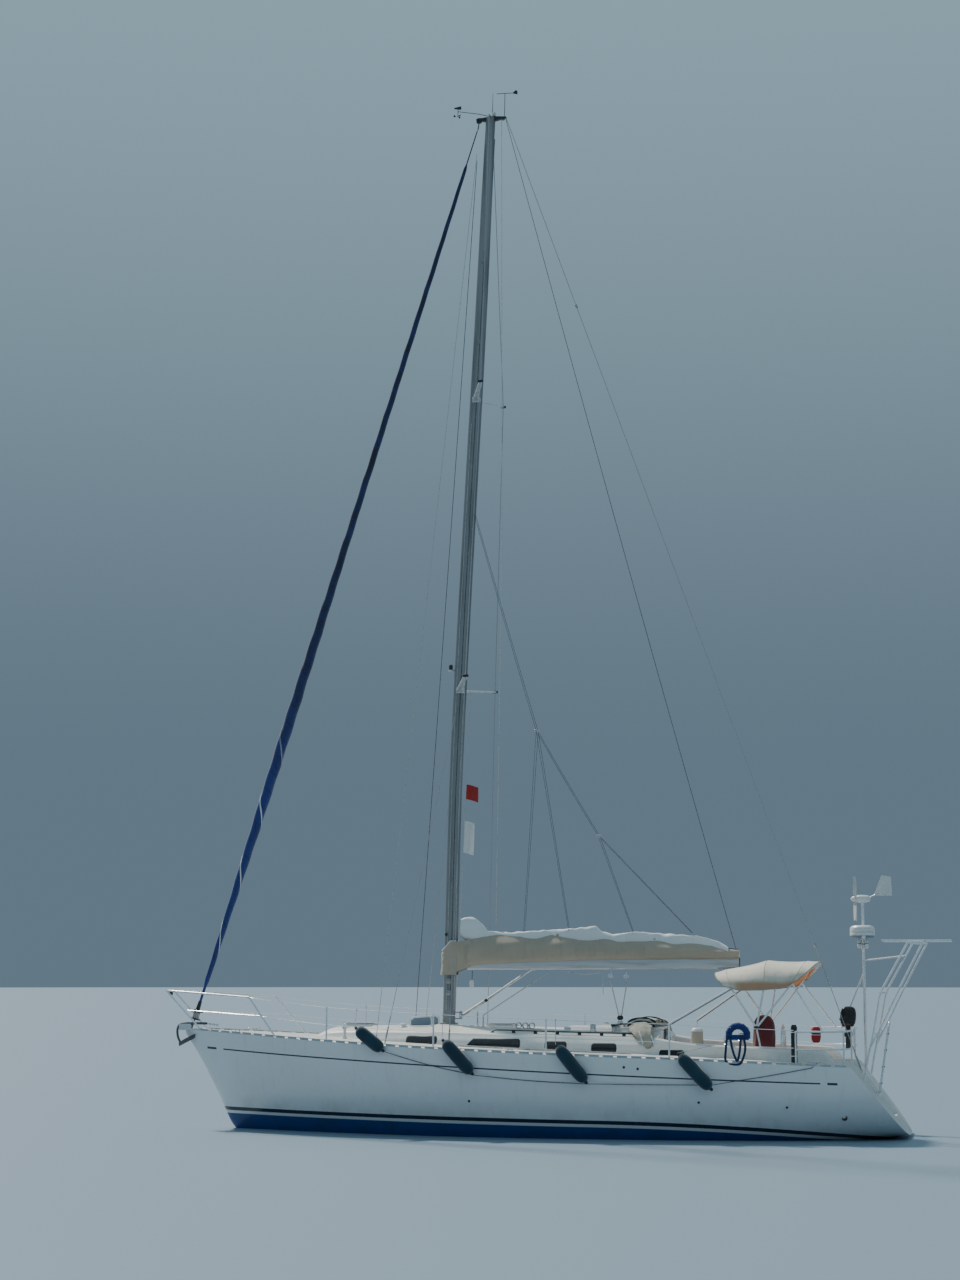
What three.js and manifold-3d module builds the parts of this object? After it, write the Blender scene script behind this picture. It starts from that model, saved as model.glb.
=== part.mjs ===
// Cruising sloop, afloat at her mooring with the mainsail stowed and the headsail furled.
// Millimetres. +X points to the bow, +Y to port and +Z up. The origin is amidships on the
// centreline, at the height of the water.

import * as THREE from 'three';
import { mergeVertices } from 'three/addons/utils/BufferGeometryUtils.js';
import Module from 'manifold-3d';

const wasm = await Module();
wasm.setup();

// Driving dimensions
const SEAT = 0.3;              // gap left between pieces that touch
const TRANSOM_DECK = { x: -5330, z: 1180 };
const TRANSOM_TIP = { x: -6200, z: 64 };
const KEEL_SOLE_Z = -1900;
const RAIL_HEIGHT = 580;       // guard rails above the deck edge
const WIRE = 6;                // radius of the standing rigging
const LIFELINE = 5;
const MAST_HALF = { fore_aft: 110, athwart: 68 };
const MASTHEAD_Z = 18080;
const GOOSENECK = { x: 1430, z: 2840 };
const VANG_FOOT_Z = 1960;
const BOOM_END = { x: -3400, z: 2852 };
const CABIN_AFT_X = -2150;
const COCKPIT_AFT_X = -4850;
const BENCH_Z = 1220;
const SOLE_Z = 780;
const WELL_HALF = 560;
const BENCH_HALF = 1010;
const WHEEL = { x: -4120, z: 1400, radius: 420 };
const RUDDER_STOCK_X = -4950;
const PROPELLER = { x: -2560, z: -860, radius: 230 };
const LADDER = { x: -5735, y: 690, z: 760, length: 1170, half: 150, lean: 9 };
const TURBINE = { x: -5420, y: -1250, z: 3960, radius: 430 };

// Hull sections: place, half beam at the deck edge, height of the deck edge, height of the
// bottom, and two powers that round the bilge
const HULL_COLUMNS = ['x', 'half', 'sheer', 'bottom', 'bilge', 'rise'];
const HULL_TABLE = [
  [6400, 55, 1700, 1615, 1.2, 1.9],
  [6120, 215, 1688, 1194, 1.35, 1.95],
  [5800, 400, 1672, 615, 1.45, 2.0],
  [5460, 580, 1655, 0, 1.45, 1.95],
  [5000, 800, 1630, -165, 1.2, 1.7],
  [4200, 1130, 1580, -320, 0.98, 1.42],
  [3000, 1500, 1512, -455, 0.82, 1.22],
  [1500, 1815, 1440, -540, 0.7, 1.08],
  [-400, 1985, 1365, -560, 0.64, 1.0],
  [-2400, 1950, 1300, -455, 0.6, 0.98],
  [-4000, 1800, 1235, -265, 0.58, 0.96],
  [-5330, 1590, 1180, -60, 0.57, 0.95],
  [-6400, 1390, 1150, 85, 0.56, 0.95],
];
const DECK_CAMBER = 0.045;     // rise of the deck at the centreline, as a share of the half beam

// Coachroof sections: place, half width at the deck, half width of the roof, height of its edge
const ROOF_COLUMNS = ['x', 'foot', 'top', 'edge'];
const ROOF_TABLE = [
  [3950, 330, 260, 1590],
  [3560, 560, 470, 1668],
  [2900, 800, 700, 1690],
  [1700, 1060, 950, 1702],
  [400, 1200, 1085, 1682],
  [-900, 1260, 1140, 1655],
  [-2150, 1280, 1160, 1630],
];
const ROOF_CROWN = 95;

// Cockpit coaming sections: place, inner face, outer face, height of the top
const COAMING_COLUMNS = ['x', 'inner', 'outer', 'top'];
const COAMING_TABLE = [
  [-2100, 1030, 1270, 1628],
  [-2650, 1030, 1275, 1545],
  [-3900, 1030, 1265, 1480],
  [-5060, 1020, 1225, 1425],
];

// Mast centreline, with the share of the full section that is left at each height
const MAST_COLUMNS = ['z', 'x', 'share'];
const MAST_TABLE = [
  [1812, 1640, 1],
  [4000, 1588, 1],
  [6040, 1530, 1],
  [8500, 1410, 1],
  [11390, 1250, 0.98],
  [13500, 1130, 0.95],
  [15070, 1045, 0.9],
  [16910, 955, 0.84],
  [MASTHEAD_Z, 890, 0.8],
];

// Stanchions of the guard rails
const STANCHION_X = [3470, 1510, -420, -2440];
const FENDER_COLUMNS = ['headX', 'headZ', 'footX', 'footZ'];
const FENDER_TABLE = [
  [2870, 1790, 2360, 1390],
  [1310, 1610, 780, 1030],
  [-610, 1540, -1130, 910],
  [-2590, 1410, -3150, 820],
];
const FENDER_RADIUS = 112;

const COLOUR = {
  gelcoat: 0xe9ecee,
  deck: 0xe2e2dc,
  keel: 0x2a4a86,
  steel: 0xc9cdd1,
  alloy: 0x9aa0a4,
  navy: 0x1f3f8f,
  canvas: 0xc8b292,
  fender: 0x243644,
  dark: 0x22262b,
  bronze: 0xb0894f,
  maroon: 0x6a2a2c,
  white: 0xf0f1f2,
  blue: 0x2c5aa8,
};

const boat = new THREE.Group();
const V = (x, y, z) => new THREE.Vector3(x, y, z);

// Rows of a table as objects named by its columns
function rows(columns, table) {
  return table.map((row) => Object.fromEntries(columns.map((name, k) => [name, row[k]])));
}

const HULL = rows(HULL_COLUMNS, HULL_TABLE);
const ROOF = rows(ROOF_COLUMNS, ROOF_TABLE);
const COAMING = rows(COAMING_COLUMNS, COAMING_TABLE);
const MAST = rows(MAST_COLUMNS, MAST_TABLE);
const FENDERS = rows(FENDER_COLUMNS, FENDER_TABLE);

// A row between the rows of a table, on a Catmull-Rom curve through each column
function rowAt(list, u) {
  const k = Math.min(Math.floor(u), list.length - 2);
  const t = u - k;
  const pick = (i) => list[Math.max(0, Math.min(list.length - 1, i))];
  const row = {};
  for (const name of Object.keys(list[0])) {
    const [a, b, c, d] = [pick(k - 1)[name], pick(k)[name], pick(k + 1)[name], pick(k + 2)[name]];
    const bend = (2 * a - 5 * b + 4 * c - d) * t * t + (3 * b - a - 3 * c + d) * t * t * t;
    row[name] = b + 0.5 * ((c - a) * t + bend);
  }
  return row;
}

// The row of a table at a place along its first column
function rowWhere(list, key, value) {
  let low = 0;
  let high = list.length - 1;
  const falling = list[0][key] > list[high][key];
  for (let step = 0; step < 40; step += 1) {
    const middle = (low + high) / 2;
    const before = rowAt(list, middle)[key] > value;
    if (before === falling) {
      low = middle;
    } else {
      high = middle;
    }
  }
  return rowAt(list, low);
}

// Height of the deck at a point
function deckZ(x, y) {
  const row = rowWhere(HULL, 'x', x);
  return row.sheer + DECK_CAMBER * row.half * (1 - (y / row.half) ** 2);
}

// Height of the coachroof's top at a point
function roofZ(x, y) {
  const row = rowWhere(ROOF, 'x', x);
  return row.edge + ROOF_CROWN * (1 - (y / row.top) ** 2);
}

// Solids from geometries, with their faces turned outwards, and back
function solidOf(geometry) {
  const bare = geometry.clone();
  bare.deleteAttribute('normal');
  bare.deleteAttribute('uv');
  const merged = mergeVertices(bare, 0.01);
  const index = Array.from(merged.index.array);
  const corner = (i) => V(0, 0, 0).fromBufferAttribute(merged.attributes.position, index[i]);
  let volume = 0;
  for (let i = 0; i < index.length; i += 3) {
    volume += corner(i).dot(corner(i + 1).cross(corner(i + 2)));
  }
  return new wasm.Manifold(new wasm.Mesh({
    numProp: 3,
    vertProperties: Float32Array.from(merged.attributes.position.array),
    triVerts: Uint32Array.from(volume > 0 ? index : index.reverse()),
  }));
}

function geometryOf(solid) {
  const mesh = solid.getMesh();
  const geometry = new THREE.BufferGeometry();
  geometry.setAttribute('position', new THREE.BufferAttribute(Float32Array.from(mesh.vertProperties), 3));
  geometry.setIndex(new THREE.BufferAttribute(Uint32Array.from(mesh.triVerts), 1));
  geometry.computeVertexNormals();
  return geometry;
}

function join(...solids) {
  return solids.reduce((sum, solid) => sum.add(solid));
}

function cut(solid, ...tools) {
  return tools.reduce((left, tool) => left.subtract(tool), solid);
}

// A closed skin through rings of equally many points, with a fan at each end
function loft(rings) {
  const count = rings[0].length;
  const points = rings.flat();
  const index = [];
  for (let r = 0; r + 1 < rings.length; r += 1) {
    for (let i = 0; i < count; i += 1) {
      const a = r * count + i;
      const b = r * count + ((i + 1) % count);
      index.push(a, b, b + count, a, b + count, a + count);
    }
  }
  const last = (rings.length - 1) * count;
  for (const [start, turn] of [[0, 1], [last, -1]]) {
    const ring = points.slice(start, start + count);
    const middle = ring.reduce((sum, p) => sum.add(p), V(0, 0, 0)).divideScalar(count);
    points.push(middle);
    for (let i = 0; i < count; i += 1) {
      const pair = [start + i, start + ((i + 1) % count)];
      index.push(points.length - 1, pair[turn > 0 ? 1 : 0], pair[turn > 0 ? 0 : 1]);
    }
  }
  const geometry = new THREE.BufferGeometry().setFromPoints(points);
  geometry.setIndex(index);
  return solidOf(geometry);
}

// A thin sheet between two grids of points, closed round its border
function shell(outer, inner) {
  const count = outer[0].length;
  const last = outer.length - 1;
  const shift = outer.length * count;
  const index = [];
  for (let r = 0; r < last; r += 1) {
    for (let i = 0; i + 1 < count; i += 1) {
      const a = r * count + i;
      const [b, c, d] = [a + 1, a + count + 1, a + count];
      index.push(a, b, c, a, c, d);
      index.push(shift + a, shift + c, shift + b, shift + a, shift + d, shift + c);
    }
  }
  const border = [];
  for (let i = 0; i + 1 < count; i += 1) {
    border.push([i, i + 1], [last * count + i + 1, last * count + i]);
  }
  for (let r = 0; r < last; r += 1) {
    border.push([(r + 1) * count, r * count], [(r + 1) * count - 1, (r + 2) * count - 1]);
  }
  for (const [p, q] of border) {
    index.push(q, p, shift + p, q, shift + p, shift + q);
  }
  const geometry = new THREE.BufferGeometry().setFromPoints([...outer.flat(), ...inner.flat()]);
  geometry.setIndex(index);
  return solidOf(geometry);
}

function box(x, y, z) {
  const geometry = new THREE.BoxGeometry(x[1] - x[0], y[1] - y[0], z[1] - z[0]);
  geometry.translate((x[0] + x[1]) / 2, (y[0] + y[1]) / 2, (z[0] + z[1]) / 2);
  return solidOf(geometry);
}

// A straight rod or cone from one point to another
function rod(from, to, radius, { end = radius, sides = 8 } = {}) {
  const along = to.clone().sub(from);
  const geometry = new THREE.CylinderGeometry(end, radius, along.length(), sides);
  const turn = new THREE.Quaternion().setFromUnitVectors(V(0, 1, 0), along.clone().normalize());
  geometry.applyQuaternion(turn);
  geometry.translate(...from.clone().add(to).divideScalar(2).toArray());
  return solidOf(geometry);
}

function ball(centre, radius, sides = 8) {
  const geometry = new THREE.SphereGeometry(radius, sides, sides / 2);
  geometry.translate(centre.x, centre.y, centre.z);
  return solidOf(geometry);
}

// A path of straight stretches, evenly counted from bend to bend
class BentPath extends THREE.Curve {
  constructor(points) {
    super();
    this.points = points;
  }

  getPointAt(share) {
    const last = this.points.length - 1;
    const k = Math.min(Math.floor(share * last + 1e-9), last - 1);
    return this.points[k].clone().lerp(this.points[k + 1], share * last - k);
  }

  getTangentAt(share) {
    const step = 0.5 / (this.points.length - 1);
    const before = this.getPointAt(Math.max(0, share - step));
    return this.getPointAt(Math.min(1, share + step)).sub(before).normalize();
  }
}

function sweep(path, radius, sides, steps) {
  const section = new THREE.Shape();
  for (let i = 0; i < sides; i += 1) {
    const angle = (2 * Math.PI * i) / sides;
    section[i ? 'lineTo' : 'moveTo'](radius * Math.cos(angle), radius * Math.sin(angle));
  }
  return solidOf(new THREE.ExtrudeGeometry(section, { steps, extrudePath: path, bevelEnabled: false }));
}

// A tube of straight stretches, bent at each point
function bentRod(points, radius, { sides = 6 } = {}) {
  return sweep(new BentPath(points), radius, sides, points.length - 1);
}

// A tube along a smooth curve
function tube(points, radius, { sides = 8, steps = 16 } = {}) {
  return sweep(new THREE.CatmullRomCurve3(points, false, 'centripetal'), radius, sides, steps);
}

// A turned solid about an axis from a point; the profile is [distance along, radius] pairs
function turned(origin, axis, profile, sides = 16) {
  const outline = profile.map(([along, radius]) => new THREE.Vector2(radius, along));
  const geometry = new THREE.LatheGeometry(outline, sides);
  const turn = new THREE.Quaternion().setFromUnitVectors(V(0, 1, 0), axis.clone().normalize());
  geometry.applyQuaternion(turn);
  geometry.translate(origin.x, origin.y, origin.z);
  return solidOf(geometry);
}

// A flat plate: an outline in X and Z, with its thickness along Y
function plateXZ(outline, yFrom, yTo) {
  const shape = new THREE.Shape(outline.map(([x, z]) => new THREE.Vector2(x, z)));
  const geometry = new THREE.ExtrudeGeometry(shape, { depth: yTo - yFrom, bevelEnabled: false });
  geometry.rotateX(Math.PI / 2);
  geometry.translate(0, yTo, 0);
  return solidOf(geometry);
}

function put(name, solid, color, { roughness = 0.45, metalness = 0 } = {}) {
  const material = new THREE.MeshStandardMaterial({ color, roughness, metalness });
  const mesh = new THREE.Mesh(geometryOf(solid), material);
  mesh.name = name;
  boat.add(mesh);
}

const SIDES = [['port', 1], ['starboard', -1]];
const STEEL = { roughness: 0.25, metalness: 1 };

// Hull
function hullRing(row) {
  const ring = [];
  const turns = 9;
  const side = (j, sign) => {
    const angle = (Math.PI / 2) * (j / turns);
    const out = row.half * Math.sin(angle) ** row.bilge;
    const up = 1 - Math.cos(angle) ** row.rise;
    return V(row.x, sign * out, row.bottom + (row.sheer - row.bottom) * up);
  };
  for (let j = 0; j <= turns; j += 1) {
    ring.push(side(j, 1));
  }
  for (const share of [0.66, 0.33, 0, -0.33, -0.66]) {
    const rise = DECK_CAMBER * row.half * (1 - share * share);
    ring.push(V(row.x, share * row.half, row.sheer + rise));
  }
  for (let j = turns; j > 0; j -= 1) {
    ring.push(side(j, -1));
  }
  return ring;
}

const hullStations = [];
for (let u = 0; u <= HULL.length - 1; u += 0.5) {
  hullStations.push(rowAt(HULL, u));
}
const hullBlank = loft(hullStations.map(hullRing));

function transomX(z) {
  const slope = (TRANSOM_DECK.x - TRANSOM_TIP.x) / (TRANSOM_DECK.z - TRANSOM_TIP.z);
  return TRANSOM_TIP.x + slope * (z - TRANSOM_TIP.z);
}

const transomWedge = plateXZ(
  [[transomX(2200), 2200], [-8000, 2200], [-8000, -600], [transomX(-600), -600]],
  -2500,
  2500,
);
const cockpitCut = join(
  box([COCKPIT_AFT_X, CABIN_AFT_X], [-BENCH_HALF, BENCH_HALF], [BENCH_Z, 2500]),
  box([COCKPIT_AFT_X + 120, CABIN_AFT_X], [-WELL_HALF, WELL_HALF], [SOLE_Z, 2500]),
);
const sternSteps = join(
  box([-6800, -5700], [-430, 430], [350, 2500]),
  box([-6800, -5470], [-430, 430], [720, 2500]),
  ...[[60, 430], [-430, -60]].map((span) => box([-6800, -5180], span, [1040, 2500])),
);
const stockBore = turned(
  V(RUDDER_STOCK_X, 0, -400),
  V(0, 0, 1),
  [[0, 0], [0, 43], [580 + SEAT, 43], [580 + SEAT, 0]],
  16,
);
const hull = cut(hullBlank, transomWedge, cockpitCut, sternSteps, stockBore);
const hullRaised = hull.translate([0, 0, SEAT]);
const hullLowered = hull.translate([0, 0, -SEAT]);

// Bracket of the swim ladder on the transom: two cheeks, each with a pin
const lean = (LADDER.lean * Math.PI) / 180;
function ladderAt(along, y) {
  return V(LADDER.x - along * Math.sin(lean), LADDER.y + y, LADDER.z + along * Math.cos(lean));
}
const ladderCheeks = [-1, 1].flatMap((k) => {
  const [near, far] = [LADDER.half + 28, LADDER.half + 40];
  const span = k > 0 ? [LADDER.y + near, LADDER.y + far] : [LADDER.y - far, LADDER.y - near];
  return [
    box([LADDER.x - 20, -5560], span, [LADDER.z - 20, LADDER.z + 20]),
    rod(ladderAt(0, k * (LADDER.half + 2)), ladderAt(0, k * far), 6.5, { sides: 12 }),
  ];
});
put('hull', join(hull, ...ladderCheeks), COLOUR.gelcoat, { roughness: 0.2 });

// Coachroof and cockpit coamings, moulded as one piece
function roofRing(row) {
  const ring = [V(row.x, row.foot, 1200)];
  ring.push(V(row.x, row.foot, row.edge - 150));
  for (const share of [1, 0.97, 0.7, 0.35, 0, -0.35, -0.7, -0.97, -1]) {
    const drop = Math.abs(share) === 1 ? 22 : 0;
    ring.push(V(row.x, share * row.top, row.edge + ROOF_CROWN * (1 - share * share) - drop));
  }
  ring.push(V(row.x, -row.foot, row.edge - 150));
  ring.push(V(row.x, -row.foot, 1200));
  return ring;
}

function coamingRing(row, sign) {
  return [
    V(row.x, sign * row.inner, 1100),
    V(row.x, sign * row.inner, row.top),
    V(row.x, sign * (row.outer - 60), row.top),
    V(row.x, sign * row.outer, row.top - 60),
    V(row.x, sign * (row.outer + 20), 1100),
  ];
}

const roofStations = [];
for (let u = 0; u <= ROOF.length - 1; u += 0.5) {
  roofStations.push(rowAt(ROOF, u));
}
const HATCHES = {
  fore: { x: 3230, half: 260 },
  saloon: { x: 700, half: 250 },
};
const hatchPlinths = Object.values(HATCHES).map(({ x, half }) => {
  const top = roofZ(x, 0) + 16;
  return box([x - half, x + half], [-half, half], [top - 90, top]);
});
const mastBase = box([1440, 1840], [-160, 160], [1700, 1811.7]);
// Slide of the companion hatch: half widths, and the height that the hatch runs on
const RUNNER = { inner: 335, lip: 370, outer: 420, ledge: 1745 };
const GARAGE_TOP = 1800;
const deckMoulding = cut(
  join(
    loft(roofStations.map(roofRing)),
    ...SIDES.map(([, sign]) => loft(COAMING.map((row) => coamingRing(row, sign)))),
    ...hatchPlinths,
    mastBase,
  ),
  hullRaised,
  box([COCKPIT_AFT_X - 400, CABIN_AFT_X], [-BENCH_HALF - 20, BENCH_HALF + 20], [900, BENCH_Z + SEAT]),
  box([-2400, -560], [-RUNNER.lip, RUNNER.lip], [RUNNER.ledge - 6, 1900]),
);
const deckRaised = deckMoulding.translate([0, 0, SEAT]);

function winch(x, y, z, size) {
  const profile = [[0, 0], [0, 80], [90, 80], [105, 58], [165, 52], [190, 68], [205, 66], [205, 0]];
  return turned(V(x, y, z), V(0, 0, 1), profile.map(([up, radius]) => [up * size, radius * size]), 12);
}

const halyardWinches = SIDES.map(([, sign]) => winch(-1000, sign * 700, 1660, 0.8));
put('deck_moulding', join(deckMoulding, ...halyardWinches), COLOUR.deck, { roughness: 0.4 });

// Toe rails along the deck edge
function toeRail(sign, grow) {
  const along = hullStations.filter((row) => row.x < 6150 && row.x > -5300);
  return loft(along.map((row) => {
    const inner = sign * (row.half - 34 - grow);
    const outer = sign * (row.half - 6 + grow);
    const [low, high] = [row.sheer - 2, row.sheer + 42 + grow];
    return [V(row.x, inner, low), V(row.x, inner, high), V(row.x, outer, high), V(row.x, outer, low)];
  }));
}

for (const [side, sign] of SIDES) {
  const rail = cut(toeRail(sign, 0), hullRaised);
  put(`toe_rail_${side}`, rail, COLOUR.alloy, { roughness: 0.4, metalness: 0.9 });
}
const toeGrown = SIDES.map(([, sign]) => toeRail(sign, SEAT));

// Keel fin and bulb
function foilRing(z, leading, chord, thickness) {
  const ring = [];
  const count = 16;
  for (let i = 0; i < count; i += 1) {
    const angle = (2 * Math.PI * i) / count;
    const along = (1 - Math.cos(angle)) / 2;
    const fat = Math.sqrt(along) * (1 - along) * 2.6;
    ring.push(V(leading - chord * along, Math.sign(Math.sin(angle)) * fat * thickness * 0.5, z));
  }
  return ring;
}

function bulbRing(x, radiusY, radiusZ, z) {
  const ring = [];
  for (let i = 0; i < 12; i += 1) {
    const angle = (2 * Math.PI * i) / 12;
    ring.push(V(x, radiusY * Math.cos(angle), z + radiusZ * Math.sin(angle)));
  }
  return ring;
}

const keelFin = loft([
  foilRing(-300, 1250, 2150, 250),
  foilRing(-1100, 1000, 1780, 210),
  foilRing(-1780, 800, 1500, 190),
]);
const bulbSections = [
  [900, 20, 18], [780, 110, 90], [450, 190, 150], [0, 220, 165], [-450, 180, 140], [-900, 60, 50],
];
const keelBulb = loft(bulbSections.map(([x, wide, high]) => bulbRing(x, wide, high, -1770)));
const keelSole = box([-2000, 2000], [-500, 500], [-2400, KEEL_SOLE_Z]);
put('keel', cut(join(keelFin, keelBulb), keelSole, hullLowered), COLOUR.keel, { roughness: 0.7 });

// Drive leg and propeller
const legShaft = loft([
  foilRing(-150, PROPELLER.x + 400, 360, 110),
  foilRing(PROPELLER.z, PROPELLER.x + 360, 260, 90),
]);
const legBody = turned(
  V(PROPELLER.x + 30, 0, PROPELLER.z),
  V(1, 0, 0),
  [[0, 0], [0, 60], [280, 62], [380, 30], [410, 0]],
  12,
);
const propellerPin = rod(V(PROPELLER.x - 40, 0, PROPELLER.z), V(PROPELLER.x + 60, 0, PROPELLER.z), 15);
const driveLeg = join(cut(legShaft, hullLowered), legBody, propellerPin);
put('drive_leg', driveLeg, COLOUR.alloy, { roughness: 0.5, metalness: 0.6 });

const propellerHub = turned(
  V(PROPELLER.x + 30 - SEAT, 0, PROPELLER.z),
  V(-1, 0, 0),
  [[90, 0], [90, 16], [0, 16], [0, 52], [90, 46], [150, 20], [160, 0]],
  12,
);
const blades = [0, 1, 2].map((k) => {
  const blade = loft([
    [V(-14, -22, 30), V(-8, -22, 30), V(14, 22, 30), V(8, 22, 30)],
    [V(-22, -78, 120), V(-14, -78, 120), V(22, 78, 120), V(14, 78, 120)],
    [V(-13, -70, 190), V(-6, -70, 190), V(13, 60, 190), V(6, 60, 190)],
    [[-4, -20], [0, -20], [4, 16], [0, 16]].map(([x, y]) => V(x, y, PROPELLER.radius)),
  ]);
  return blade.rotate([120 * k, 0, 0]).translate([PROPELLER.x - 30, 0, PROPELLER.z]);
});
put('propeller', join(propellerHub, ...blades), COLOUR.bronze, { roughness: 0.35, metalness: 0.9 });

// Rudder blade on its stock
const rudderBlade = loft([
  foilRing(-195, RUDDER_STOCK_X + 170, 640, 110),
  foilRing(-1560, RUDDER_STOCK_X + 110, 400, 70),
]);
const stockProfile = [[0, 0], [0, 42], [600, 42], [600, 0]];
const rudderStock = turned(V(RUDDER_STOCK_X, 0, -420), V(0, 0, 1), stockProfile, 16);
put('rudder', join(rudderBlade, rudderStock), COLOUR.keel, { roughness: 0.7 });

// Mast
function mastRing(row, grow) {
  const ring = [];
  for (let i = 0; i < 12; i += 1) {
    const angle = (2 * Math.PI * (i + 0.5)) / 12;
    const long = MAST_HALF.fore_aft * row.share + grow;
    const wide = MAST_HALF.athwart * row.share + grow;
    ring.push(V(row.x + long * Math.cos(angle), wide * Math.sin(angle), row.z));
  }
  return ring;
}

function mastSolid(grow) {
  return loft(MAST.map((row) => mastRing(row, grow)));
}

function mastX(z) {
  return rowWhere(MAST, 'z', z).x;
}

const mastGrown = mastSolid(SEAT);
const crane = plateXZ(
  [[1110, 17960], [900, 18060], [590, 18110], [590, 18040], [880, 17930], [1090, 17880]],
  -26,
  26,
);
const crossBar = box([880, 910], [-150, 150], [18080, 18105]);
const masthead = join(crane, crossBar, box([840, 950], [-60, 60], [17990, 18110]));
const pinAt = (z, reach, radius) =>
  rod(V(GOOSENECK.x, 0, z - reach), V(GOOSENECK.x, 0, z + reach), radius, { sides: 12 });
const goosePin = pinAt(GOOSENECK.z, 62, 10);
const vangPin = pinAt(VANG_FOOT_Z, 62, 10);
const LUG = { from: 45, to: 63, half: 24 };
const pivotLugs = [GOOSENECK.z, VANG_FOOT_Z].flatMap((z) => [
  box([GOOSENECK.x - LUG.half, 1580], [-LUG.half, LUG.half], [z + LUG.from, z + LUG.to]),
  box([GOOSENECK.x - LUG.half, 1580], [-LUG.half, LUG.half], [z - LUG.to, z - LUG.from]),
]);
const mast = join(mastSolid(0), masthead, goosePin, vangPin, ...pivotLugs);
put('mast', mast, COLOUR.alloy, { roughness: 0.4, metalness: 0.8 });

// Spreaders, two pairs swept aft, each pair on a collar round the mast
const SPREADER_COLUMNS = ['name', 'z', 'reach', 'sweep', 'rise', 'chord'];
const SPREADERS = rows(SPREADER_COLUMNS, [
  ['spreaders_lower', 7610, 1250, 380, 110, 62],
  ['spreaders_upper', 12830, 1000, 300, 100, 54],
]);
function spreaderTip(row, sign) {
  return V(mastX(row.z) - row.sweep, sign * row.reach, row.z + row.rise);
}
const CHAINPLATE = { cap: V(1290, 1560, 0), lower: V(2420, 1430, 0) };
function capPath(sign) {
  const { x, y } = CHAINPLATE.cap;
  return [
    V(890, sign * 140, 18075),
    spreaderTip(SPREADERS[1], sign),
    spreaderTip(SPREADERS[0], sign),
    V(x, sign * y, deckZ(x, y) - 20),
  ];
}
function capWire(sign, grow) {
  return bentRod(capPath(sign), WIRE + grow, { sides: 6 });
}
for (const row of SPREADERS) {
  const centre = mastX(row.z);
  const collar = box([centre - 128, centre + 128], [-86, 86], [row.z - 45, row.z + 45]);
  const arms = SIDES.map(([, sign]) => {
    const tip = spreaderTip(row, sign);
    const ring = (at, chord, thick) => [
      V(at.x - chord, at.y, at.z),
      V(at.x, at.y, at.z + thick),
      V(at.x + chord, at.y, at.z),
      V(at.x, at.y, at.z - thick),
    ];
    return loft([ring(V(centre, sign * 50, row.z), row.chord, 17), ring(tip, row.chord * 0.5, 12)]);
  });
  const wires = SIDES.map(([, sign]) => capWire(sign, SEAT));
  const spreader = cut(join(collar, ...arms), mastGrown, ...wires);
  put(row.name, spreader, COLOUR.alloy, { roughness: 0.4, metalness: 0.8 });
}

// Shrouds and stays, each with its screw above the deck
function screwAt(foot, head, from, to, radius) {
  return rod(foot.clone().lerp(head, from), foot.clone().lerp(head, to), radius);
}
const mastheadRaised = masthead.translate([0, 0, -SEAT]);
for (const [side, sign] of SIDES) {
  const path = capPath(sign);
  const cap = join(capWire(sign, 0), screwAt(path[3], path[2], 0.012, 0.06, 13));
  put(`cap_shroud_${side}`, cut(cap, hullRaised, mastheadRaised), COLOUR.steel, STEEL);
  const { x, y } = CHAINPLATE.lower;
  const foot = V(x, sign * y, deckZ(x, y) - 20);
  const top = V(mastX(7480), sign * 40, 7480);
  const lower = join(rod(foot, top, WIRE, { sides: 6 }), screwAt(foot, top, 0.012, 0.06, 13));
  put(`lower_shroud_${side}`, cut(lower, hullRaised, mastGrown), COLOUR.steel, STEEL);
}
const backstayFoot = V(-5425, 0, 1035);
const backstayHead = V(606, 0, 18080);
const backstay = join(
  rod(backstayFoot, backstayHead, WIRE, { sides: 6 }),
  screwAt(backstayFoot, backstayHead, 0.03, 0.06, 14),
);
put('backstay', cut(backstay, hull.translate([-SEAT, 0, SEAT]), mastheadRaised), COLOUR.steel, STEEL);

// Headsail furled round the forestay, on its drum
const STAY_FOOT = V(6330, 0, 1640);
const STAY_HEAD = V(1130, 0, 17880);
const stayAxis = STAY_HEAD.clone().sub(STAY_FOOT).normalize();
const stayLength = STAY_HEAD.distanceTo(STAY_FOOT);
// Furled headsail: distance up the stay as a share of it, and radius
const ROLL_TABLE = [
  [0.034, 0], [0.034, 22], [0.05, 26], [0.056, 42], [0.12, 56], [0.22, 84], [0.32, 96],
  [0.42, 86], [0.55, 64], [0.72, 52], [0.86, 42], [0.955, 30], [0.96, 12], [0.998, 10], [0.998, 0],
];
const rollProfile = ROLL_TABLE.map(([share, radius]) => [share * stayLength, radius]);
const roll = turned(STAY_FOOT, stayAxis, rollProfile, 12);
const furledSail = cut(roll, mastGrown, crane.translate([0, 0, -SEAT]));
put('furled_headsail', furledSail, COLOUR.navy, { roughness: 0.85 });
const drum = turned(
  STAY_FOOT,
  stayAxis,
  [[0, 0], [0, 12], [250, 12], [252, 105], [264, 105], [270, 55], [390, 55], [396, 105], [408, 105],
    [412, 40], [0.034 * stayLength - SEAT, 30], [0.034 * stayLength - SEAT, 0]],
  16,
);
const ROLLER_Y = 96;
const stemFitting = join(
  box([6180, 6440], [-75, ROLLER_Y + 36], [1690, 1716]),
  ...[-1, 1].map((k) => box([6280, 6500], [ROLLER_Y + 32 * k - 4, ROLLER_Y + 32 * k + 4], [1690, 1800])),
  rod(V(6462, ROLLER_Y - 34, 1743.2), V(6462, ROLLER_Y + 34, 1743.2), 26, { sides: 12 }),
);
const seatedDrum = cut(drum, hullRaised, stemFitting.translate([0, 0, SEAT]));
put('furler_drum', seatedDrum, COLOUR.dark, { roughness: 0.5 });
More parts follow.
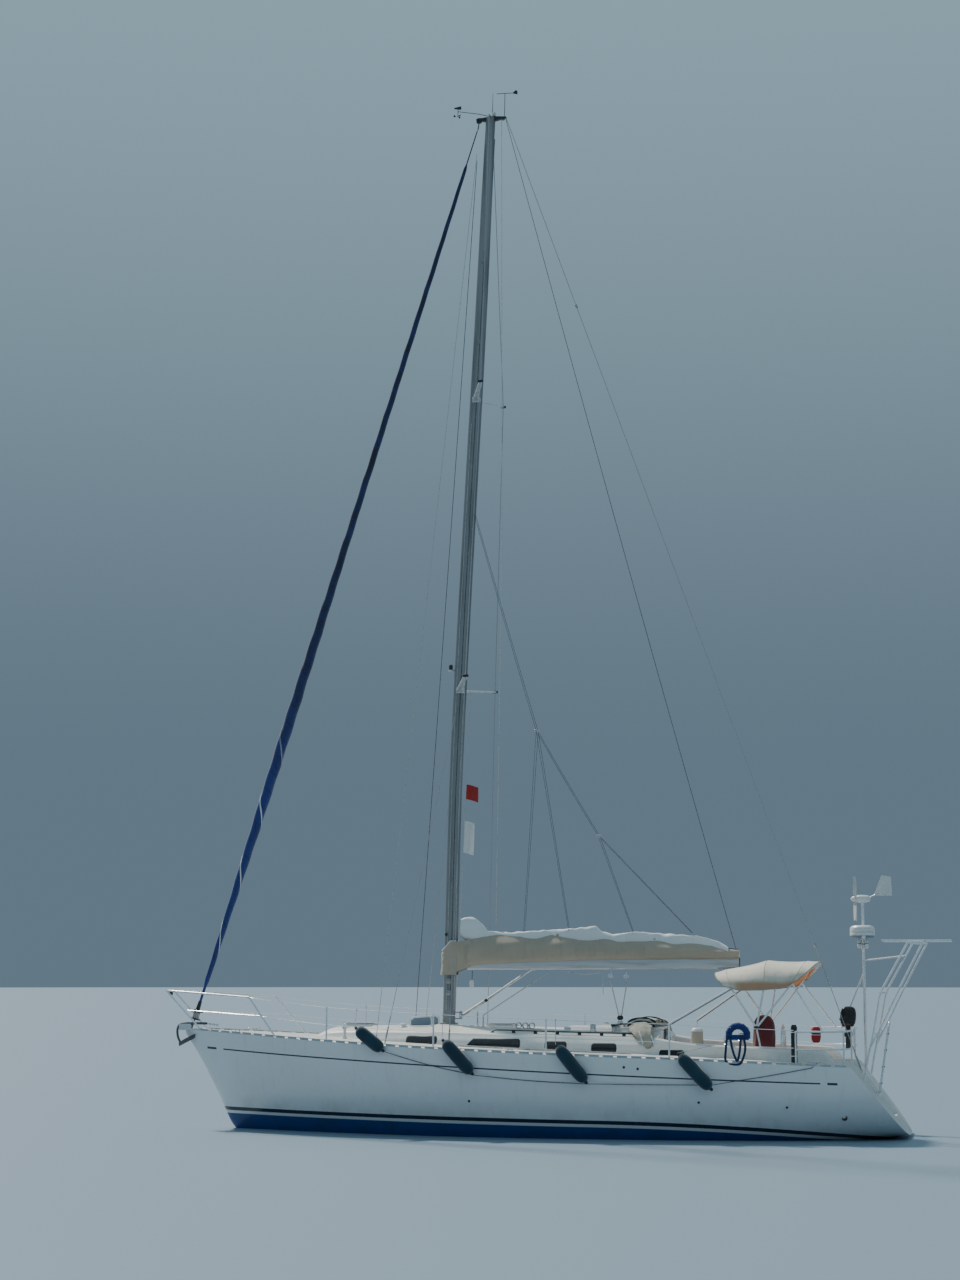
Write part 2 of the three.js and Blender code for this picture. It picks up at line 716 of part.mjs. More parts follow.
put('stem_fitting', cut(stemFitting, hullRaised, hullBlank.translate([SEAT, 0, 0])), COLOUR.steel, STEEL);

// Anchor stowed on the roller
const anchorShank = plateXZ([[6560, 1822], [5960, 1842], [5960, 1792], [6540, 1766]], -12, 12);
const anchorFluke = loft([
  [V(6520, -8, 1790), V(6520, 8, 1790), V(6560, 8, 1815), V(6560, -8, 1815)],
  [V(6490, -120, 1560), V(6490, 120, 1560), V(6560, 120, 1590), V(6560, -120, 1590)],
  [V(6560, -10, 1400), V(6560, 10, 1400), V(6580, 10, 1410), V(6580, -10, 1410)],
]);
const anchor = join(anchorShank, anchorFluke).translate([0, ROLLER_Y, 0]);
put('anchor', anchor, COLOUR.alloy, { roughness: 0.6, metalness: 0.7 });

// Pulpit, guard rails and pushpit
function edgePoint(x, sign, above, inset = 60) {
  const row = rowWhere(HULL, 'x', x);
  return V(x, sign * (row.half - inset), row.sheer + above);
}
const PULPIT_TOP = [
  V(5010, -780, 2270), V(5900, -520, 2330), V(6620, -190, 2380), V(6720, 0, 2385),
  V(6620, 190, 2380), V(5900, 520, 2330), V(5010, 780, 2270),
];
function pulpit(grow) {
  const parts = [tube(PULPIT_TOP, 14 + grow, { steps: 16, sides: 6 })];
  for (const [, sign] of SIDES) {
    const corner = V(5010, sign * 780, 2270);
    parts.push(ball(corner, 15 + grow));
    parts.push(rod(corner, edgePoint(4470, sign, -20), 14 + grow, { sides: 6 }));
    parts.push(rod(V(6600, sign * 200, 2380), edgePoint(6060, sign, -20), 14 + grow, { sides: 6 }));
    parts.push(rod(V(4740, sign * 873, 1950), V(6330, sign * 187, 2035), 11 + grow, { sides: 6 }));
  }
  return join(...parts);
}
const pulpitGrown = pulpit(SEAT);
put('pulpit', cut(pulpit(0), hullRaised, ...toeGrown), COLOUR.steel, STEEL);

function guardRail(sign, grow) {
  const parts = STANCHION_X.map((x) => rod(
    edgePoint(x, sign, -20),
    edgePoint(x, sign, RAIL_HEIGHT),
    13 + grow,
  ));
  for (const [share, ahead] of [[1, V(5010, sign * 786, 2262)], [0.5, V(4740, sign * 884, 1946)]]) {
    const along = STANCHION_X.map((x) => edgePoint(x, sign, RAIL_HEIGHT * share - 12));
    const aft = V(-4430, sign * 1690, 1490 + 280 * (share * 2 - 1));
    parts.push(bentRod([ahead, ...along, aft], LIFELINE + grow, { sides: 6 }));
  }
  return join(...parts);
}

for (const [side, sign] of SIDES) {
  const wires = cut(guardRail(sign, 0), hullRaised, pulpitGrown, ...toeGrown);
  put(`guard_rail_${side}`, wires, COLOUR.steel, STEEL);
}

// Pushpit: place and half breadth of each bend of its rails
const PUSHPIT_BENDS = [[-4460, 1690], [-4900, 1600], [-5210, 1430], [-5270, 1150], [-5280, 490]];
function pushpit(sign, grow) {
  const bends = (z) => PUSHPIT_BENDS.map(([x, y]) => V(x, sign * y, z));
  const rail = (z, radius) => bentRod(bends(z), radius + grow, { sides: 6 });
  const posts = [0, 2, 4].map((k) => rod(
    V(PUSHPIT_BENDS[k][0], sign * PUSHPIT_BENDS[k][1], 1160),
    V(PUSHPIT_BENDS[k][0], sign * PUSHPIT_BENDS[k][1], 1765),
    14 + grow,
  ));
  return join(rail(1750, 14), rail(1465, 11), ...posts);
}

for (const [side, sign] of SIDES) {
  put(`pushpit_${side}`, cut(pushpit(sign, 0), hullRaised, ...toeGrown), COLOUR.steel, STEEL);
}

// Boom with its eye, swinging on the gooseneck pin
function boomBlock(grow) {
  const corners = [[-1, -0.7], [-0.7, -1], [0.7, -1], [1, -0.7], [1, 0.7], [0.7, 1], [-0.7, 1], [-1, 0.7]];
  const ring = (x, z) => corners
    .map(([y, up]) => V(x, y * (65 + grow), z + up * (100 + grow)));
  return loft([ring(1300 + grow, GOOSENECK.z - 8), ring(BOOM_END.x - grow, BOOM_END.z)]);
}

function eye(z) {
  const low = z - LUG.from + SEAT;
  const high = 2 * LUG.from - 4;
  return turned(V(GOOSENECK.x, 0, low), V(0, 0, 1), [[0, 11], [0, 28], [high, 28], [high, 11], [0, 11]], 12);
}

const boomWeb = box([1295, GOOSENECK.x - 20], [-14, 14], [GOOSENECK.z - 36, GOOSENECK.z + 36]);
const boom = join(boomBlock(0), boomWeb, eye(GOOSENECK.z));
put('boom', boom, COLOUR.alloy, { roughness: 0.4, metalness: 0.8 });

const vang = join(
  eye(VANG_FOOT_Z),
  rod(V(GOOSENECK.x - 22, 0, VANG_FOOT_Z), V(960, 0, 2236), 27),
  rod(V(960, 0, 2236), V(170, 0, 2760), 22),
);
const vangClear = pinAt(VANG_FOOT_Z, 90, 11);
put('rigid_vang', cut(vang, boomBlock(SEAT), vangClear), COLOUR.alloy, { roughness: 0.4, metalness: 0.8 });

// Mainsail stowed in its bag on the boom: place, hem, half breadth of the hem, of the belly, top
const BAG_COLUMNS = ['x', 'hem', 'hemHalf', 'belly', 'top'];
const BAG = rows(BAG_COLUMNS, [
  [1255, 2815, 84, 165, 3560],
  [900, 2835, 84, 170, 3440],
  [0, 2885, 84, 160, 3415],
  [-1300, 2925, 84, 150, 3375],
  [-2500, 2935, 82, 135, 3310],
  [-3330, 2930, 78, 70, 3120],
]);
function bagRing(row) {
  const middle = (row.hem + row.top) / 2;
  const half = (row.top - row.hem) / 2;
  const side = [[row.hemHalf, row.hem], [row.belly * 0.86, middle - half * 0.45], [row.belly, middle],
    [row.belly * 0.8, middle + half * 0.55], [row.belly * 0.4, row.top - half * 0.1]];
  return [
    ...side.map(([y, z]) => V(row.x, y, z)),
    V(row.x, 0, row.top),
    ...side.reverse().map(([y, z]) => V(row.x, -y, z)),
  ];
}
put('sail_bag', cut(loft(BAG.map(bagRing)), boomBlock(SEAT)), COLOUR.canvas, { roughness: 0.95 });

// Front of the bag, laced round the mast
const collarRing = (z, long, wide, x) => {
  const ring = [];
  for (let i = 0; i < 12; i += 1) {
    const angle = (2 * Math.PI * (i + 0.5)) / 12;
    ring.push(V(x + long * Math.cos(angle), wide * Math.sin(angle), z));
  }
  return ring;
};
const collar = cut(
  loft([
    collarRing(2905, 185, 125, 1612),
    collarRing(3250, 175, 125, 1600),
    collarRing(3640, 150, 105, 1592),
  ]),
  mastGrown,
  box([1200, 1480], [-300, 300], [2700, 3800]),
);
put('sail_bag_front', collar, COLOUR.canvas, { roughness: 0.95 });

// Hatches on the coachroof, hinged at their front edges
for (const [name, { x, half }] of Object.entries(HATCHES)) {
  const floor = roofZ(x, 0) + 16 + SEAT;
  const front = x + half - 15;
  const slab = box([x - half + 15, front], [-half + 15, half - 15], [floor, floor + 28]);
  const barrels = SIDES.map(([, sign]) => rod(
    V(front, sign * (half - 70), floor + 30),
    V(front, sign * (half - 130), floor + 30),
    8,
  ));
  put(`${name}_hatch`, join(slab, ...barrels), COLOUR.dark, { roughness: 0.15 });
}

// Companionway: garage with its runners, sliding hatch and washboards
const garage = cut(
  join(
    plateXZ(
      [[-1300, 1600], [-1300, GARAGE_TOP], [-520, GARAGE_TOP], [-380, 1740], [-380, 1600]],
      -RUNNER.outer,
      RUNNER.outer,
    ),
    ...SIDES.map(([, sign]) => box(
      [CABIN_AFT_X + 4, -1290],
      sign > 0 ? [RUNNER.inner, RUNNER.outer] : [-RUNNER.outer, -RUNNER.inner],
      [1600, 1780],
    )),
  ),
  box([-2400, -420], [-RUNNER.inner, RUNNER.inner], [1500, 1783]),
  box([-2400, -560], [-RUNNER.lip, RUNNER.lip], [RUNNER.ledge, 1783]),
  deckRaised,
);
put('hatch_garage', garage, COLOUR.gelcoat, { roughness: 0.25 });
put(
  'companion_hatch',
  box([CABIN_AFT_X - 15, -1325], [-355, 355], [RUNNER.ledge + 0.5, RUNNER.ledge + 28]),
  COLOUR.gelcoat,
  { roughness: 0.2 },
);
put(
  'washboards',
  box([CABIN_AFT_X - 24, CABIN_AFT_X - SEAT], [-320, 320], [880, 1736]),
  COLOUR.dark,
  { roughness: 0.3 },
);

// Mainsheet traveller bridging the hatch
const travellerFeet = [-770, -490, 490, 770].map((y) => box([-1380, -1330], [y - 30, y + 30], [1600, 1810]));
const traveller = cut(
  join(
    box([-1385, -1325], [-810, 810], [1806, 1834]),
    box([-1400, -1310], [-60, 60], [1830, 1880]),
    ...travellerFeet,
  ),
  deckRaised,
);
put('traveller', traveller, COLOUR.dark, { roughness: 0.4, metalness: 0.5 });

// Sprayhood folded down over the front of the companionway: half breadth, height, place, radii
const HOOD_COLUMNS = ['y', 'z', 'x', 'long', 'high'];
const HOOD = rows(HOOD_COLUMNS, [
  [1300, 1500, -2010, 60, 40],
  [1235, 1640, -1960, 130, 60],
  [1020, 1765, -1870, 200, 80],
  [620, 1840, -1800, 220, 72],
  [0, 1862, -1780, 225, 62],
]);
const hoodRing = (row, sign) => {
  const ring = [];
  for (let i = 0; i < 10; i += 1) {
    const angle = (2 * Math.PI * i) / 10;
    ring.push(V(row.x + row.long * Math.cos(angle), sign * row.y, row.z + row.high * Math.sin(angle)));
  }
  return ring;
};
const hood = cut(
  loft([
    ...HOOD.map((row) => hoodRing(row, 1)),
    ...HOOD.slice(0, -1).reverse().map((row) => hoodRing(row, -1)),
  ]),
  deckRaised,
  box([-2400, -1000], [-RUNNER.outer - SEAT, RUNNER.outer + SEAT], [1500, 1786]),
);
put('sprayhood', hood, COLOUR.canvas, { roughness: 0.95 });

// Primary winches on the coamings
for (const [side, sign] of SIDES) {
  put(`primary_winch_${side}`, cut(winch(-3300, sign * 1118, 1440, 1), deckRaised), COLOUR.steel, STEEL);
}

// Steering pedestal, its cover and the wheel
const PEDESTAL_X = -3810;
const pedestal = join(
  turned(
    V(PEDESTAL_X, 0, SOLE_Z + SEAT),
    V(0, 0, 1),
    [[0, 0], [0, 150], [20, 150], [60, 90], [560, 80], [740, 120], [800, 118], [800, 0]],
    16,
  ),
  rod(V(PEDESTAL_X, 0, WHEEL.z), V(WHEEL.x + 60, 0, WHEEL.z), 30, { sides: 12 }),
  rod(V(PEDESTAL_X, 0, WHEEL.z), V(WHEEL.x - 14, 0, WHEEL.z), 14, { sides: 12 }),
);
put('steering_pedestal', pedestal, COLOUR.white, { roughness: 0.35 });
const coverRing = (z, long, wide) => collarRing(z, long, wide, PEDESTAL_X + 10);
const pedestalGrown = join(
  turned(V(PEDESTAL_X, 0, SOLE_Z), V(0, 0, 1), [[0, 0], [0, 128], [800 + SEAT, 128], [800 + SEAT, 0]], 16),
  box([-4200, PEDESTAL_X], [-60, 60], [1200, WHEEL.z + 60]),
);
const cover = cut(
  loft([
    coverRing(1370, 175, 170),
    coverRing(1600, 190, 190),
    coverRing(1830, 180, 175),
    coverRing(1940, 130, 125),
    coverRing(1985, 60, 60),
  ]),
  pedestalGrown,
);
put('pedestal_cover', cover, COLOUR.maroon, { roughness: 0.95 });

const rimProfile = [];
for (let i = 0; i <= 6; i += 1) {
  const angle = (2 * Math.PI * i) / 6;
  rimProfile.push([14 * Math.cos(angle), WHEEL.radius + 14 * Math.sin(angle)]);
}
const wheelRim = turned(V(WHEEL.x, 0, WHEEL.z), V(1, 0, 0), rimProfile, 24);
const wheelHub = turned(
  V(WHEEL.x + 60 - SEAT, 0, WHEEL.z),
  V(-1, 0, 0),
  [[80, 0], [80, 15], [0, 15], [0, 42], [90, 42], [98, 20], [98, 0]],
  12,
);
const spokes = [0, 1, 2, 3, 4, 5].map((k) => {
  const angle = (Math.PI * k) / 3;
  const at = (radius) => V(WHEEL.x, radius * Math.sin(angle), WHEEL.z + radius * Math.cos(angle));
  return rod(at(30), at(WHEEL.radius), 7, { sides: 6 });
});
put('steering_wheel', join(wheelRim, wheelHub, ...spokes), COLOUR.steel, STEEL);

// Lids of the cockpit lockers, hinged at their outer edges
for (const [side, sign] of SIDES) {
  const [inner, outer] = [600, 985];
  const floor = BENCH_Z + SEAT;
  const lid = box([-3900, -2500], sign > 0 ? [inner, outer] : [-outer, -inner], [floor, floor + 25]);
  const barrelAt = (x) => V(x, sign * outer, floor + 30);
  const barrels = [-3700, -2760].map((x) => rod(barrelAt(x), barrelAt(x + 60), 8));
  put(`locker_lid_${side}`, join(lid, ...barrels), COLOUR.deck, { roughness: 0.4 });
}

// Bimini: canvas and the hoops that carry it
const BIMINI_COLUMNS = ['x', 'hem', 'crown', 'half'];
const BIMINI = rows(BIMINI_COLUMNS, [
  [-3080, 2520, 2655, 980],
  [-3400, 2455, 2715, 1070],
  [-3900, 2430, 2880, 1100],
  [-4400, 2460, 2895, 1090],
  [-4750, 2580, 2900, 1005],
]);
const CANVAS = 10;
const HOOP_INSET = CANVAS + 14;
const ARCH_STEPS = 8;
function archPoint(row, k, inset) {
  const angle = Math.PI * (k / ARCH_STEPS - 0.5);
  const out = (row.half - inset) * Math.sin(angle);
  const up = Math.cos(angle) ** 0.8 || 0;
  return V(row.x, out, row.hem + (row.crown - row.hem - inset) * up);
}
function arch(row, inset) {
  const points = [];
  for (let k = 0; k <= ARCH_STEPS; k += 1) {
    points.push(archPoint(row, k, inset));
  }
  return points;
}
const BIMINI_PIVOT = { x: -3790, y: 1215, z: 1800 };
const HOOP_ROWS = [0.55, 2, 3.4];
const canopyRows = [0, HOOP_ROWS[0], 1, 1.5, HOOP_ROWS[1], 2.7, HOOP_ROWS[2], 4].map((u) => rowAt(BIMINI, u));
const canopy = shell(canopyRows.map((row) => arch(row, 0)), canopyRows.map((row) => arch(row, CANVAS)));
const frameParts = HOOP_ROWS.flatMap((u) => {
  const hoop = arch(rowAt(BIMINI, u), HOOP_INSET);
  const pivots = [-1, 1].map((sign) => V(BIMINI_PIVOT.x, sign * BIMINI_PIVOT.y, BIMINI_PIVOT.z));
  return [bentRod([pivots[0], ...hoop, pivots[1]], 12, { sides: 6 })];
});
for (const [, sign] of SIDES) {
  const pivot = V(BIMINI_PIVOT.x, sign * BIMINI_PIVOT.y, BIMINI_PIVOT.z);
  frameParts.push(rod(V(-3860, sign * 1190, 1420), pivot, 14), ball(pivot, 20));
  const [ahead, abaft] = [rowAt(BIMINI, HOOP_ROWS[0]), rowAt(BIMINI, HOOP_ROWS[2])];
  const end = sign > 0 ? ARCH_STEPS : 0;
  const struts = [
    [archPoint(ahead, end, HOOP_INSET), edgePoint(-2440, sign, RAIL_HEIGHT - 10)],
    [archPoint(abaft, end, HOOP_INSET), V(-4900, sign * 1600, 1750)],
  ];
  frameParts.push(...struts.map(([top, foot]) => rod(top, foot, 11, { sides: 6 })));
}
const biminiFrame = cut(
  join(...frameParts),
  ...SIDES.map(([, sign]) => guardRail(sign, SEAT)),
  ...SIDES.map(([, sign]) => pushpit(sign, SEAT)),
  deckRaised,
);
put('bimini_frame', cut(biminiFrame, canopy.translate([0, 0, -SEAT])), COLOUR.steel, STEEL);
put('bimini_canopy', canopy, COLOUR.canvas, { roughness: 0.95 });

// Gantry leaning aft from the transom, with a solar panel on top
const GANTRY_HALF = 1100;
const FORE_LEG = [[-5500, 900], [-5560, 1250], [-5680, 1770], [-5790, 2360], [-6260, 3190]];
const AFT_LEG = [[-5620, 1500], [-5860, 1950], [-6030, 2300], [-6500, 3190]];
const gantryParts = SIDES.flatMap(([, sign]) => [FORE_LEG, AFT_LEG].map(
  (path) => bentRod(path.map(([x, z]) => V(x, sign * GANTRY_HALF, z)), 15, { sides: 6 }),
));
for (const [x, z] of [[-5790, 2360], [-6260, 3190], [-6500, 3190]]) {
  gantryParts.push(rod(V(x, -GANTRY_HALF - 8, z), V(x, GANTRY_HALF + 8, z), 15, { sides: 8 }));
}
const gantryPole = V(TURBINE.x, TURBINE.y, 2900);
gantryParts.push(rod(gantryPole, V(-6096, -GANTRY_HALF, 2900), 11, { sides: 6 }));
const poleAt = (z) => V(TURBINE.x, TURBINE.y, z);
const poleGrown = rod(poleAt(900), poleAt(3835), 24 + SEAT, { sides: 12 });
put('gantry_frame', cut(join(...gantryParts), hullRaised, poleGrown), COLOUR.steel, STEEL);
const solarPanel = box([-6940, -5810], [-640, 640], [3190 + 15 + SEAT, 3240]);
put('solar_panel', solarPanel, COLOUR.dark, { roughness: 0.1 });

// Pole with the radome's bracket and the strut
const RADOME_Y = TURBINE.y + 250;
const poleStrut = rod(V(TURBINE.x, TURBINE.y, 2700), V(-5000, -1545, 1750), 12, { sides: 6 });
const pole = cut(
  join(
    rod(V(TURBINE.x, TURBINE.y, 900), V(TURBINE.x, TURBINE.y, 3835), 24, { sides: 12 }),
    rod(V(TURBINE.x, TURBINE.y, 3830), V(TURBINE.x, TURBINE.y, 3880), 12, { sides: 12 }),
    box([TURBINE.x - 60, TURBINE.x + 60], [TURBINE.y, RADOME_Y + 90], [3262, 3275]),
    poleStrut,
  ),
  hullRaised,
  pushpit(-1, SEAT),
);
put('wind_pole', pole, COLOUR.steel, STEEL);
const radome = turned(
  V(TURBINE.x, RADOME_Y, 3275 + SEAT),
  V(0, 0, 1),
  [[0, 0], [0, 90], [28, 150], [34, 205], [120, 215], [185, 195], [215, 120], [225, 0]],
  20,
);
put('radome', radome, COLOUR.white, { roughness: 0.3 });

// Wind generator: head that turns on the pole, and rotor that turns on the head
const head = join(
  turned(
    V(TURBINE.x + 90, TURBINE.y, TURBINE.z),
    V(-1, 0, 0),
    [[0, 0], [0, 62], [120, 66], [210, 45], [230, 0]],
    14,
  ),
  cut(
    rod(V(TURBINE.x, TURBINE.y, 3835 + SEAT), V(TURBINE.x, TURBINE.y, TURBINE.z - 20), 26, { sides: 12 }),
    rod(V(TURBINE.x, TURBINE.y, 3800), V(TURBINE.x, TURBINE.y, 3884), 13, { sides: 12 }),
  ),
  rod(V(TURBINE.x - 120, TURBINE.y, TURBINE.z), V(TURBINE.x - 330, TURBINE.y, TURBINE.z + 90), 12),
  plateXZ(
    [[-270, 50], [-480, 40], [-460, 330], [-330, 330]].map(([x, z]) => [TURBINE.x + x, TURBINE.z + z]),
    TURBINE.y - 5,
    TURBINE.y + 5,
  ),
  rod(V(TURBINE.x + 80, TURBINE.y, TURBINE.z), V(TURBINE.x + 130, TURBINE.y, TURBINE.z), 8, { sides: 12 }),
);
put('turbine_head', head, COLOUR.white, { roughness: 0.3 });
const rotorHub = turned(
  V(TURBINE.x + 90 + SEAT, TURBINE.y, TURBINE.z),
  V(1, 0, 0),
  [[46, 0], [46, 9], [0, 9], [0, 58], [56, 58], [96, 34], [114, 0]],
  12,
);
const rotorBlades = [0, 1, 2, 3, 4, 5].map((k) => {
  const blade = loft([
    [V(-10, -22, 40), V(-4, -22, 40), V(12, 22, 40), V(6, 22, 40)],
    [V(-16, -34, 120), V(-11, -34, 120), V(14, 32, 120), V(9, 32, 120)],
    [[-4, -16], [-1, -16], [5, 12], [2, 12]].map(([x, y]) => V(x, y, TURBINE.radius)),
  ]);
  return blade.rotate([60 * k, 0, 0]).translate([TURBINE.x + 122, TURBINE.y, TURBINE.z]);
});
put('turbine_rotor', join(rotorHub, ...rotorBlades), COLOUR.white, { roughness: 0.3 });

// Swim ladder stowed upright on its bracket
const ladderParts = [-1, 1].map((k) => rod(
  ladderAt(0, k * LADDER.half),
  ladderAt(LADDER.length, k * LADDER.half),
  13,
  { sides: 6 },
));
for (const along of [0, 260, 520, 780, 1040, LADDER.length - 12]) {
  const reach = along ? LADDER.half : LADDER.half + 28 - SEAT;
  ladderParts.push(rod(ladderAt(along, -reach), ladderAt(along, reach), 13, { sides: 6 }));
}
const ladderBores = [-1, 1].map((k) => rod(
  ladderAt(0, k * (LADDER.half - 8)),
  ladderAt(0, k * (LADDER.half + 60)),
  7.3,
  { sides: 12 },
));
put('swim_ladder', cut(join(...ladderParts), ...ladderBores), COLOUR.steel, STEEL);

// Fenders, hung from the guard rail on short lanyards
FENDERS.forEach((row, k) => {
  const middleX = (row.headX + row.footX) / 2;
  const half = rowWhere(HULL, 'x', middleX).half;
  const y = half + FENDER_RADIUS - 8;
  const from = V(row.headX, y - 10, row.headZ);
  const to = V(row.footX, y, row.footZ);
  const axis = to.clone().sub(from);
  const long = axis.length();
  const r = FENDER_RADIUS;
  const body = turned(from, axis, [
    [-50, 0], [-50, 26], [0, 30], [30, 0.72 * r], [100, r], [long - 110, r], [long - 30, 0.7 * r],
    [long, 30], [long + 40, 24], [long + 40, 0],
  ], 14);
  const line = edgePoint(row.headX + 30, 1, RAIL_HEIGHT - 12);
  const lanyard = rod(from.clone().addScaledVector(axis, -35 / long), line, 6, { sides: 6 });
  const fender = cut(
    join(body, lanyard),
    hull.translate([0, SEAT, 0]),
    hullRaised,
    toeGrown[0],
    guardRail(1, SEAT),
  );
  put(`fender_${k + 1}`, fender, COLOUR.fender, { roughness: 0.6 });
});

// Horseshoe buoy on the port guard rail
const BUOY = { x: -3540, z: 1690, radius: 150, tube: 56 };
const buoyPath = [];
for (let i = 0; i <= 10; i += 1) {
  const angle = Math.PI * (-0.15 + 1.3 * (i / 10));
  const line = edgePoint(BUOY.x, 1, 0);
  const across = BUOY.x + BUOY.radius * Math.cos(angle);
  buoyPath.push(V(across, line.y - 48, BUOY.z + BUOY.radius * Math.sin(angle)));
}
const buoy = cut(tube(buoyPath, BUOY.tube, { steps: 16, sides: 8 }), guardRail(1, SEAT));
put('horseshoe_buoy', buoy, COLOUR.blue, { roughness: 0.9 });

// Spare outboard motor clamped to the starboard pushpit
const MOTOR = { x: -5125, y: -1250 };
const motor = join(
  loft([
    collarRing(1800, 110, 80, MOTOR.x),
    collarRing(1850, 150, 110, MOTOR.x),
    collarRing(2060, 145, 105, MOTOR.x),
    collarRing(2120, 90, 70, MOTOR.x),
  ]).translate([0, MOTOR.y, 0]),
  rod(V(MOTOR.x, MOTOR.y, 1830), V(MOTOR.x, MOTOR.y, 1350), 42),
  turned(V(MOTOR.x + 48, MOTOR.y, 1350), V(-1, 0, 0), [[0, 0], [14, 34], [150, 42], [190, 0]], 10),
  box([MOTOR.x - 165, MOTOR.x], [MOTOR.y - 60, MOTOR.y + 60], [1650, 1805]),
);
put('outboard_motor', cut(motor, pushpit(-1, SEAT), hullRaised), COLOUR.dark, { roughness: 0.4 });

// Danbuoy sleeve standing on the port side deck
const sleeve = rod(V(-4430, 1610, 1200), V(-4430, 1610, 1860), 52, { sides: 12 });
const seatedSleeve = cut(sleeve, hullRaised, guardRail(1, SEAT), pushpit(1, SEAT));
put('danbuoy_sleeve', seatedSleeve, COLOUR.dark, { roughness: 0.7 });

export default boat;
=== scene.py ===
"""Cruising sloop, afloat with her sails stowed: the surfaces and finishes laid over the fixed frame.

Everything is in metres, +X forward, +Y to port, +Z up, with the waterline at z = 0.
"""
import math

import bpy
import numpy as np
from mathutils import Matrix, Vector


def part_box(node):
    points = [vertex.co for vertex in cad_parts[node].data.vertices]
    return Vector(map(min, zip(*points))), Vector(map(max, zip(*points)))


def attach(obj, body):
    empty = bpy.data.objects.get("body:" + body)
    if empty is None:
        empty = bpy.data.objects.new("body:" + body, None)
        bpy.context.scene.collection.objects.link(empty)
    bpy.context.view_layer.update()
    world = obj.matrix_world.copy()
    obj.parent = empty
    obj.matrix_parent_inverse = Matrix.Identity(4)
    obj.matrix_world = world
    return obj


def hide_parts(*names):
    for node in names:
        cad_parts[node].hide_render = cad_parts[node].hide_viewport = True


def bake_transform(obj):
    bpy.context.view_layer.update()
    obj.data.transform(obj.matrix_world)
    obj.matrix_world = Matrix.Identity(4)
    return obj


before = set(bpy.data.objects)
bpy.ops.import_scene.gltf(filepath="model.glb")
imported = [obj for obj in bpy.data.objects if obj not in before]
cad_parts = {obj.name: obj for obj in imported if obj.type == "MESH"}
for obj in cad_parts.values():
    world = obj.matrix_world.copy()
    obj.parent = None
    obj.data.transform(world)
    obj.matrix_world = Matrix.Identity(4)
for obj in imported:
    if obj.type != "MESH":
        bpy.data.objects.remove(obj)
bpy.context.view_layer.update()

bl_info = {
    "name": "Sailing yacht",
    "version": (1, 0, 0),
    "blender": (4, 5, 0),
    "location": "View3D > Sidebar > Yacht",
    "description": "Hull, rig, canvas and deck gear of a cruising sloop over its frame",
    "category": "Add Mesh",
}

# Stations of the hull: place, half breadth, sheer height, keel height, fullness of bilge, lift of floor
HULL = [
    [6.40, 0.055, 1.700, 1.615, 1.20, 1.90],
    [6.12, 0.215, 1.688, 1.194, 1.35, 1.95],
    [5.80, 0.400, 1.672, 0.615, 1.45, 2.00],
    [5.46, 0.580, 1.655, 0.000, 1.45, 1.95],
    [5.00, 0.800, 1.630, -0.165, 1.20, 1.70],
    [4.20, 1.130, 1.580, -0.320, 0.98, 1.42],
    [3.00, 1.500, 1.512, -0.455, 0.82, 1.22],
    [1.50, 1.815, 1.440, -0.540, 0.70, 1.08],
    [-0.40, 1.985, 1.365, -0.560, 0.64, 1.00],
    [-2.40, 1.950, 1.300, -0.455, 0.60, 0.98],
    [-4.00, 1.800, 1.235, -0.265, 0.58, 0.96],
    [-5.33, 1.590, 1.180, -0.060, 0.57, 0.95],
    [-6.40, 1.390, 1.150, 0.085, 0.56, 0.95],
]
DECK_CAMBER = 0.045
TRANSOM_DECK = (-5.33, 1.18)
TRANSOM_TIP = (-6.20, 0.064)
# Coachroof: place, half breadth at its foot and top, height of its edge
ROOF = [
    [3.95, 0.33, 0.26, 1.590],
    [3.56, 0.56, 0.47, 1.668],
    [2.90, 0.80, 0.70, 1.690],
    [1.70, 1.06, 0.95, 1.702],
    [0.40, 1.20, 1.085, 1.682],
    [-0.90, 1.26, 1.14, 1.655],
    [-2.15, 1.28, 1.16, 1.630],
]
ROOF_CROWN = 0.095
# Cockpit coamings: place, inner and outer half breadth, height
COAMING = [
    [-2.10, 1.03, 1.27, 1.628],
    [-2.65, 1.03, 1.275, 1.545],
    [-3.90, 1.03, 1.265, 1.480],
    [-5.06, 1.02, 1.225, 1.425],
]
COCKPIT = {"fore": -2.15, "aft": -4.85, "bench": 1.22, "sole": 0.78, "well": 0.56, "side": 1.01}
# Mast: height, place of its middle, and taper
MAST = [
    [1.812, 1.640, 1.0],
    [4.000, 1.588, 1.0],
    [6.040, 1.530, 1.0],
    [8.500, 1.410, 1.0],
    [11.39, 1.250, 0.98],
    [13.50, 1.130, 0.95],
    [15.07, 1.045, 0.90],
    [16.91, 0.955, 0.84],
    [18.08, 0.890, 0.80],
]
MAST_HALF = (0.110, 0.068)
SPREADERS = {
    "spreaders_lower": {"z": 7.61, "reach": 1.25, "sweep": 0.38, "rise": 0.11, "chord": 0.062},
    "spreaders_upper": {"z": 12.83, "reach": 1.00, "sweep": 0.30, "rise": 0.10, "chord": 0.054},
}
# Deck hatches: place of the middle, and half breadth
DECK_HATCHES = {"fore": (3.23, 0.26), "saloon": (0.70, 0.25)}
STANCHIONS = [3.47, 1.51, -0.42, -2.44]
RAIL_HEIGHT = 0.58
STAY_FOOT = np.array([6.33, 0.0, 1.64])
STAY_HEAD = np.array([1.13, 0.0, 17.88])
# Headsail rolled on its stay: share of the stay's length, and radius
ROLL = [
    [0.034, 0.022], [0.050, 0.026], [0.056, 0.042], [0.12, 0.056], [0.22, 0.084], [0.32, 0.096],
    [0.42, 0.086],
    [0.55, 0.064], [0.72, 0.052], [0.86, 0.042], [0.955, 0.030], [0.96, 0.012], [0.998, 0.010],
]
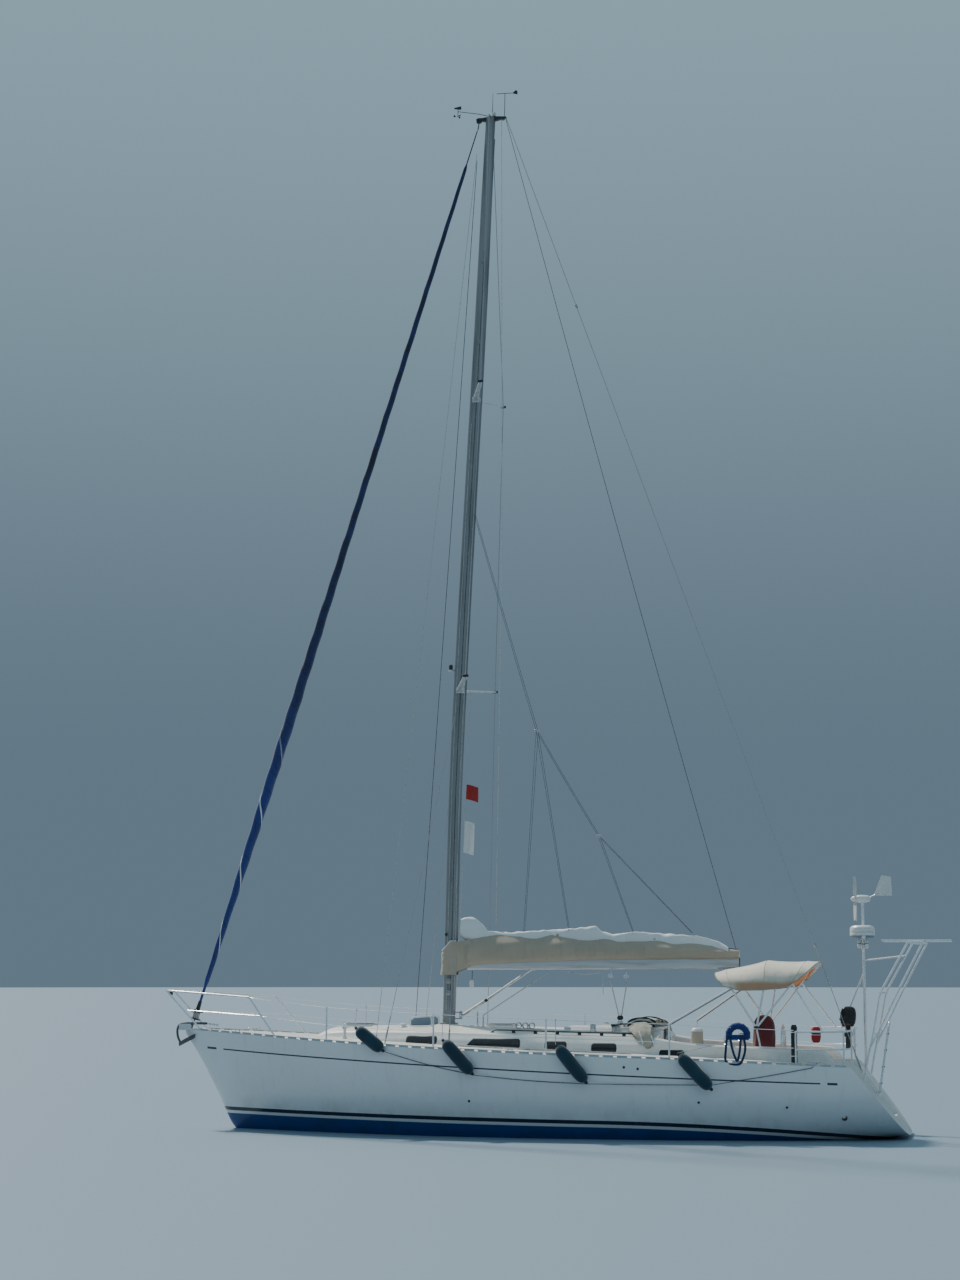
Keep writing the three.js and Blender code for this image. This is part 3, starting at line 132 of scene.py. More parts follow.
# Bag of the mainsail: place, hem height and half breadth, belly, top
BAG = [
    [1.255, 2.815, 0.084, 0.160, 3.330],
    [0.90, 2.845, 0.084, 0.170, 3.385],
    [0.00, 2.885, 0.084, 0.160, 3.360],
    [-1.30, 2.915, 0.084, 0.150, 3.290],
    [-2.50, 2.930, 0.082, 0.135, 3.230],
    [-3.33, 2.925, 0.078, 0.070, 3.080],
]
BOOM_END = (-3.40, 2.852)
GOOSENECK = (1.43, 2.84)
# Sprayhood folded down: half breadth, height, place, and its roll's half length and half height
HOOD = [
    [1.300, 1.500, -2.010, 0.060, 0.040],
    [1.235, 1.640, -1.960, 0.130, 0.060],
    [1.020, 1.765, -1.870, 0.200, 0.080],
    [0.620, 1.840, -1.800, 0.220, 0.072],
    [0.000, 1.862, -1.780, 0.225, 0.062],
]
# Bimini: place and height of its crown, place and height of its hem, half breadth
BIMINI = [
    [-3.05, 2.700, -3.22, 2.475, 0.990],
    [-3.40, 2.800, -3.50, 2.405, 1.070],
    [-3.90, 2.898, -3.90, 2.412, 1.100],
    [-4.40, 2.893, -4.27, 2.462, 1.085],
    [-4.76, 2.878, -4.46, 2.575, 1.020],
]
FENDERS = [
    [2.87, 1.79, 2.36, 1.39],
    [1.31, 1.61, 0.78, 1.03],
    [-0.61, 1.54, -1.13, 0.91],
    [-2.59, 1.41, -3.15, 0.82],
]
FENDER_RADIUS = 0.112
WHEEL = {"x": -4.12, "z": 1.40, "radius": 0.42}
PEDESTAL_X = -3.81
LADDER = {"x": -5.735, "y": 0.69, "z": 0.76, "half": 0.15, "lean": math.radians(9)}
TURBINE = {"x": -5.42, "y": -1.25, "z": 3.96, "radius": 0.43, "face": -5.33}
RUDDER_STOCK_X = -4.95
PROPELLER = {"x": -2.56, "z": -0.86, "radius": 0.23}
# Paint: the boot top's upper edge at x = 0, its slope, where and how much it curves down aft, and its depth
BOOT_TOP = {"height": 0.322, "slope": 0.0098, "curves_at": -1.2, "curve": 0.0102, "depth": 0.062}
PINSTRIPE_DEPTH = 0.112
COVE = {"height": 1.103, "slope": 0.0418, "curve": 0.0012, "half": 0.012, "aft": -4.84, "fore": 5.57}
# Finish of each frame part that keeps its own shape
LEFT_FINISH = {"stem_fitting": "stainless", "drive_leg": "antifouling"}
CAMERA = {"place": (-7.642, 41.082, 2.70), "azimuth": 12.0, "pitch": 7.87, "lens": 67.6}
SIDES = (("port", 1), ("starboard", -1))
FINISHES = {}


# Shapes

def unit(vectors):
    vectors = np.asarray(vectors, float)
    return vectors / np.maximum(np.linalg.norm(vectors, axis=-1, keepdims=True), 1e-12)


def circle(count):
    """Angles spaced evenly round a full turn."""
    return np.linspace(0, 2 * np.pi, count, endpoint=False)


def xyz(x, y, z):
    """Points from three arrays of coordinates, each spread over the shape they share."""
    return np.stack(np.broadcast_arrays(x, y, z), -1)


def along(table, u):
    """Each column of a table at row number u: a cubic through four neighbouring rows, whose slope at a row
    is half the step between the rows before and after it."""
    table = np.asarray(table, float)
    u = np.clip(np.asarray(u, float), 0, len(table) - 1)
    i = np.minimum(u.astype(int), len(table) - 2)
    t = (u - i)[..., None]
    a, b, c = table[np.maximum(i - 1, 0)], table[i], table[i + 1]
    d = table[np.minimum(i + 2, len(table) - 1)]
    return b + 0.5 * ((c - a) * t + (2 * a - 5 * b + 4 * c - d) * t**2 + (3 * b - a - 3 * c + d) * t**3)


def row_of(table, value, column=0):
    """Row number at which a column that falls or rises steadily has a value."""
    u = np.linspace(0, len(table) - 1, 600)
    known = along(table, u)[:, column]
    order = np.argsort(known)
    return np.interp(value, known[order], u[order])


def at(table, value, column=0):
    return along(table, row_of(table, value, column))


class Surface:
    """Points, four-sided and three-sided faces, and the number of the material they wear."""

    def __init__(self, points, quads, tris, material=0):
        self.points = points.reshape(-1, 3)
        self.quads = quads.reshape(-1, 4)
        self.tris = tris.reshape(-1, 3)
        self.material = material

    def volume(self):
        p = self.points
        fan = np.vstack([self.quads[:, [0, 1, 2]], self.quads[:, [0, 2, 3]], self.tris])
        return np.einsum("ij,ij->i", p[fan[:, 0]], np.cross(p[fan[:, 1]], p[fan[:, 2]])).sum() / 6

    def outwards(self):
        if self.volume() < 0:
            self.quads = self.quads[:, ::-1]
            self.tris = self.tris[:, ::-1]
        return self

    def wearing(self, material):
        self.material = material
        return self


def grid(points, ring=False, loop=False, caps=False, material=0):
    """Faces over points[row, column]: ring joins the last column to the first, loop the last row to the
    first, and caps closes both end rows with fans about their means."""
    rows, columns = points.shape[:2]
    number = np.arange(rows * columns).reshape(rows, columns)
    if loop:
        number = np.vstack([number, number[:1]])
    if ring:
        number = np.hstack([number, number[:, :1]])
    quads = np.stack([number[:-1, :-1], number[:-1, 1:], number[1:, 1:], number[1:, :-1]], -1).reshape(-1, 4)
    flat = points.reshape(-1, 3)
    tris = np.zeros((0, 3), int)
    if caps:
        flat = np.vstack([flat, points[0].mean(0), points[-1].mean(0)])
        first, last = number[0], number[-1]
        low, high = np.full(len(first) - 1, rows * columns), np.full(len(last) - 1, rows * columns + 1)
        tris = np.vstack([
            np.stack([first[1:], first[:-1], low], -1),
            np.stack([last[:-1], last[1:], high], -1),
        ])
    surface = Surface(flat, quads, tris, material)
    return surface.outwards() if ring and (caps or loop) else surface


def tube(path, radius, sides=8, loop=False, flat=1.0, material=0):
    """A round section carried along a path: point = path + radius * (cos a * side + sin a * up), where side
    is square to the path and to the direction that the path runs along least."""
    path = np.asarray(path, float)
    step = np.roll(path, -1, 0) - np.roll(path, 1, 0) if loop else np.gradient(path, axis=0)
    tangent = unit(step)
    spare = np.linalg.eigh(tangent.T @ tangent)[1][:, 0]
    side = unit(np.cross(tangent, spare))
    up = np.cross(side, tangent)
    angle = circle(sides)
    radius = np.broadcast_to(radius, len(path))[:, None, None]
    ring = np.cos(angle)[:, None] * side[:, None] + flat * np.sin(angle)[:, None] * up[:, None]
    return grid(path[:, None] + radius * ring, ring=True, loop=loop, caps=not loop, material=material)


def turned_corners(points, radius, steps=5):
    """A path of straight runs, each corner replaced by a quadratic curve that starts radius before it."""
    points = np.asarray(points, float)
    t = np.linspace(0, 1, steps)[:, None]
    path = [points[:1]]
    for a, b, c in zip(points[:-2], points[1:-1], points[2:]):
        start = b + unit(a - b) * min(radius, 0.48 * np.linalg.norm(a - b))
        end = b + unit(c - b) * min(radius, 0.48 * np.linalg.norm(c - b))
        path.append((1 - t) ** 2 * start + 2 * t * (1 - t) * b + t**2 * end)
    path.append(points[-1:])
    return np.vstack(path)


def bent(points, radius, bend=0.09, sides=10, material=0):
    return tube(turned_corners(points, bend), radius, sides, material=material)


def flowing(points, count=24):
    """A smooth path through points, by the same cubic as a table's rows."""
    return along(points, np.linspace(0, len(points) - 1, count))


def hanging(start, end, sag=0.0, count=16):
    """A line between two points that drops by sag at its middle: straight, less 4 * sag * t * (1 - t)."""
    t = np.linspace(0, 1, count)[:, None]
    path = (1 - t) * np.asarray(start, float) + t * np.asarray(end, float)
    path[:, 2] -= 4 * sag * (t * (1 - t))[:, 0]
    return path


def lathe(profile, origin=(0, 0, 0), axis=(0, 0, 1), sides=24, material=0):
    """A profile of [distance, radius] pairs turned about an axis."""
    profile = np.asarray(profile, float)
    axis = unit(axis)
    spare = np.eye(3)[np.argmin(np.abs(axis))]
    side = unit(np.cross(axis, spare))
    up = np.cross(axis, side)
    angle = circle(sides)[None, :, None]
    out = np.maximum(profile[:, 1], 1e-4)[:, None, None] * (np.cos(angle) * side + np.sin(angle) * up)
    return grid(np.asarray(origin, float) + profile[:, :1, None] * axis + out, ring=True, caps=True,
                material=material)


def corner_outline(half_x, half_y, radius, steps=4):
    """Outline of a rectangle with rounded corners: each corner's centre plus radius * (cos a, sin a)."""
    quarter = np.linspace(0, np.pi / 2, steps + 1)
    angle = (np.arange(4)[:, None] * np.pi / 2 + quarter).ravel()
    sign_x, sign_y = np.repeat([1, -1, -1, 1], steps + 1), np.repeat([1, 1, -1, -1], steps + 1)
    return np.stack([
        sign_x * (half_x - radius) + radius * np.cos(angle),
        sign_y * (half_y - radius) + radius * np.sin(angle),
    ], -1)


def block(low, high, radius=0.01, steps=3, material=0):
    """A box with rounded edges: its outline drawn in near both ends by radius * (1 - sin a) while it climbs
    by radius * (1 - cos a)."""
    low, high = np.asarray(low, float), np.asarray(high, float)
    centre, half = (low + high) / 2, (high - low) / 2
    radius = min(radius, 0.98 * half.min())
    quarter = np.linspace(0.2, np.pi / 2, steps + 1)
    drawn = radius * (1 - np.sin(quarter))
    rise = radius * (1 - np.cos(quarter))
    drawn = np.concatenate([drawn, drawn[::-1]])
    height = np.concatenate([rise - half[2], half[2] - rise[::-1]])
    ring = corner_outline(half[0], half[1], radius, steps)
    middle = np.stack([np.sign(ring[:, 0]) * (half[0] - radius), np.sign(ring[:, 1]) * (half[1] - radius)],
                      -1)
    share = (1 - drawn / radius)[:, None, None]
    flat = middle + (ring - middle) * share
    points = np.dstack([flat, np.broadcast_to(height[:, None, None], flat.shape[:2] + (1,))])
    return grid(points + centre, ring=True, caps=True, material=material)


def plate(outline, thick, origin, material=0):
    """A flat plate that stands fore and aft: an outline in x and z, carried along -y."""
    outline = np.asarray(outline, float)
    near = np.asarray(origin, float) + xyz(outline[:, 0], 0, outline[:, 1])
    return grid(np.array([near, near - [0, thick, 0]]), ring=True, caps=True, material=material)


def loft(rings, material=0):
    """A closed skin through rings of equally many points."""
    return grid(np.asarray(rings, float), ring=True, caps=True, material=material)


def swirl(centre, radius, tube_radius, axis, sides=20, material=0):
    """A ring of round section."""
    axis = unit(axis)
    side = unit(np.cross(axis, np.eye(3)[np.argmin(np.abs(axis))]))
    angle = circle(sides)[:, None]
    path = np.asarray(centre, float) + radius * (np.cos(angle) * side + np.sin(angle) * np.cross(axis, side))
    return tube(path, tube_radius, 6, loop=True, material=material)


def wavy(points, scale, height, seed=0):
    """A number from -height to height for each point: three crossed sine waves of unlike lengths."""
    rng = np.random.default_rng(seed)
    total = np.zeros(points.shape[:-1])
    for k in range(4):
        direction = unit(rng.normal(size=3))
        total += np.sin(points @ direction * scale * (1 + 0.7 * k) + rng.uniform(0, 6.28)) / (1 + k)
    return height * total / 2.1


def clamped(surface, low, high):
    """A surface kept within a box."""
    surface.points = np.clip(surface.points, np.array(low), np.array(high))
    return surface


def piece(name, surfaces, finishes, body="hull", replaces=(), sharp=35.0):
    """One object made of surfaces, riding on a body of the frame. Edges sharper than the angle stay sharp,
    and it stands in for the frame's nodes that it replaces."""
    surfaces = list(surfaces)
    counts = np.cumsum([0] + [len(s.points) for s in surfaces])
    quads = np.vstack([s.quads + c for s, c in zip(surfaces, counts)])
    tris = np.vstack([s.tris + c for s, c in zip(surfaces, counts)])
    wears = np.concatenate([np.full(len(s.quads), s.material) for s in surfaces]
                           + [np.full(len(s.tris), s.material) for s in surfaces])
    mesh = bpy.data.meshes.new(name)
    points = np.vstack([s.points for s in surfaces]).astype(np.float32)
    mesh.vertices.add(len(points))
    mesh.vertices.foreach_set("co", points.ravel())
    loops = np.concatenate([quads.ravel(), tris.ravel()]).astype(np.int32)
    mesh.loops.add(len(loops))
    mesh.loops.foreach_set("vertex_index", loops)
    starts = np.concatenate([np.arange(len(quads)) * 4, len(quads) * 4 + np.arange(len(tris)) * 3])
    mesh.polygons.add(len(starts))
    mesh.polygons.foreach_set("loop_start", starts.astype(np.int32))
    mesh.update(calc_edges=True)
    mesh.validate()
    if len(mesh.polygons) == len(wears):
        mesh.polygons.foreach_set("material_index", wears.astype(np.int32))
    finishes = finishes if isinstance(finishes, (list, tuple)) else [finishes]
    for finish in finishes:
        mesh.materials.append(FINISHES[finish])
    mesh.shade_smooth()
    mesh.set_sharp_from_angle(angle=math.radians(sharp))
    obj = bpy.data.objects.new(name, mesh)
    bpy.context.scene.collection.objects.link(obj)
    if body:
        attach(obj, body)
    if replaces:
        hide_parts(*replaces)
    return obj


# Finishes

class Value:
    """A socket of a shader tree, on which sums are written as Python expressions."""

    def __init__(self, tree, socket):
        self.tree = tree
        self.socket = socket

    def sum_with(self, operation, first, second):
        return self.tree.node("ShaderNodeMath", {"operation": operation}, {0: first, 1: second})

    def __add__(self, other):
        return self.sum_with("ADD", self, other)

    __radd__ = __add__

    def __sub__(self, other):
        return self.sum_with("SUBTRACT", self, other)

    def __rsub__(self, other):
        return self.sum_with("SUBTRACT", other, self)

    def __mul__(self, other):
        return self.sum_with("MULTIPLY", self, other)

    __rmul__ = __mul__

    def __truediv__(self, other):
        return self.sum_with("DIVIDE", self, other)

    def __gt__(self, other):
        return self.sum_with("GREATER_THAN", self, other)

    def __lt__(self, other):
        return self.sum_with("LESS_THAN", self, other)

    def __mod__(self, other):
        return self.sum_with("FLOORED_MODULO", self, other)

    def __abs__(self):
        return self.sum_with("ABSOLUTE", self, 0)

    def largest(self, other):
        return self.sum_with("MAXIMUM", self, other)

    def smallest(self, other):
        return self.sum_with("MINIMUM", self, other)


class Finish:
    """A material, whose shader is built by node(): settings are set first, then values or links."""

    def __init__(self, name, colour, roughness=0.5, metallic=0.0, **constants):
        self.material = bpy.data.materials.new(name)
        FINISHES[name] = self.material
        self.material.use_nodes = True
        self.nodes = self.material.node_tree.nodes
        self.links = self.material.node_tree.links
        self.shader = self.nodes["Principled BSDF"]
        self.colour = (*colour, 1.0)
        self.set("Base Color", self.colour)
        self.set("Roughness", roughness)
        self.set("Metallic", metallic)
        for socket, value in constants.items():
            self.set(socket.replace("_", " ").title(), value)
        self.material.diffuse_color = self.colour

    def set(self, socket, value):
        if isinstance(value, Value):
            self.links.new(value.socket, self.shader.inputs[socket])
        else:
            self.shader.inputs[socket].default_value = value

    def node(self, kind, settings=None, inputs=None, output=0):
        node = self.nodes.new(kind)
        for key, value in (settings or {}).items():
            setattr(node, key, value)
        for key, value in (inputs or {}).items():
            if isinstance(value, Value):
                self.links.new(value.socket, node.inputs[key])
            else:
                node.inputs[key].default_value = value
        return Value(self, node.outputs[output])

    def place(self):
        return self.node("ShaderNodeTexCoord", output="Object")

    def axes(self):
        split = self.node("ShaderNodeSeparateXYZ", inputs={0: self.place()})
        return [Value(self, split.socket.node.outputs[k]) for k in range(3)]

    def stretched(self, scale):
        return self.node("ShaderNodeMapping", inputs={"Vector": self.place(), "Scale": scale})

    def noise(self, scale, detail=4.0, rough=0.55, vector=None):
        inputs = {"Vector": vector or self.place(), "Scale": scale, "Detail": detail, "Roughness": rough}
        return self.node("ShaderNodeTexNoise", inputs=inputs)

    def cells(self, scale):
        return self.node("ShaderNodeTexVoronoi", inputs={"Vector": self.place(), "Scale": scale})

    def ramp(self, value, low, high, start=0.0, end=1.0):
        inputs = {"Value": value, "From Min": low, "From Max": high, "To Min": start, "To Max": end}
        return self.node("ShaderNodeMapRange", {"interpolation_type": "SMOOTHSTEP"}, inputs)

    def mixed(self, mask, first, second):
        inputs = {0: mask}
        inputs[6] = first if isinstance(first, Value) else (*first, 1.0)
        inputs[7] = second if isinstance(second, Value) else (*second, 1.0)
        return self.node("ShaderNodeMix", {"data_type": "RGBA"}, inputs, output=2)

    def bumped(self, height, distance=0.001, strength=1.0):
        inputs = {"Height": height, "Distance": distance, "Strength": strength}
        self.set("Normal", self.node("ShaderNodeBump", inputs=inputs))


def shade(colour, factor):
    return tuple(min(1.0, c * factor) for c in colour)


def soiled(finish, colour, amount=0.12, scale=1.2):
    """A colour that darkens softly in patches and in fine specks."""
    patches = finish.ramp(finish.noise(scale, 5.0), 0.35, 0.75)
    specks = finish.ramp(finish.noise(scale * 22, 3.0), 0.5, 0.8)
    worn = finish.mixed(patches * 0.8, colour, shade(colour, 1 - amount))
    return finish.mixed(specks * 0.35, worn, shade(colour, 1 - 1.6 * amount))


def hull_gelcoat(name, sizes):
    """Painted hull. Downwards from the topsides: a dark boot top, a pale pinstripe and the bottom paint,
    whose edges follow one line that curves down aft. A dark cove line, with a dash before and abaft it,
    runs above."""
    finish = Finish(name, sizes.hull_colour, 0.22, coat_weight=0.4, coat_roughness=0.08)
    x, _, z = finish.axes()
    paint = soiled(finish, sizes.hull_colour, 0.05, 0.5)
    aft = (BOOT_TOP["curves_at"] - x).largest(0.0)
    top = z - (BOOT_TOP["height"] + x * BOOT_TOP["slope"] - aft * aft * BOOT_TOP["curve"])
    boot = (top < 0.0) * (top > -BOOT_TOP["depth"])
    pinstripe = (top < -BOOT_TOP["depth"]) * (top > -PINSTRIPE_DEPTH)
    below = top < -PINSTRIPE_DEPTH
    cove = abs(z - (COVE["height"] + x * COVE["slope"] + x * x * COVE["curve"]))
    line = (cove < COVE["half"]) * (x > COVE["aft"]) * (x < COVE["fore"])
    ends = (x > COVE["fore"] + 0.155) * (x < COVE["fore"] + 0.36) + (x < COVE["aft"]
                                                                     - 0.11) * (x > COVE["aft"] - 0.27)
    dashes = (cove < 0.019) * ends
    rain = finish.ramp(finish.noise(1.0, 3.0, vector=finish.stretched((9.0, 9.0, 0.7))), 0.52, 0.75)
    paint = finish.mixed(rain * 0.16, paint, (0.50, 0.47, 0.40))
    wash = finish.ramp(top, 0.28, 0.0) * finish.ramp(finish.noise(3.0, 5.0), 0.35, 0.7)
    paint = finish.mixed(wash * 0.30, paint, (0.48, 0.45, 0.33))
    slime = finish.ramp(finish.noise(4.0, 6.0), 0.4, 0.7)
    bottom = finish.mixed(slime * 0.6, (0.004, 0.052, 0.22), (0.012, 0.045, 0.13))
    paint = finish.mixed(below, paint, bottom)
    paint = finish.mixed(pinstripe, paint, (0.72, 0.72, 0.70))
    paint = finish.mixed((boot + line + dashes).smallest(1.0), paint, (0.007, 0.016, 0.040))
    finish.set("Base Color", paint)
    finish.set("Roughness", finish.ramp(finish.noise(2.2, 4.0), 0.3, 0.8, 0.16, 0.30) + below * 0.45)
    finish.bumped(finish.noise(60.0, 2.0) * below + finish.noise(1.1, 1.0) * 0.5, 0.002, 0.25)


def deck_gelcoat(name, sizes):
    """Moulded deck: a grit of fine cells that keeps feet from slipping."""
    finish = Finish(name, sizes.deck_colour, 0.45)
    finish.set("Base Color", soiled(finish, sizes.deck_colour, 0.12, 1.6))
    finish.set("Roughness", finish.ramp(finish.noise(5.0), 0.3, 0.8, 0.35, 0.6))
    finish.bumped(finish.cells(170.0), 0.0012, 0.6)


def metal(name, colour, roughness, scratches=30.0, dull=0.14, metallic=1.0):
    """Metal whose worn patches are darker and duller."""
    finish = Finish(name, colour, roughness, metallic)
    worn = finish.noise(scratches, 6.0)
    finish.set("Base Color", finish.mixed(finish.ramp(worn, 0.35, 0.75), colour, shade(colour, 0.78)))
    finish.set("Roughness", finish.ramp(worn, 0.2, 0.85, roughness, roughness + dull))
    finish.bumped(finish.noise(scratches * 9, 3.0), 0.0003, 0.3)


def anodised(name, sizes, along_grain=(14.0, 14.0, 0.9), darker=1.0):
    """Anodised alloy with stains drawn out along the grain. A factor below one, darker, scales the whole
    colour down as painted shade.
    """
    colour = shade(sizes.alloy_colour, darker)
    finish = Finish(name, colour, 0.36, 0.45)
    streak = finish.noise(1.0, 5.0, vector=finish.stretched(along_grain))
    stain = finish.ramp(streak, 0.42, 0.72)
    finish.set("Base Color", finish.mixed(stain, colour, shade(colour, 0.66)))
    finish.set("Roughness", finish.ramp(streak, 0.3, 0.7, 0.28, 0.5))
    finish.bumped(finish.noise(240.0, 2.0), 0.0002, 0.4)


def galvanised(name):
    """Dull zinc: a spangle of cells with rust in patches."""
    finish = Finish(name, (0.13, 0.135, 0.14), 0.6, 0.5)
    spangle = finish.cells(60.0)
    rust = finish.ramp(finish.noise(14.0, 6.0), 0.6, 0.72)
    finish.set("Base Color", finish.mixed(rust,
                                          finish.mixed(spangle, (0.16, 0.165, 0.17), (0.08, 0.085, 0.09)),
                                          (0.11, 0.05, 0.025)))
    finish.bumped(spangle, 0.0006, 0.5)


def cloth(name, colour, worn=0.14, weave=420.0, sheen=0.35, roughness=0.88, rain=0.18):
    """Woven acrylic cloth: fine crossed threads, soft folds, bleached patches and rain streaks."""
    finish = Finish(name, colour, roughness, sheen_weight=sheen, sheen_roughness=0.45)
    x, y, z = finish.axes()
    cloth_tone = finish.mixed(finish.ramp(finish.noise(2.4, 5.0), 0.35, 0.7), colour, shade(colour, 1 + worn))
    streaks = finish.noise(1.0, 4.0, vector=finish.stretched((16.0, 16.0, 1.6)))
    cloth_tone = finish.mixed(finish.ramp(streaks, 0.5, 0.72) * rain, cloth_tone, shade(colour, 0.55))
    threads = finish.node("ShaderNodeMath", {"operation": "SINE"}, {0: x * weave + y * weave})
    crossing = finish.node("ShaderNodeMath", {"operation": "SINE"}, {0: z * weave + y * weave})
    finish.set("Base Color", finish.mixed(abs(threads * crossing) * 0.12, cloth_tone, shade(colour, 0.7)))
    finish.set("Roughness", finish.ramp(finish.noise(3.0), 0.3, 0.8, roughness - 0.06,
                                        min(1.0, roughness + 0.06)))
    finish.bumped(threads * crossing * 0.15 + finish.noise(26.0, 4.0), 0.0025, 0.45)
    return finish


def headsail_cloth(name, sizes):
    """Cloth rolled round the forestay. The seam climbs as a helix: the angle about the stay, less the height
    along it over the pitch, shows where the pale edge of the sail comes to the outside."""
    colour = sizes.strip_colour
    finish = Finish(name, colour, 0.8, sheen_weight=0.3, sheen_roughness=0.5)
    axis = unit(STAY_HEAD - STAY_FOOT)
    side = unit(np.cross(axis, (0.0, 1.0, 0.0)))
    centred = finish.node("ShaderNodeVectorMath", {"operation": "SUBTRACT"},
                          {0: finish.place(), 1: tuple(STAY_FOOT)})

    def towards(direction):
        settings = {"operation": "DOT_PRODUCT"}
        return finish.node("ShaderNodeVectorMath", settings, {0: centred, 1: tuple(direction)},
                           output="Value")

    height, across, over = towards(axis), towards(side), towards(np.cross(axis, side))
    angle = finish.node("ShaderNodeMath", {"operation": "ARCTAN2"}, {0: across, 1: over}) / (2 * math.pi)
    wobble = (finish.noise(0.7, 2.0) - 0.5) * 0.16
    turn = (angle + height / -1.2 + wobble + 20.0) % 1.0
    flash = (turn < 0.05) * finish.ramp(height, 1.0, 1.6) * finish.ramp(height, 6.4, 3.6)
    edge = abs(turn - 0.30) < 0.016
    fine = (angle * -1.0 + height / 0.31 + 20.0) % 1.0
    crease = finish.ramp(fine, 0.0, 0.16)
    # Darker and greyer towards the masthead.
    cloth_tone = finish.mixed(finish.ramp(height, 3.5, 8.0), colour, sizes.strip_aloft)
    blotches = finish.ramp(finish.noise(3.0, 5.0), 0.35, 0.7)
    cloth_tone = finish.mixed(blotches * 0.35, cloth_tone, shade(colour, 1.6))
    # Painted shade: the colour darkens in the fine groove between the wraps of the roll.
    cloth_tone = finish.mixed((1.0 - crease) * 0.55, cloth_tone, shade(colour, 0.35))
    cloth_tone = finish.mixed(edge * 0.6, cloth_tone, shade(colour, 0.35))
    finish.set("Base Color", finish.mixed(flash, cloth_tone, (0.70, 0.71, 0.72)))
    finish.bumped(crease + finish.noise(20.0, 4.0) * 0.5, 0.006, 0.55)


def plastic(name, colour, roughness=0.45, grain=260.0, fade=0.12):
    """Moulded plastic or paint with a fine grain."""
    finish = Finish(name, colour, roughness)
    finish.set("Base Color", soiled(finish, colour, fade, 4.0))
    finish.set("Roughness", finish.ramp(finish.noise(9.0), 0.3, 0.8, roughness - 0.08, roughness + 0.12))
    finish.bumped(finish.cells(grain), 0.0004, 0.4)


def smoked(name):
    """Dark acrylic panes under a little dust."""
    finish = Finish(name, (0.012, 0.013, 0.016), 0.08, coat_weight=0.5)
    dust = finish.ramp(finish.noise(6.0, 6.0), 0.45, 0.8)
    finish.set("Base Color", finish.mixed(dust * 0.25, (0.010, 0.011, 0.014), (0.10, 0.10, 0.10)))
    finish.set("Roughness", finish.ramp(finish.noise(5.0, 5.0), 0.3, 0.8, 0.05, 0.16))


def solar(name):
    """Dark cells with thin bright conductors between them, 156 mm apart."""
    finish = Finish(name, (0.012, 0.016, 0.035), 0.12, coat_weight=0.6)
    x, y, _ = finish.axes()
    pitch, far = 0.156, 20.0
    seam = ((((x + far) % pitch) < 0.004) + (((y + far) % pitch) < 0.004)).smallest(1.0)
    wires = ((y + far) % (pitch / 3)) < 0.0015
    cell = finish.mixed(finish.noise(3.0), (0.010, 0.014, 0.034), (0.016, 0.022, 0.050))
    finish.set("Base Color", finish.mixed((seam * 0.8 + wires * 0.4).smallest(1.0), cell,
                                          (0.55, 0.56, 0.58)))


def rope(name, colour, fleck, roughness=0.85):
    """Braided rope: strands as slanted cells, with flecks of a second colour."""
    finish = Finish(name, colour, roughness, sheen_weight=0.3)
    strands = finish.cells(150.0)
    tracer = finish.ramp(finish.noise(60.0, 1.0), 0.58, 0.62)
    finish.set("Base Color", finish.mixed(tracer * 0.7,
                                          finish.mixed(strands, shade(colour, 1.1), shade(colour, 0.6)),
                                          fleck))
    finish.bumped(strands, 0.002, 0.8)


def canopy(name, sizes):
    """Canopy cloth: pale where the sun has bleached its top, with a painted warm brown glow along the
    hem, where light comes through."""
    finish = cloth(name, sizes.canopy_colour, 0.16, rain=0.3)
    x, _, z = finish.axes()
    # Painted glow: the hem is tinted warm brown where light shines through the cloth.
    hem = finish.ramp(z + (finish.noise(4.0, 3.0) - 0.5) * 0.06, 2.60, 2.50) * finish.ramp(x, -3.30, -3.55)
    pale = finish.shader.inputs["Base Color"].links[0].from_socket
    finish.set("Base Color", finish.mixed(hem * 0.85, Value(finish, pale), (0.46, 0.22, 0.10)))


def underside_glow(name):
    """Underside of the canopy: a painted glow of the sun through the weave, an orange colour with a faint
    emission, though the cloth is no lamp.
    """
    finish = cloth(name, (0.62, 0.33, 0.17), 0.2, rain=0.3)
    # Painted glow: a faint orange emission stands in for sunlight shining through.
    finish.set("Emission Color", (0.80, 0.36, 0.16, 1.0))
    finish.set("Emission Strength", 0.16)


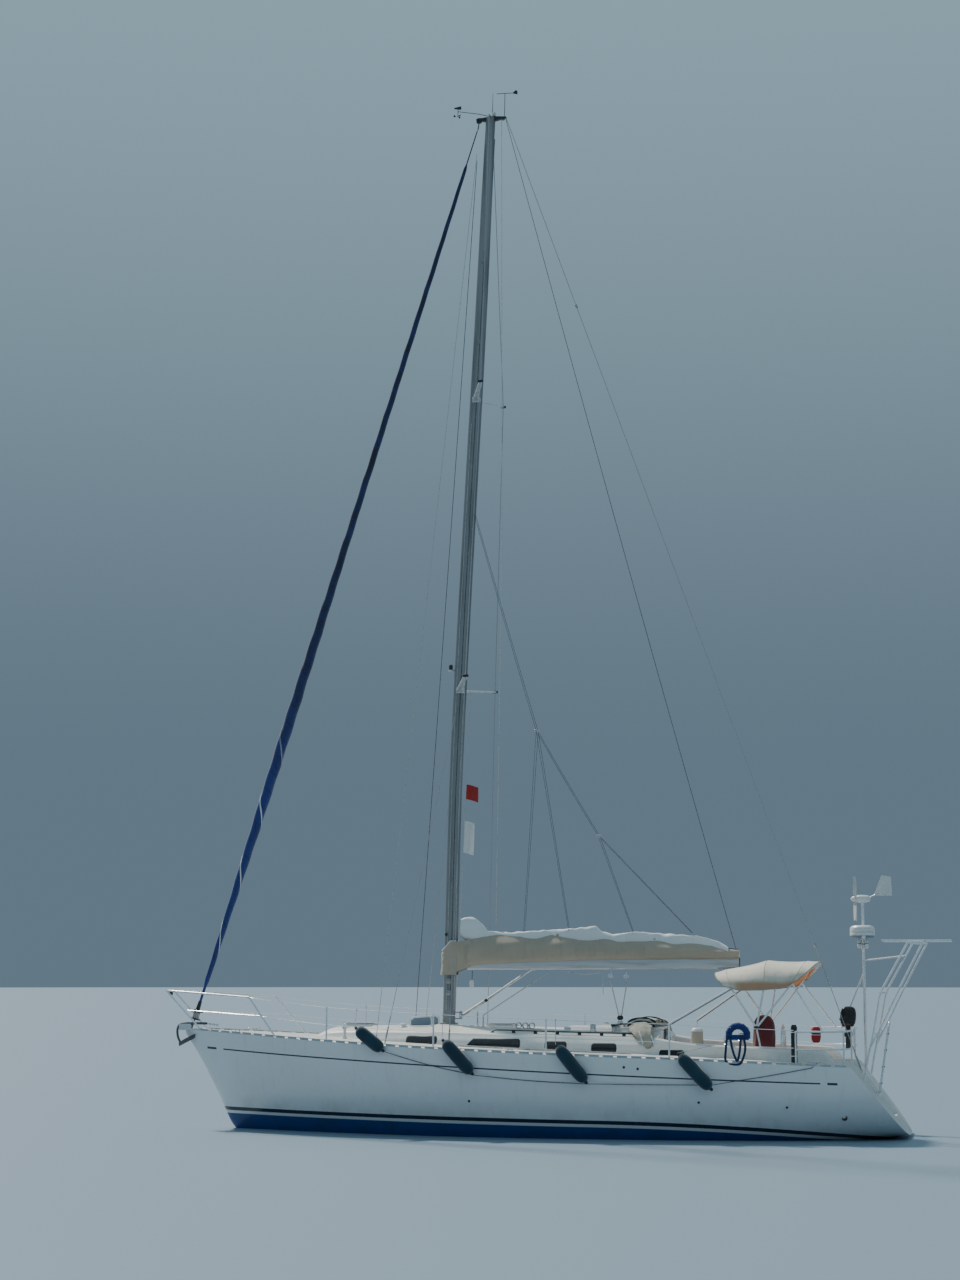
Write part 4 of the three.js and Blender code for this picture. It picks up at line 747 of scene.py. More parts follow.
def make_finishes(sizes):
    """Makes every finish under the name that the pieces ask for."""
    hull_gelcoat("gelcoat", sizes)
    deck_gelcoat("deck_gelcoat", sizes)
    anodised("anodised_alloy", sizes)
    anodised("boom_alloy", sizes, along_grain=(0.9, 14.0, 14.0))
    # The mast is the boom's alloy at about half its brightness: painted shade.
    anodised("mast_alloy_painted_shade", sizes, darker=0.48)
    headsail_cloth("navy_cloth", sizes)
    canopy("canopy_canvas", sizes)
    underside_glow("canopy_underside_glow")
    metal("stainless", (0.78, 0.79, 0.81), 0.22, metallic=0.7)
    metal("polished_tube", (0.86, 0.87, 0.88), 0.26, metallic=0.45)
    metal("bronze", (0.42, 0.24, 0.09), 0.34)
    metal("dark_wire", (0.42, 0.43, 0.44), 0.4, metallic=0.7)
    galvanised("galvanised")
    cloth("sand_canvas", sizes.canvas_colour, 0.10)
    cloth("hood_canvas", (0.33, 0.31, 0.25), 0.3, rain=0.35)
    cloth("maroon_canvas", sizes.maroon_colour, 0.25)
    cloth("fender_cover", sizes.fender_colour, 0.5, sheen=0.5, roughness=0.95)
    cloth("blue_cover", sizes.strip_colour, 0.3)
    cloth("webbing", (0.010, 0.022, 0.075), 0.3)
    cloth("red_cloth", (0.36, 0.022, 0.020), 0.2)
    cloth("sail_cloth", (0.74, 0.75, 0.75), 0.06, sheen=0.1, roughness=0.6, rain=0.1)
    plastic("antifouling", (0.018, 0.085, 0.20), 0.8, 120.0, 0.3)
    plastic("dark_plastic", (0.022, 0.022, 0.025), 0.42)
    plastic("motor_black", (0.016, 0.017, 0.019), 0.25, 500.0, 0.2)
    plastic("white_plastic", (0.76, 0.77, 0.76), 0.3)
    plastic("white_gelcoat", (0.78, 0.78, 0.75), 0.25, 400.0, 0.06)
    plastic("seal_rubber", (0.03, 0.03, 0.03), 0.7)
    plastic("lamp_glass", (0.60, 0.60, 0.58), 0.1)
    # Bluish grey for the toe rail's webs: the same alloy as the rail, painted as it looks in shade.
    plastic("rail_web_painted_shade", (0.40, 0.47, 0.50), 0.5)
    # Blue grey of white parts in shade, for the radar dome's lower part and the mast guards' panels: painted
    # shade.
    plastic("blue_grey_painted_shade", (0.20, 0.27, 0.33), 0.4)
    plastic("plank", (0.17, 0.10, 0.05), 0.5, 90.0, 0.3)
    smoked("smoked_acrylic")
    solar("solar_cells")
    rope("white_rope", (0.62, 0.61, 0.57), (0.10, 0.12, 0.30))
    rope("dark_rope", (0.035, 0.04, 0.06), (0.30, 0.30, 0.32))
    rope("blue_rope", (0.04, 0.10, 0.30), (0.55, 0.55, 0.55))


# Sizes that a user may change

class YachtSizes(bpy.types.PropertyGroup):
    hull_colour: bpy.props.FloatVectorProperty(
        name="Topsides", description="Paint above the waterline", default=(0.78, 0.79, 0.79),
        subtype="COLOR")
    deck_colour: bpy.props.FloatVectorProperty(
        name="Deck", description="Non-slip deck and coachroof", default=(0.70, 0.69, 0.64), subtype="COLOR")
    alloy_colour: bpy.props.FloatVectorProperty(
        name="Spars", description="Anodised mast and boom", default=(0.60, 0.61, 0.62), subtype="COLOR")
    canvas_colour: bpy.props.FloatVectorProperty(
        name="Sail bag", description="Cloth of the mainsail bag", default=(0.42, 0.355, 0.275),
        subtype="COLOR")
    canopy_colour: bpy.props.FloatVectorProperty(
        name="Bimini", description="Cloth of the sun awning", default=(0.66, 0.60, 0.50), subtype="COLOR")
    strip_colour: bpy.props.FloatVectorProperty(
        name="Headsail strip", description="Cloth that covers the rolled headsail",
        default=(0.016, 0.034, 0.165),
        subtype="COLOR")
    strip_aloft: bpy.props.FloatVectorProperty(
        name="Strip aloft", description="The same cloth near the masthead", default=(0.010, 0.015, 0.040),
        subtype="COLOR")
    maroon_colour: bpy.props.FloatVectorProperty(
        name="Compass cover", description="Cloth over the steering pedestal", default=(0.115, 0.022, 0.030),
        subtype="COLOR")
    fender_colour: bpy.props.FloatVectorProperty(
        name="Fender covers", description="Knitted covers", default=(0.010, 0.034, 0.052), subtype="COLOR")
    shroud: bpy.props.FloatProperty(
        name="Shroud", description="Diameter of the cap shrouds", default=0.012, unit="LENGTH")
    lifeline: bpy.props.FloatProperty(
        name="Guard wire", description="Diameter of the guard wires", default=0.010, unit="LENGTH")
    halyard: bpy.props.FloatProperty(
        name="Halyard", description="Diameter of the running rigging", default=0.014, unit="LENGTH")


def sizes_of(context):
    return context.scene.yacht_sizes


# Places on the hull and the roof

def hull_side(rows, sign, count=30):
    """Points from keel to sheer for each row: y = half * sin(t) ** bilge and height = 1 - cos(t) ** rise,
    with t crowded towards the keel."""
    t = (np.pi / 2) * np.linspace(0, 1, count) ** 1.5
    half, sheer, bottom, bilge, rise = (rows[:, k, None] for k in range(1, 6))
    y = sign * half * np.sin(t) ** bilge
    z = bottom + (sheer - bottom) * (1 - np.cos(t) ** rise)
    return xyz(rows[:, :1], y, z)


def deck_height(x, y):
    row = at(HULL, x)
    return row[..., 2] + DECK_CAMBER * row[..., 1] * (1 - (y / row[..., 1]) ** 2)


def roof_height(x, y):
    row = at(ROOF, x)
    return row[..., 3] + ROOF_CROWN * (1 - np.minimum(1, np.abs(y) / row[..., 2]) ** 2)


def edge(x, sign, above=0.0, inset=0.06):
    """Points along the deck edge at each x, above the sheer and inside the side."""
    x = np.asarray(x, float)
    row = at(HULL, x)
    return xyz(x, sign * (row[..., 1] - inset), row[..., 2] + above)


def hull_y(x, z):
    """Half breadth of the hull at a place and height: the angle t that gives the height, then the breadth."""
    x, z = np.broadcast_arrays(np.asarray(x, float), np.asarray(z, float))
    row = at(HULL, x)
    share = np.clip((z - row[..., 3]) / (row[..., 2] - row[..., 3]), 0, 1)
    t = np.arccos(np.clip((1 - share) ** (1 / row[..., 5]), 0, 1))
    return row[..., 1] * np.sin(t) ** row[..., 4]


def roof_side_y(rows, z):
    """Half breadth of the coachroof: upright from its foot, then leaning in to its top through a soft
    corner."""
    lean = (z - (rows[..., 3] - 0.15)) / 0.128
    soft = np.minimum(1, 0.12 * np.log1p(np.exp(np.minimum(lean / 0.12, 40))))
    return rows[..., 1] + (rows[..., 2] - rows[..., 1]) * soft


def mast_at(z):
    """Middle of the mast at each height."""
    row = at(MAST, z)
    return xyz(row[..., 1], 0, np.asarray(z, float))


def winch(x, y, z, size, sides=28):
    """Base, ribbed drum and self-tailing jaw, turned about the upright axis."""
    profile = [[0, 0.080], [0.012, 0.082], [0.05, 0.080], [0.088, 0.074], [0.096, 0.062], [0.110, 0.056],
               [0.150, 0.052], [0.164, 0.055], [0.170, 0.064], [0.176, 0.068], [0.184, 0.068],
               [0.188, 0.058], [0.192, 0.068], [0.200, 0.066], [0.205, 0.050]]
    drum = lathe([[up * size, r * size] for up, r in profile], (x, y, z), sides=sides)
    cap = lathe([[0.204 * size, 0.05 * size], [0.212 * size, 0.046 * size], [0.216 * size, 0.03 * size]],
                (x, y, z), sides=sides)
    ribs = []
    for k in range(12):
        angle = k * np.pi / 6
        foot = np.array([x + 0.056 * size * np.cos(angle), y + 0.056 * size * np.sin(angle), z])
        ribs.append(tube(foot + np.array([[0, 0, 0.106], [0.0, 0, 0.135], [0, 0, 0.164]]) * size,
                         0.0035 * size, 5))
    return [drum, *ribs, cap.wearing(1)]


def set_materials(obj, chooser):
    """Gives each face the material number that chooser returns for face centres and normals."""
    count = len(obj.data.polygons)
    centre, normal = np.zeros(count * 3), np.zeros(count * 3)
    obj.data.polygons.foreach_get("center", centre)
    obj.data.polygons.foreach_get("normal", normal)
    obj.data.polygons.foreach_set("material_index",
                                  chooser(centre.reshape(-1, 3), normal.reshape(-1, 3)).astype(np.int32))


def carve(obj, surfaces, sharp=30.0):
    """Cuts closed surfaces out of an object, one after another, and keeps the result as its mesh."""
    tools = []
    for k, surface in enumerate(surfaces):
        tool = piece(f"tool_{k}", [surface], "deck_gelcoat", body=None)
        tools.append(tool)
        cutter = obj.modifiers.new(f"cut_{k}", "BOOLEAN")
        cutter.operation = "DIFFERENCE"
        cutter.solver = "EXACT"
        cutter.object = tool
    bpy.context.view_layer.update()
    evaluated = obj.evaluated_get(bpy.context.evaluated_depsgraph_get())
    mesh = bpy.data.meshes.new_from_object(evaluated)
    obj.modifiers.clear()
    obj.data = mesh
    for tool in tools:
        bpy.data.objects.remove(tool)
    mesh.shade_smooth()
    mesh.set_sharp_from_angle(angle=math.radians(sharp))
    return obj


def patch(outline, lift, face, material=0, rings=5):
    """A pad on a curved side: rings drawn from an outline to its middle, laid on face(x, z) and lifted; the
    outermost ring sinks into the side, so that the pad is closed by what carries it."""
    outline = np.asarray(outline, float)
    centre = outline.mean(0)
    share = np.array([1.0, 0.985] + list(np.linspace(0.85, 0.02, rings)))[:, None, None]
    flat = centre + (outline - centre) * share
    raised = np.array([-0.012, lift * 0.8] + [lift] * rings)[:, None]
    x, z = flat[..., 0], flat[..., 1]
    front = xyz(x, face(x, z, raised), z)
    back = xyz(x[0], face(x[0], z[0], np.full(len(x[0]), -0.02)), z[0])
    return grid(np.concatenate([back[None], front]), ring=True, caps=True, material=material)


class YACHT_OT_hull(bpy.types.Operator):
    """Hull with its deck, cockpit well and stern steps, and the fin and the rudder under it"""
    bl_idname = "yacht.hull"
    bl_label = "Hull"

    def execute(self, context):
        rows = along(HULL, np.linspace(0, len(HULL) - 1, 181))
        port, starboard = hull_side(rows, 1), hull_side(rows, -1)
        share = np.linspace(1, -1, 17)[1:-1]
        y = rows[:, 1, None] * share
        rise = DECK_CAMBER * rows[:, 1, None] * (1 - share**2)
        deck = xyz(rows[:, :1], y, rows[:, 2, None] + rise)
        ring = np.concatenate([port, deck, starboard[:, :0:-1]], 1)
        hull = piece("hull_shell", [loft(ring)], ["gelcoat", "deck_gelcoat"], replaces=["hull"])
        slope = (TRANSOM_DECK[0] - TRANSOM_TIP[0]) / (TRANSOM_DECK[1] - TRANSOM_TIP[1])
        low, high, above, abaft = -0.7, 2.3, 2.6, -6.8
        stern = [[TRANSOM_TIP[0] + slope * (z - TRANSOM_TIP[1]), z] for z in (low, high)]
        wedge = plate([stern[0], [-8.0, low], [-8.0, high], stern[1]], 5.0, (0, 2.5, 0))
        side, fore, aft = COCKPIT["side"], COCKPIT["fore"], COCKPIT["aft"]
        # Stern steps: height of the tread, place of the riser, both sides, and radius of the edges
        steps = ((0.35, -5.70, -0.43, 0.43, 0.04), (0.72, -5.47, -0.43, 0.43, 0.04),
                 (1.04, -5.18, 0.06, 0.43, 0.03), (1.04, -5.18, -0.43, -0.06, 0.03))
        cuts = [
            wedge.outwards(),
            block((aft, -side, COCKPIT["bench"]), (fore, side, above), 0.05),
            block((aft + 0.12, -COCKPIT["well"], COCKPIT["sole"]), (fore, COCKPIT["well"], above), 0.05),
            *(block((abaft, inner, tread), (riser, outer, above), edge_radius)
              for tread, riser, inner, outer, edge_radius in steps),
            lathe([[0, 0.043], [0.58, 0.043]], (RUDDER_STOCK_X, 0, -0.4)),
        ]
        carve(hull, cuts)

        def chooser(centre, normal):
            """Non-slip inside the cockpit and on everything that faces up."""
            x, y, z = centre.T
            inside = (np.abs(y) < side + 0.01) & (z > 0.7) & (x > aft - 0.05) & (x < fore + 0.05)
            flat = (normal[:, 2] > 0.55) & (z > 0.3)
            return (inside | flat).astype(int)

        set_materials(hull, chooser)
        self.under_water()
        self.fittings()
        return {"FINISHED"}

    def under_water(self):
        """Foils: each section is a rounded nose and a fine tail, x = lead - chord * s and
        y = 2 mm + 2 * thick * (sqrt(s) - s), carried down the span."""
        s = np.linspace(0, 1, 15) ** 1.6

        def foil(lead, chord, thick, z):
            """One section, closed round its nose and its tail."""
            y = thick * 2.0 * (np.sqrt(s) - s) * 0.999 + 0.002
            x = lead - chord * s
            return np.concatenate([xyz(x, y, z), xyz(x, -y, z)[::-1]])

        stations = [[1.25, 2.15, 0.125, -0.30], [1.00, 1.78, 0.105, -1.10], [0.80, 1.50, 0.095, -1.78]]
        fin = loft([foil(*along(stations, u)) for u in np.linspace(0, 2, 9)])
        bulb_at = [[0.90, 0.020, 0.018], [0.78, 0.11, 0.09], [0.45, 0.19, 0.145], [0, 0.22, 0.16],
                   [-0.45, 0.18, 0.135], [-0.90, 0.06, 0.05]]
        rows = along(bulb_at, np.linspace(0, 5, 26))
        angle = circle(20)
        bulb = xyz(rows[:, :1] + 0.05, rows[:, 1:2] * np.cos(angle), rows[:, 2:3] * np.sin(angle) - 1.74)
        piece("keel_fin", [fin, loft(bulb)], "antifouling", replaces=["keel"], sharp=50)
        blade_at = [[RUDDER_STOCK_X + 0.17, 0.64, 0.060, -0.195], [RUDDER_STOCK_X + 0.15, 0.56, 0.052, -0.9],
                    [RUDDER_STOCK_X + 0.11, 0.40, 0.040, -1.56]]
        blade = loft([foil(*along(blade_at, u)) for u in np.linspace(0, 2, 9)])
        stock = lathe([[0, 0.042], [0.599, 0.042]], (RUDDER_STOCK_X, 0, -0.42), sides=20)
        piece("rudder_blade", [blade, stock], "antifouling", "rudder", ["rudder"], 50)

    def fittings(self):
        """Exhaust, drains and vents on the hull."""
        y = float(hull_y(-5.20, 0.38))
        exhaust = lathe([[0, 0.045], [0.018, 0.045], [0.022, 0.038], [0.022, 0.030], [0.004, 0.028]],
                        (-5.20, y - 0.008, 0.38), (0.05, 1, 0))
        vents = [lathe([[0, 0.022], [0.01, 0.02], [0.012, 0.012]], (x, float(hull_y(x, z)) - 0.004, z),
                       (0, 1, 0.05), 16) for x, z in ((-4.3, 0.55), (-2.9, 0.62), (0.9, 0.60),
                                                      (-1.934, 1.152), (-1.71, 1.175))]
        piece("skin_fittings", [exhaust, *vents], "dark_plastic")


class YACHT_OT_deck(bpy.types.Operator):
    """Coachroof with its windows and winches, coamings, toe rails and the small fittings of the deck"""
    bl_idname = "yacht.deck"
    bl_label = "Deck and coachroof"

    def execute(self, context):
        self.coachroof()
        self.windows()
        self.toe_rails()
        self.deck_gear()
        return {"FINISHED"}

    def coachroof(self):
        """Skin of rings across the roof: up the leaning side, round the shoulder and over a parabolic
        crown. The nose fades into the deck by a quarter sine, and the trough of the sliding hatch is
        pressed flat."""
        rows = along(ROOF, np.linspace(0, len(ROOF) - 1, 121))
        level = np.array([0, 0.3, 0.5, 0.62, 0.72, 0.8, 0.86, 0.91, 0.96])
        z = 1.15 + (rows[:, 3:4] - 0.030 - 1.15) * level
        side = np.stack([roof_side_y(rows[:, None], z), z], -1)
        share = np.array([0.94, 0.86, 0.76, 0.64, 0.5, 0.36, 0.22, 0.1, 0.0])
        crown = np.stack([rows[:, 2:3] * share, rows[:, 3:4] + ROOF_CROWN * (1 - share**2)], -1)
        corner = np.stack([rows[:, 2], rows[:, 3] + 0.004], -1)[:, None]
        t = np.linspace(0, 1, 6)[1:-1][None, :, None]
        shoulder = (1 - t) ** 2 * side[:, -1:] + 2 * t * (1 - t) * corner + t**2 * crown[:, :1]
        half = np.concatenate([side, shoulder, crown], 1)
        mirrored = half[:, -2::-1] * np.array([-1, 1])
        section = np.concatenate([half, mirrored], 1)
        x = rows[:, :1]
        y, z = section[..., 0], section[..., 1]
        nose = np.sin(np.clip((3.98 - x) / 0.30, 0.02, 1) * np.pi / 2) ** 0.6
        floor = deck_height(x, y) - 0.012
        z = np.where(z > floor, floor + (z - floor) * nose, z)
        trough = (np.abs(y) < 0.372) & (x > -2.4) & (x < -0.56)
        z = np.where(trough, np.minimum(z, 1.738), z)
        roof = loft(xyz(x, y, z))
        coamings = []
        for _, sign in SIDES:
            rows = along(COAMING, np.linspace(0, len(COAMING) - 1, 61))
            end = np.sin(np.clip((rows[:, 0] + 5.075) / 0.25, 0.02, 1) * np.pi / 2)[:, None] ** 0.6
            inner, outer, top = rows[:, 1:2], rows[:, 2:3], rows[:, 3:4]
            a = np.linspace(0, np.pi / 2, 5)
            y = np.concatenate([inner, inner, inner + 0.03 * (1 - np.cos(a)),
                                outer - 0.06 + 0.06 * np.sin(a), outer + 0.02], 1)
            z = np.concatenate([
                np.full_like(top, 1.1), top - 0.2, top - 0.03 + 0.03 * np.sin(a),
                top - 0.06 + 0.06 * np.cos(a),
                np.full_like(top, 1.1),
            ], 1)
            z = 1.1 + (z - 1.1) * end
            coamings.append(loft(xyz(rows[:, :1], sign * y, z)))
        plinths = [block((x - half, -half, 1.70), (x + half, half, float(roof_height(x, 0)) + 0.016), 0.02)
                   for x, half in DECK_HATCHES.values()]
        plinths.append(block((1.44, -0.16, 1.70), (1.84, 0.16, 1.8117), 0.03))
        roofing = piece("coachroof", [roof, *coamings, *plinths], ["deck_gelcoat", "white_gelcoat"],
                        replaces=["deck_moulding"], sharp=42)
        set_materials(roofing, lambda centre, normal: (normal[:, 2] < 0.72).astype(int))
        drums = [part for _, sign in SIDES for part in winch(-1.0, sign * 0.70, 1.66, 0.8)]
        piece("halyard_winches", drums, ["stainless", "dark_plastic"])
        seams = [block((-2.172, low, 1.225), (-2.150, high, 1.58), 0.01)
                 for low, high in ((-1.0, -0.34), (0.34, 1.0))]
        piece("cabin_bulkhead", seams, "white_gelcoat")

    def windows(self):
        """Dark panes on the leaning sides: rounded outlines laid on the roof's own side formula."""
        panes = [(1.12, 0.16, 1.455, 1.585), (-0.28, -0.63, 1.435, 1.548), (-1.07, -1.47, 1.395, 1.522),
                 (2.16, 1.62, 1.515, 1.62)]
        surfaces, seals = [], []
        for _, sign in SIDES:
            def face(x, z, raised, sign=sign):
                return sign * (roof_side_y(at(ROOF, x), z) + raised)

            for fore, aft, low, high in panes:
                half_x, half_z = (fore - aft) / 2, (high - low) / 2
                centre = np.array([(fore + aft) / 2, (low + high) / 2])
                outline = corner_outline(half_x, half_z, half_z * 0.75, 5)
                if half_x > 0.3:
                    fore_part = (outline[:, 0] - half_x + 0.14).clip(0, 1)
                    outline[:, 0] -= 0.55 * fore_part * (1 + outline[:, 1] / half_z)
                surfaces.append(patch(centre + outline, 0.007, face))
                seals.append(patch(centre + outline * (1 + 0.016 / np.array([half_x, half_z])), 0.003, face))

            def coaming_face(x, z, raised, sign=sign):
                row = at(COAMING, x)
                return sign * (row[..., 2] + 0.02 * (row[..., 3] - z) / (row[..., 3] - 1.1) + raised)

            outline = np.array([-2.40, 1.375]) + corner_outline(0.21, 0.060, 0.045, 5)
            surfaces.append(patch(outline, 0.008, coaming_face))
        piece("windows", surfaces, "smoked_acrylic")
        piece("window_seals", seals, "seal_rubber")

    def toe_rails(self):
        """Slotted rail: a foot flange and a rounded top bar along the deck edge, joined by short webs, which
        wear a bluish grey that paints shade on the alloy.
        """
        x = np.linspace(6.10, -5.26, 150)
        for side, sign in SIDES:
            foot = np.stack([edge(x, sign, z, inset) for inset, z in
                             ((0.034, -0.002), (0.034, 0.006), (0.014, 0.009), (0.006, 0.004),
                              (0.006, -0.002))], 1)
            bar = tube(edge(x, sign, 0.0355, 0.0145), 0.0062, 8)
            webs = []
            for start in np.arange(6.06, -5.1, -0.232):
                span = edge(np.linspace(start, start - 0.170, 4), sign, 0.0, 0.0145)
                ring = [span + np.array([0, dy, dz]) for dy, dz in
                        ((-0.0025, 0.004), (0.0025, 0.004), (0.0025, 0.034), (-0.0025, 0.034))]
                # The webs wear the bluish grey of painted shade.
                webs.append(loft(np.stack(ring, 1)).wearing(1))
            piece(f"toe_rail_{side}", [loft(foot), bar, *webs], ["anodised_alloy", "rail_web_painted_shade"],
                  replaces=[f"toe_rail_{side}"])

    def deck_gear(self):
        """Cleats, handrails, sheet tracks, vents and the guards beside the mast."""
        cleats = []
        for x, inset in ((5.30, 0.16), (0.2, 0.13), (-4.75, 0.14)):
            for _, sign in SIDES:
                middle = edge(x, sign, 0.0, inset)
                middle[2] = deck_height(x, middle[1])
                horn = middle + np.array([[-0.12, 0, 0.062], [-0.07, 0, 0.056], [0, 0, 0.050],
                                          [0.07, 0, 0.056], [0.12, 0, 0.062]])
                cleats.append(tube(flowing(horn, 13),
                                   [0.006, 0.010, 0.012, 0.013, 0.014, 0.015, 0.015, 0.015, 0.014, 0.013,
                                    0.012, 0.010, 0.006], 10))
                for dx in (-0.035, 0.035):
                    cleats.append(lathe([[-0.004, 0.022], [0.004, 0.020], [0.01, 0.011], [0.05, 0.010]],
                                        middle + np.array([dx, 0, 0]), (0, 0, 1), 12))
        piece("mooring_cleats", cleats, "stainless")
        rails, posts = [], []
        for _, sign in SIDES:
            x = np.linspace(0.67, -1.77, 40)
            row = at(ROOF, x)
            y = sign * (row[:, 2] - 0.06)
            base = roof_height(x, y)
            path = xyz(x, y, base + 0.045)
            path[[0, -1], 2] -= 0.03
            rails.append(tube(path, 0.011, 8))
            for k in range(0, 40, 6):
                posts.append(block(path[k] - np.array([0.03, 0.008, 0.055]),
                                   path[k] + np.array([0.03, 0.008, 0.0]), 0.006, 2))
        piece("roof_handrails", rails + posts, "dark_plastic")
        tracks, cars = [], []
        for _, sign in SIDES:
            x = np.linspace(1.25, -1.75, 24)
            y = sign * (at(ROOF, x)[:, 1] + 0.16)
            path = xyz(x, y, deck_height(x, y) + 0.014)
            tracks.append(tube(path, 0.016, 6, flat=0.8))
            cars.append(block(path[14] - np.array([0.06, 0.022, 0.0]),
                              path[14] + np.array([0.06, 0.022, 0.05]), 0.01))
        piece("genoa_tracks", tracks + cars, "anodised_alloy")
        cowls = []
        for x, y in ((2.35, 0.42), (2.35, -0.42), (-0.55, 0.62)):
            foot = np.array([x, y, float(roof_height(x, y)) - 0.01])
            cowls.append(lathe([[0, 0.07], [0.015, 0.07], [0.028, 0.052], [0.036, 0.05]], foot, sides=20))
            cowls.append(lathe([[0.030, 0.052], [0.052, 0.062], [0.064, 0.055], [0.072, 0.03]], foot,
                               sides=20))
        foot = float(deck_height(3.30, 0.75))
        cowls.append(lathe([[-0.004, 0.042], [0.02, 0.040], [0.04, 0.026], [1.735 - foot, 0.026]],
                           (3.30, 0.75, foot), sides=20))
        cowls.append(swirl(np.array([3.30, 0.75, 1.775]), 0.040, 0.015, (0.25, 1, 0), 28))
        cowls.append(lathe([[-0.05, 0.024], [-0.03, 0.040], [0.0, 0.042]], (3.30, 0.75, 1.775),
                           (0.25, 1, 0), 24))
        piece("deck_vents", cowls, "white_plastic")
        guards = []
        for _, sign in SIDES:
            base = [float(roof_height(x, 0.30)) - 0.012 for x in (1.88, 2.26)]
            hoop = [[1.88, 0, base[0]], [1.88, 0, 1.955], [2.26, 0, 1.925], [2.26, 0, base[1]]]
            guards.append(bent(np.array(hoop) + [0, sign * 0.30, 0], 0.0115, 0.07, 10))
            # The panel wears the blue grey of a white surface in shade: painted shade.
            fill = plate([[1.90, base[0] + 0.02], [2.24, base[1] + 0.02], [2.24, 1.875], [2.19, 1.915],
                          [1.94, 1.935], [1.90, 1.90]], 0.006, [0, sign * 0.30 + 0.003, 0])
            guards.append(fill.wearing(1))
        piece("mast_guards", guards, ["polished_tube", "blue_grey_painted_shade"])


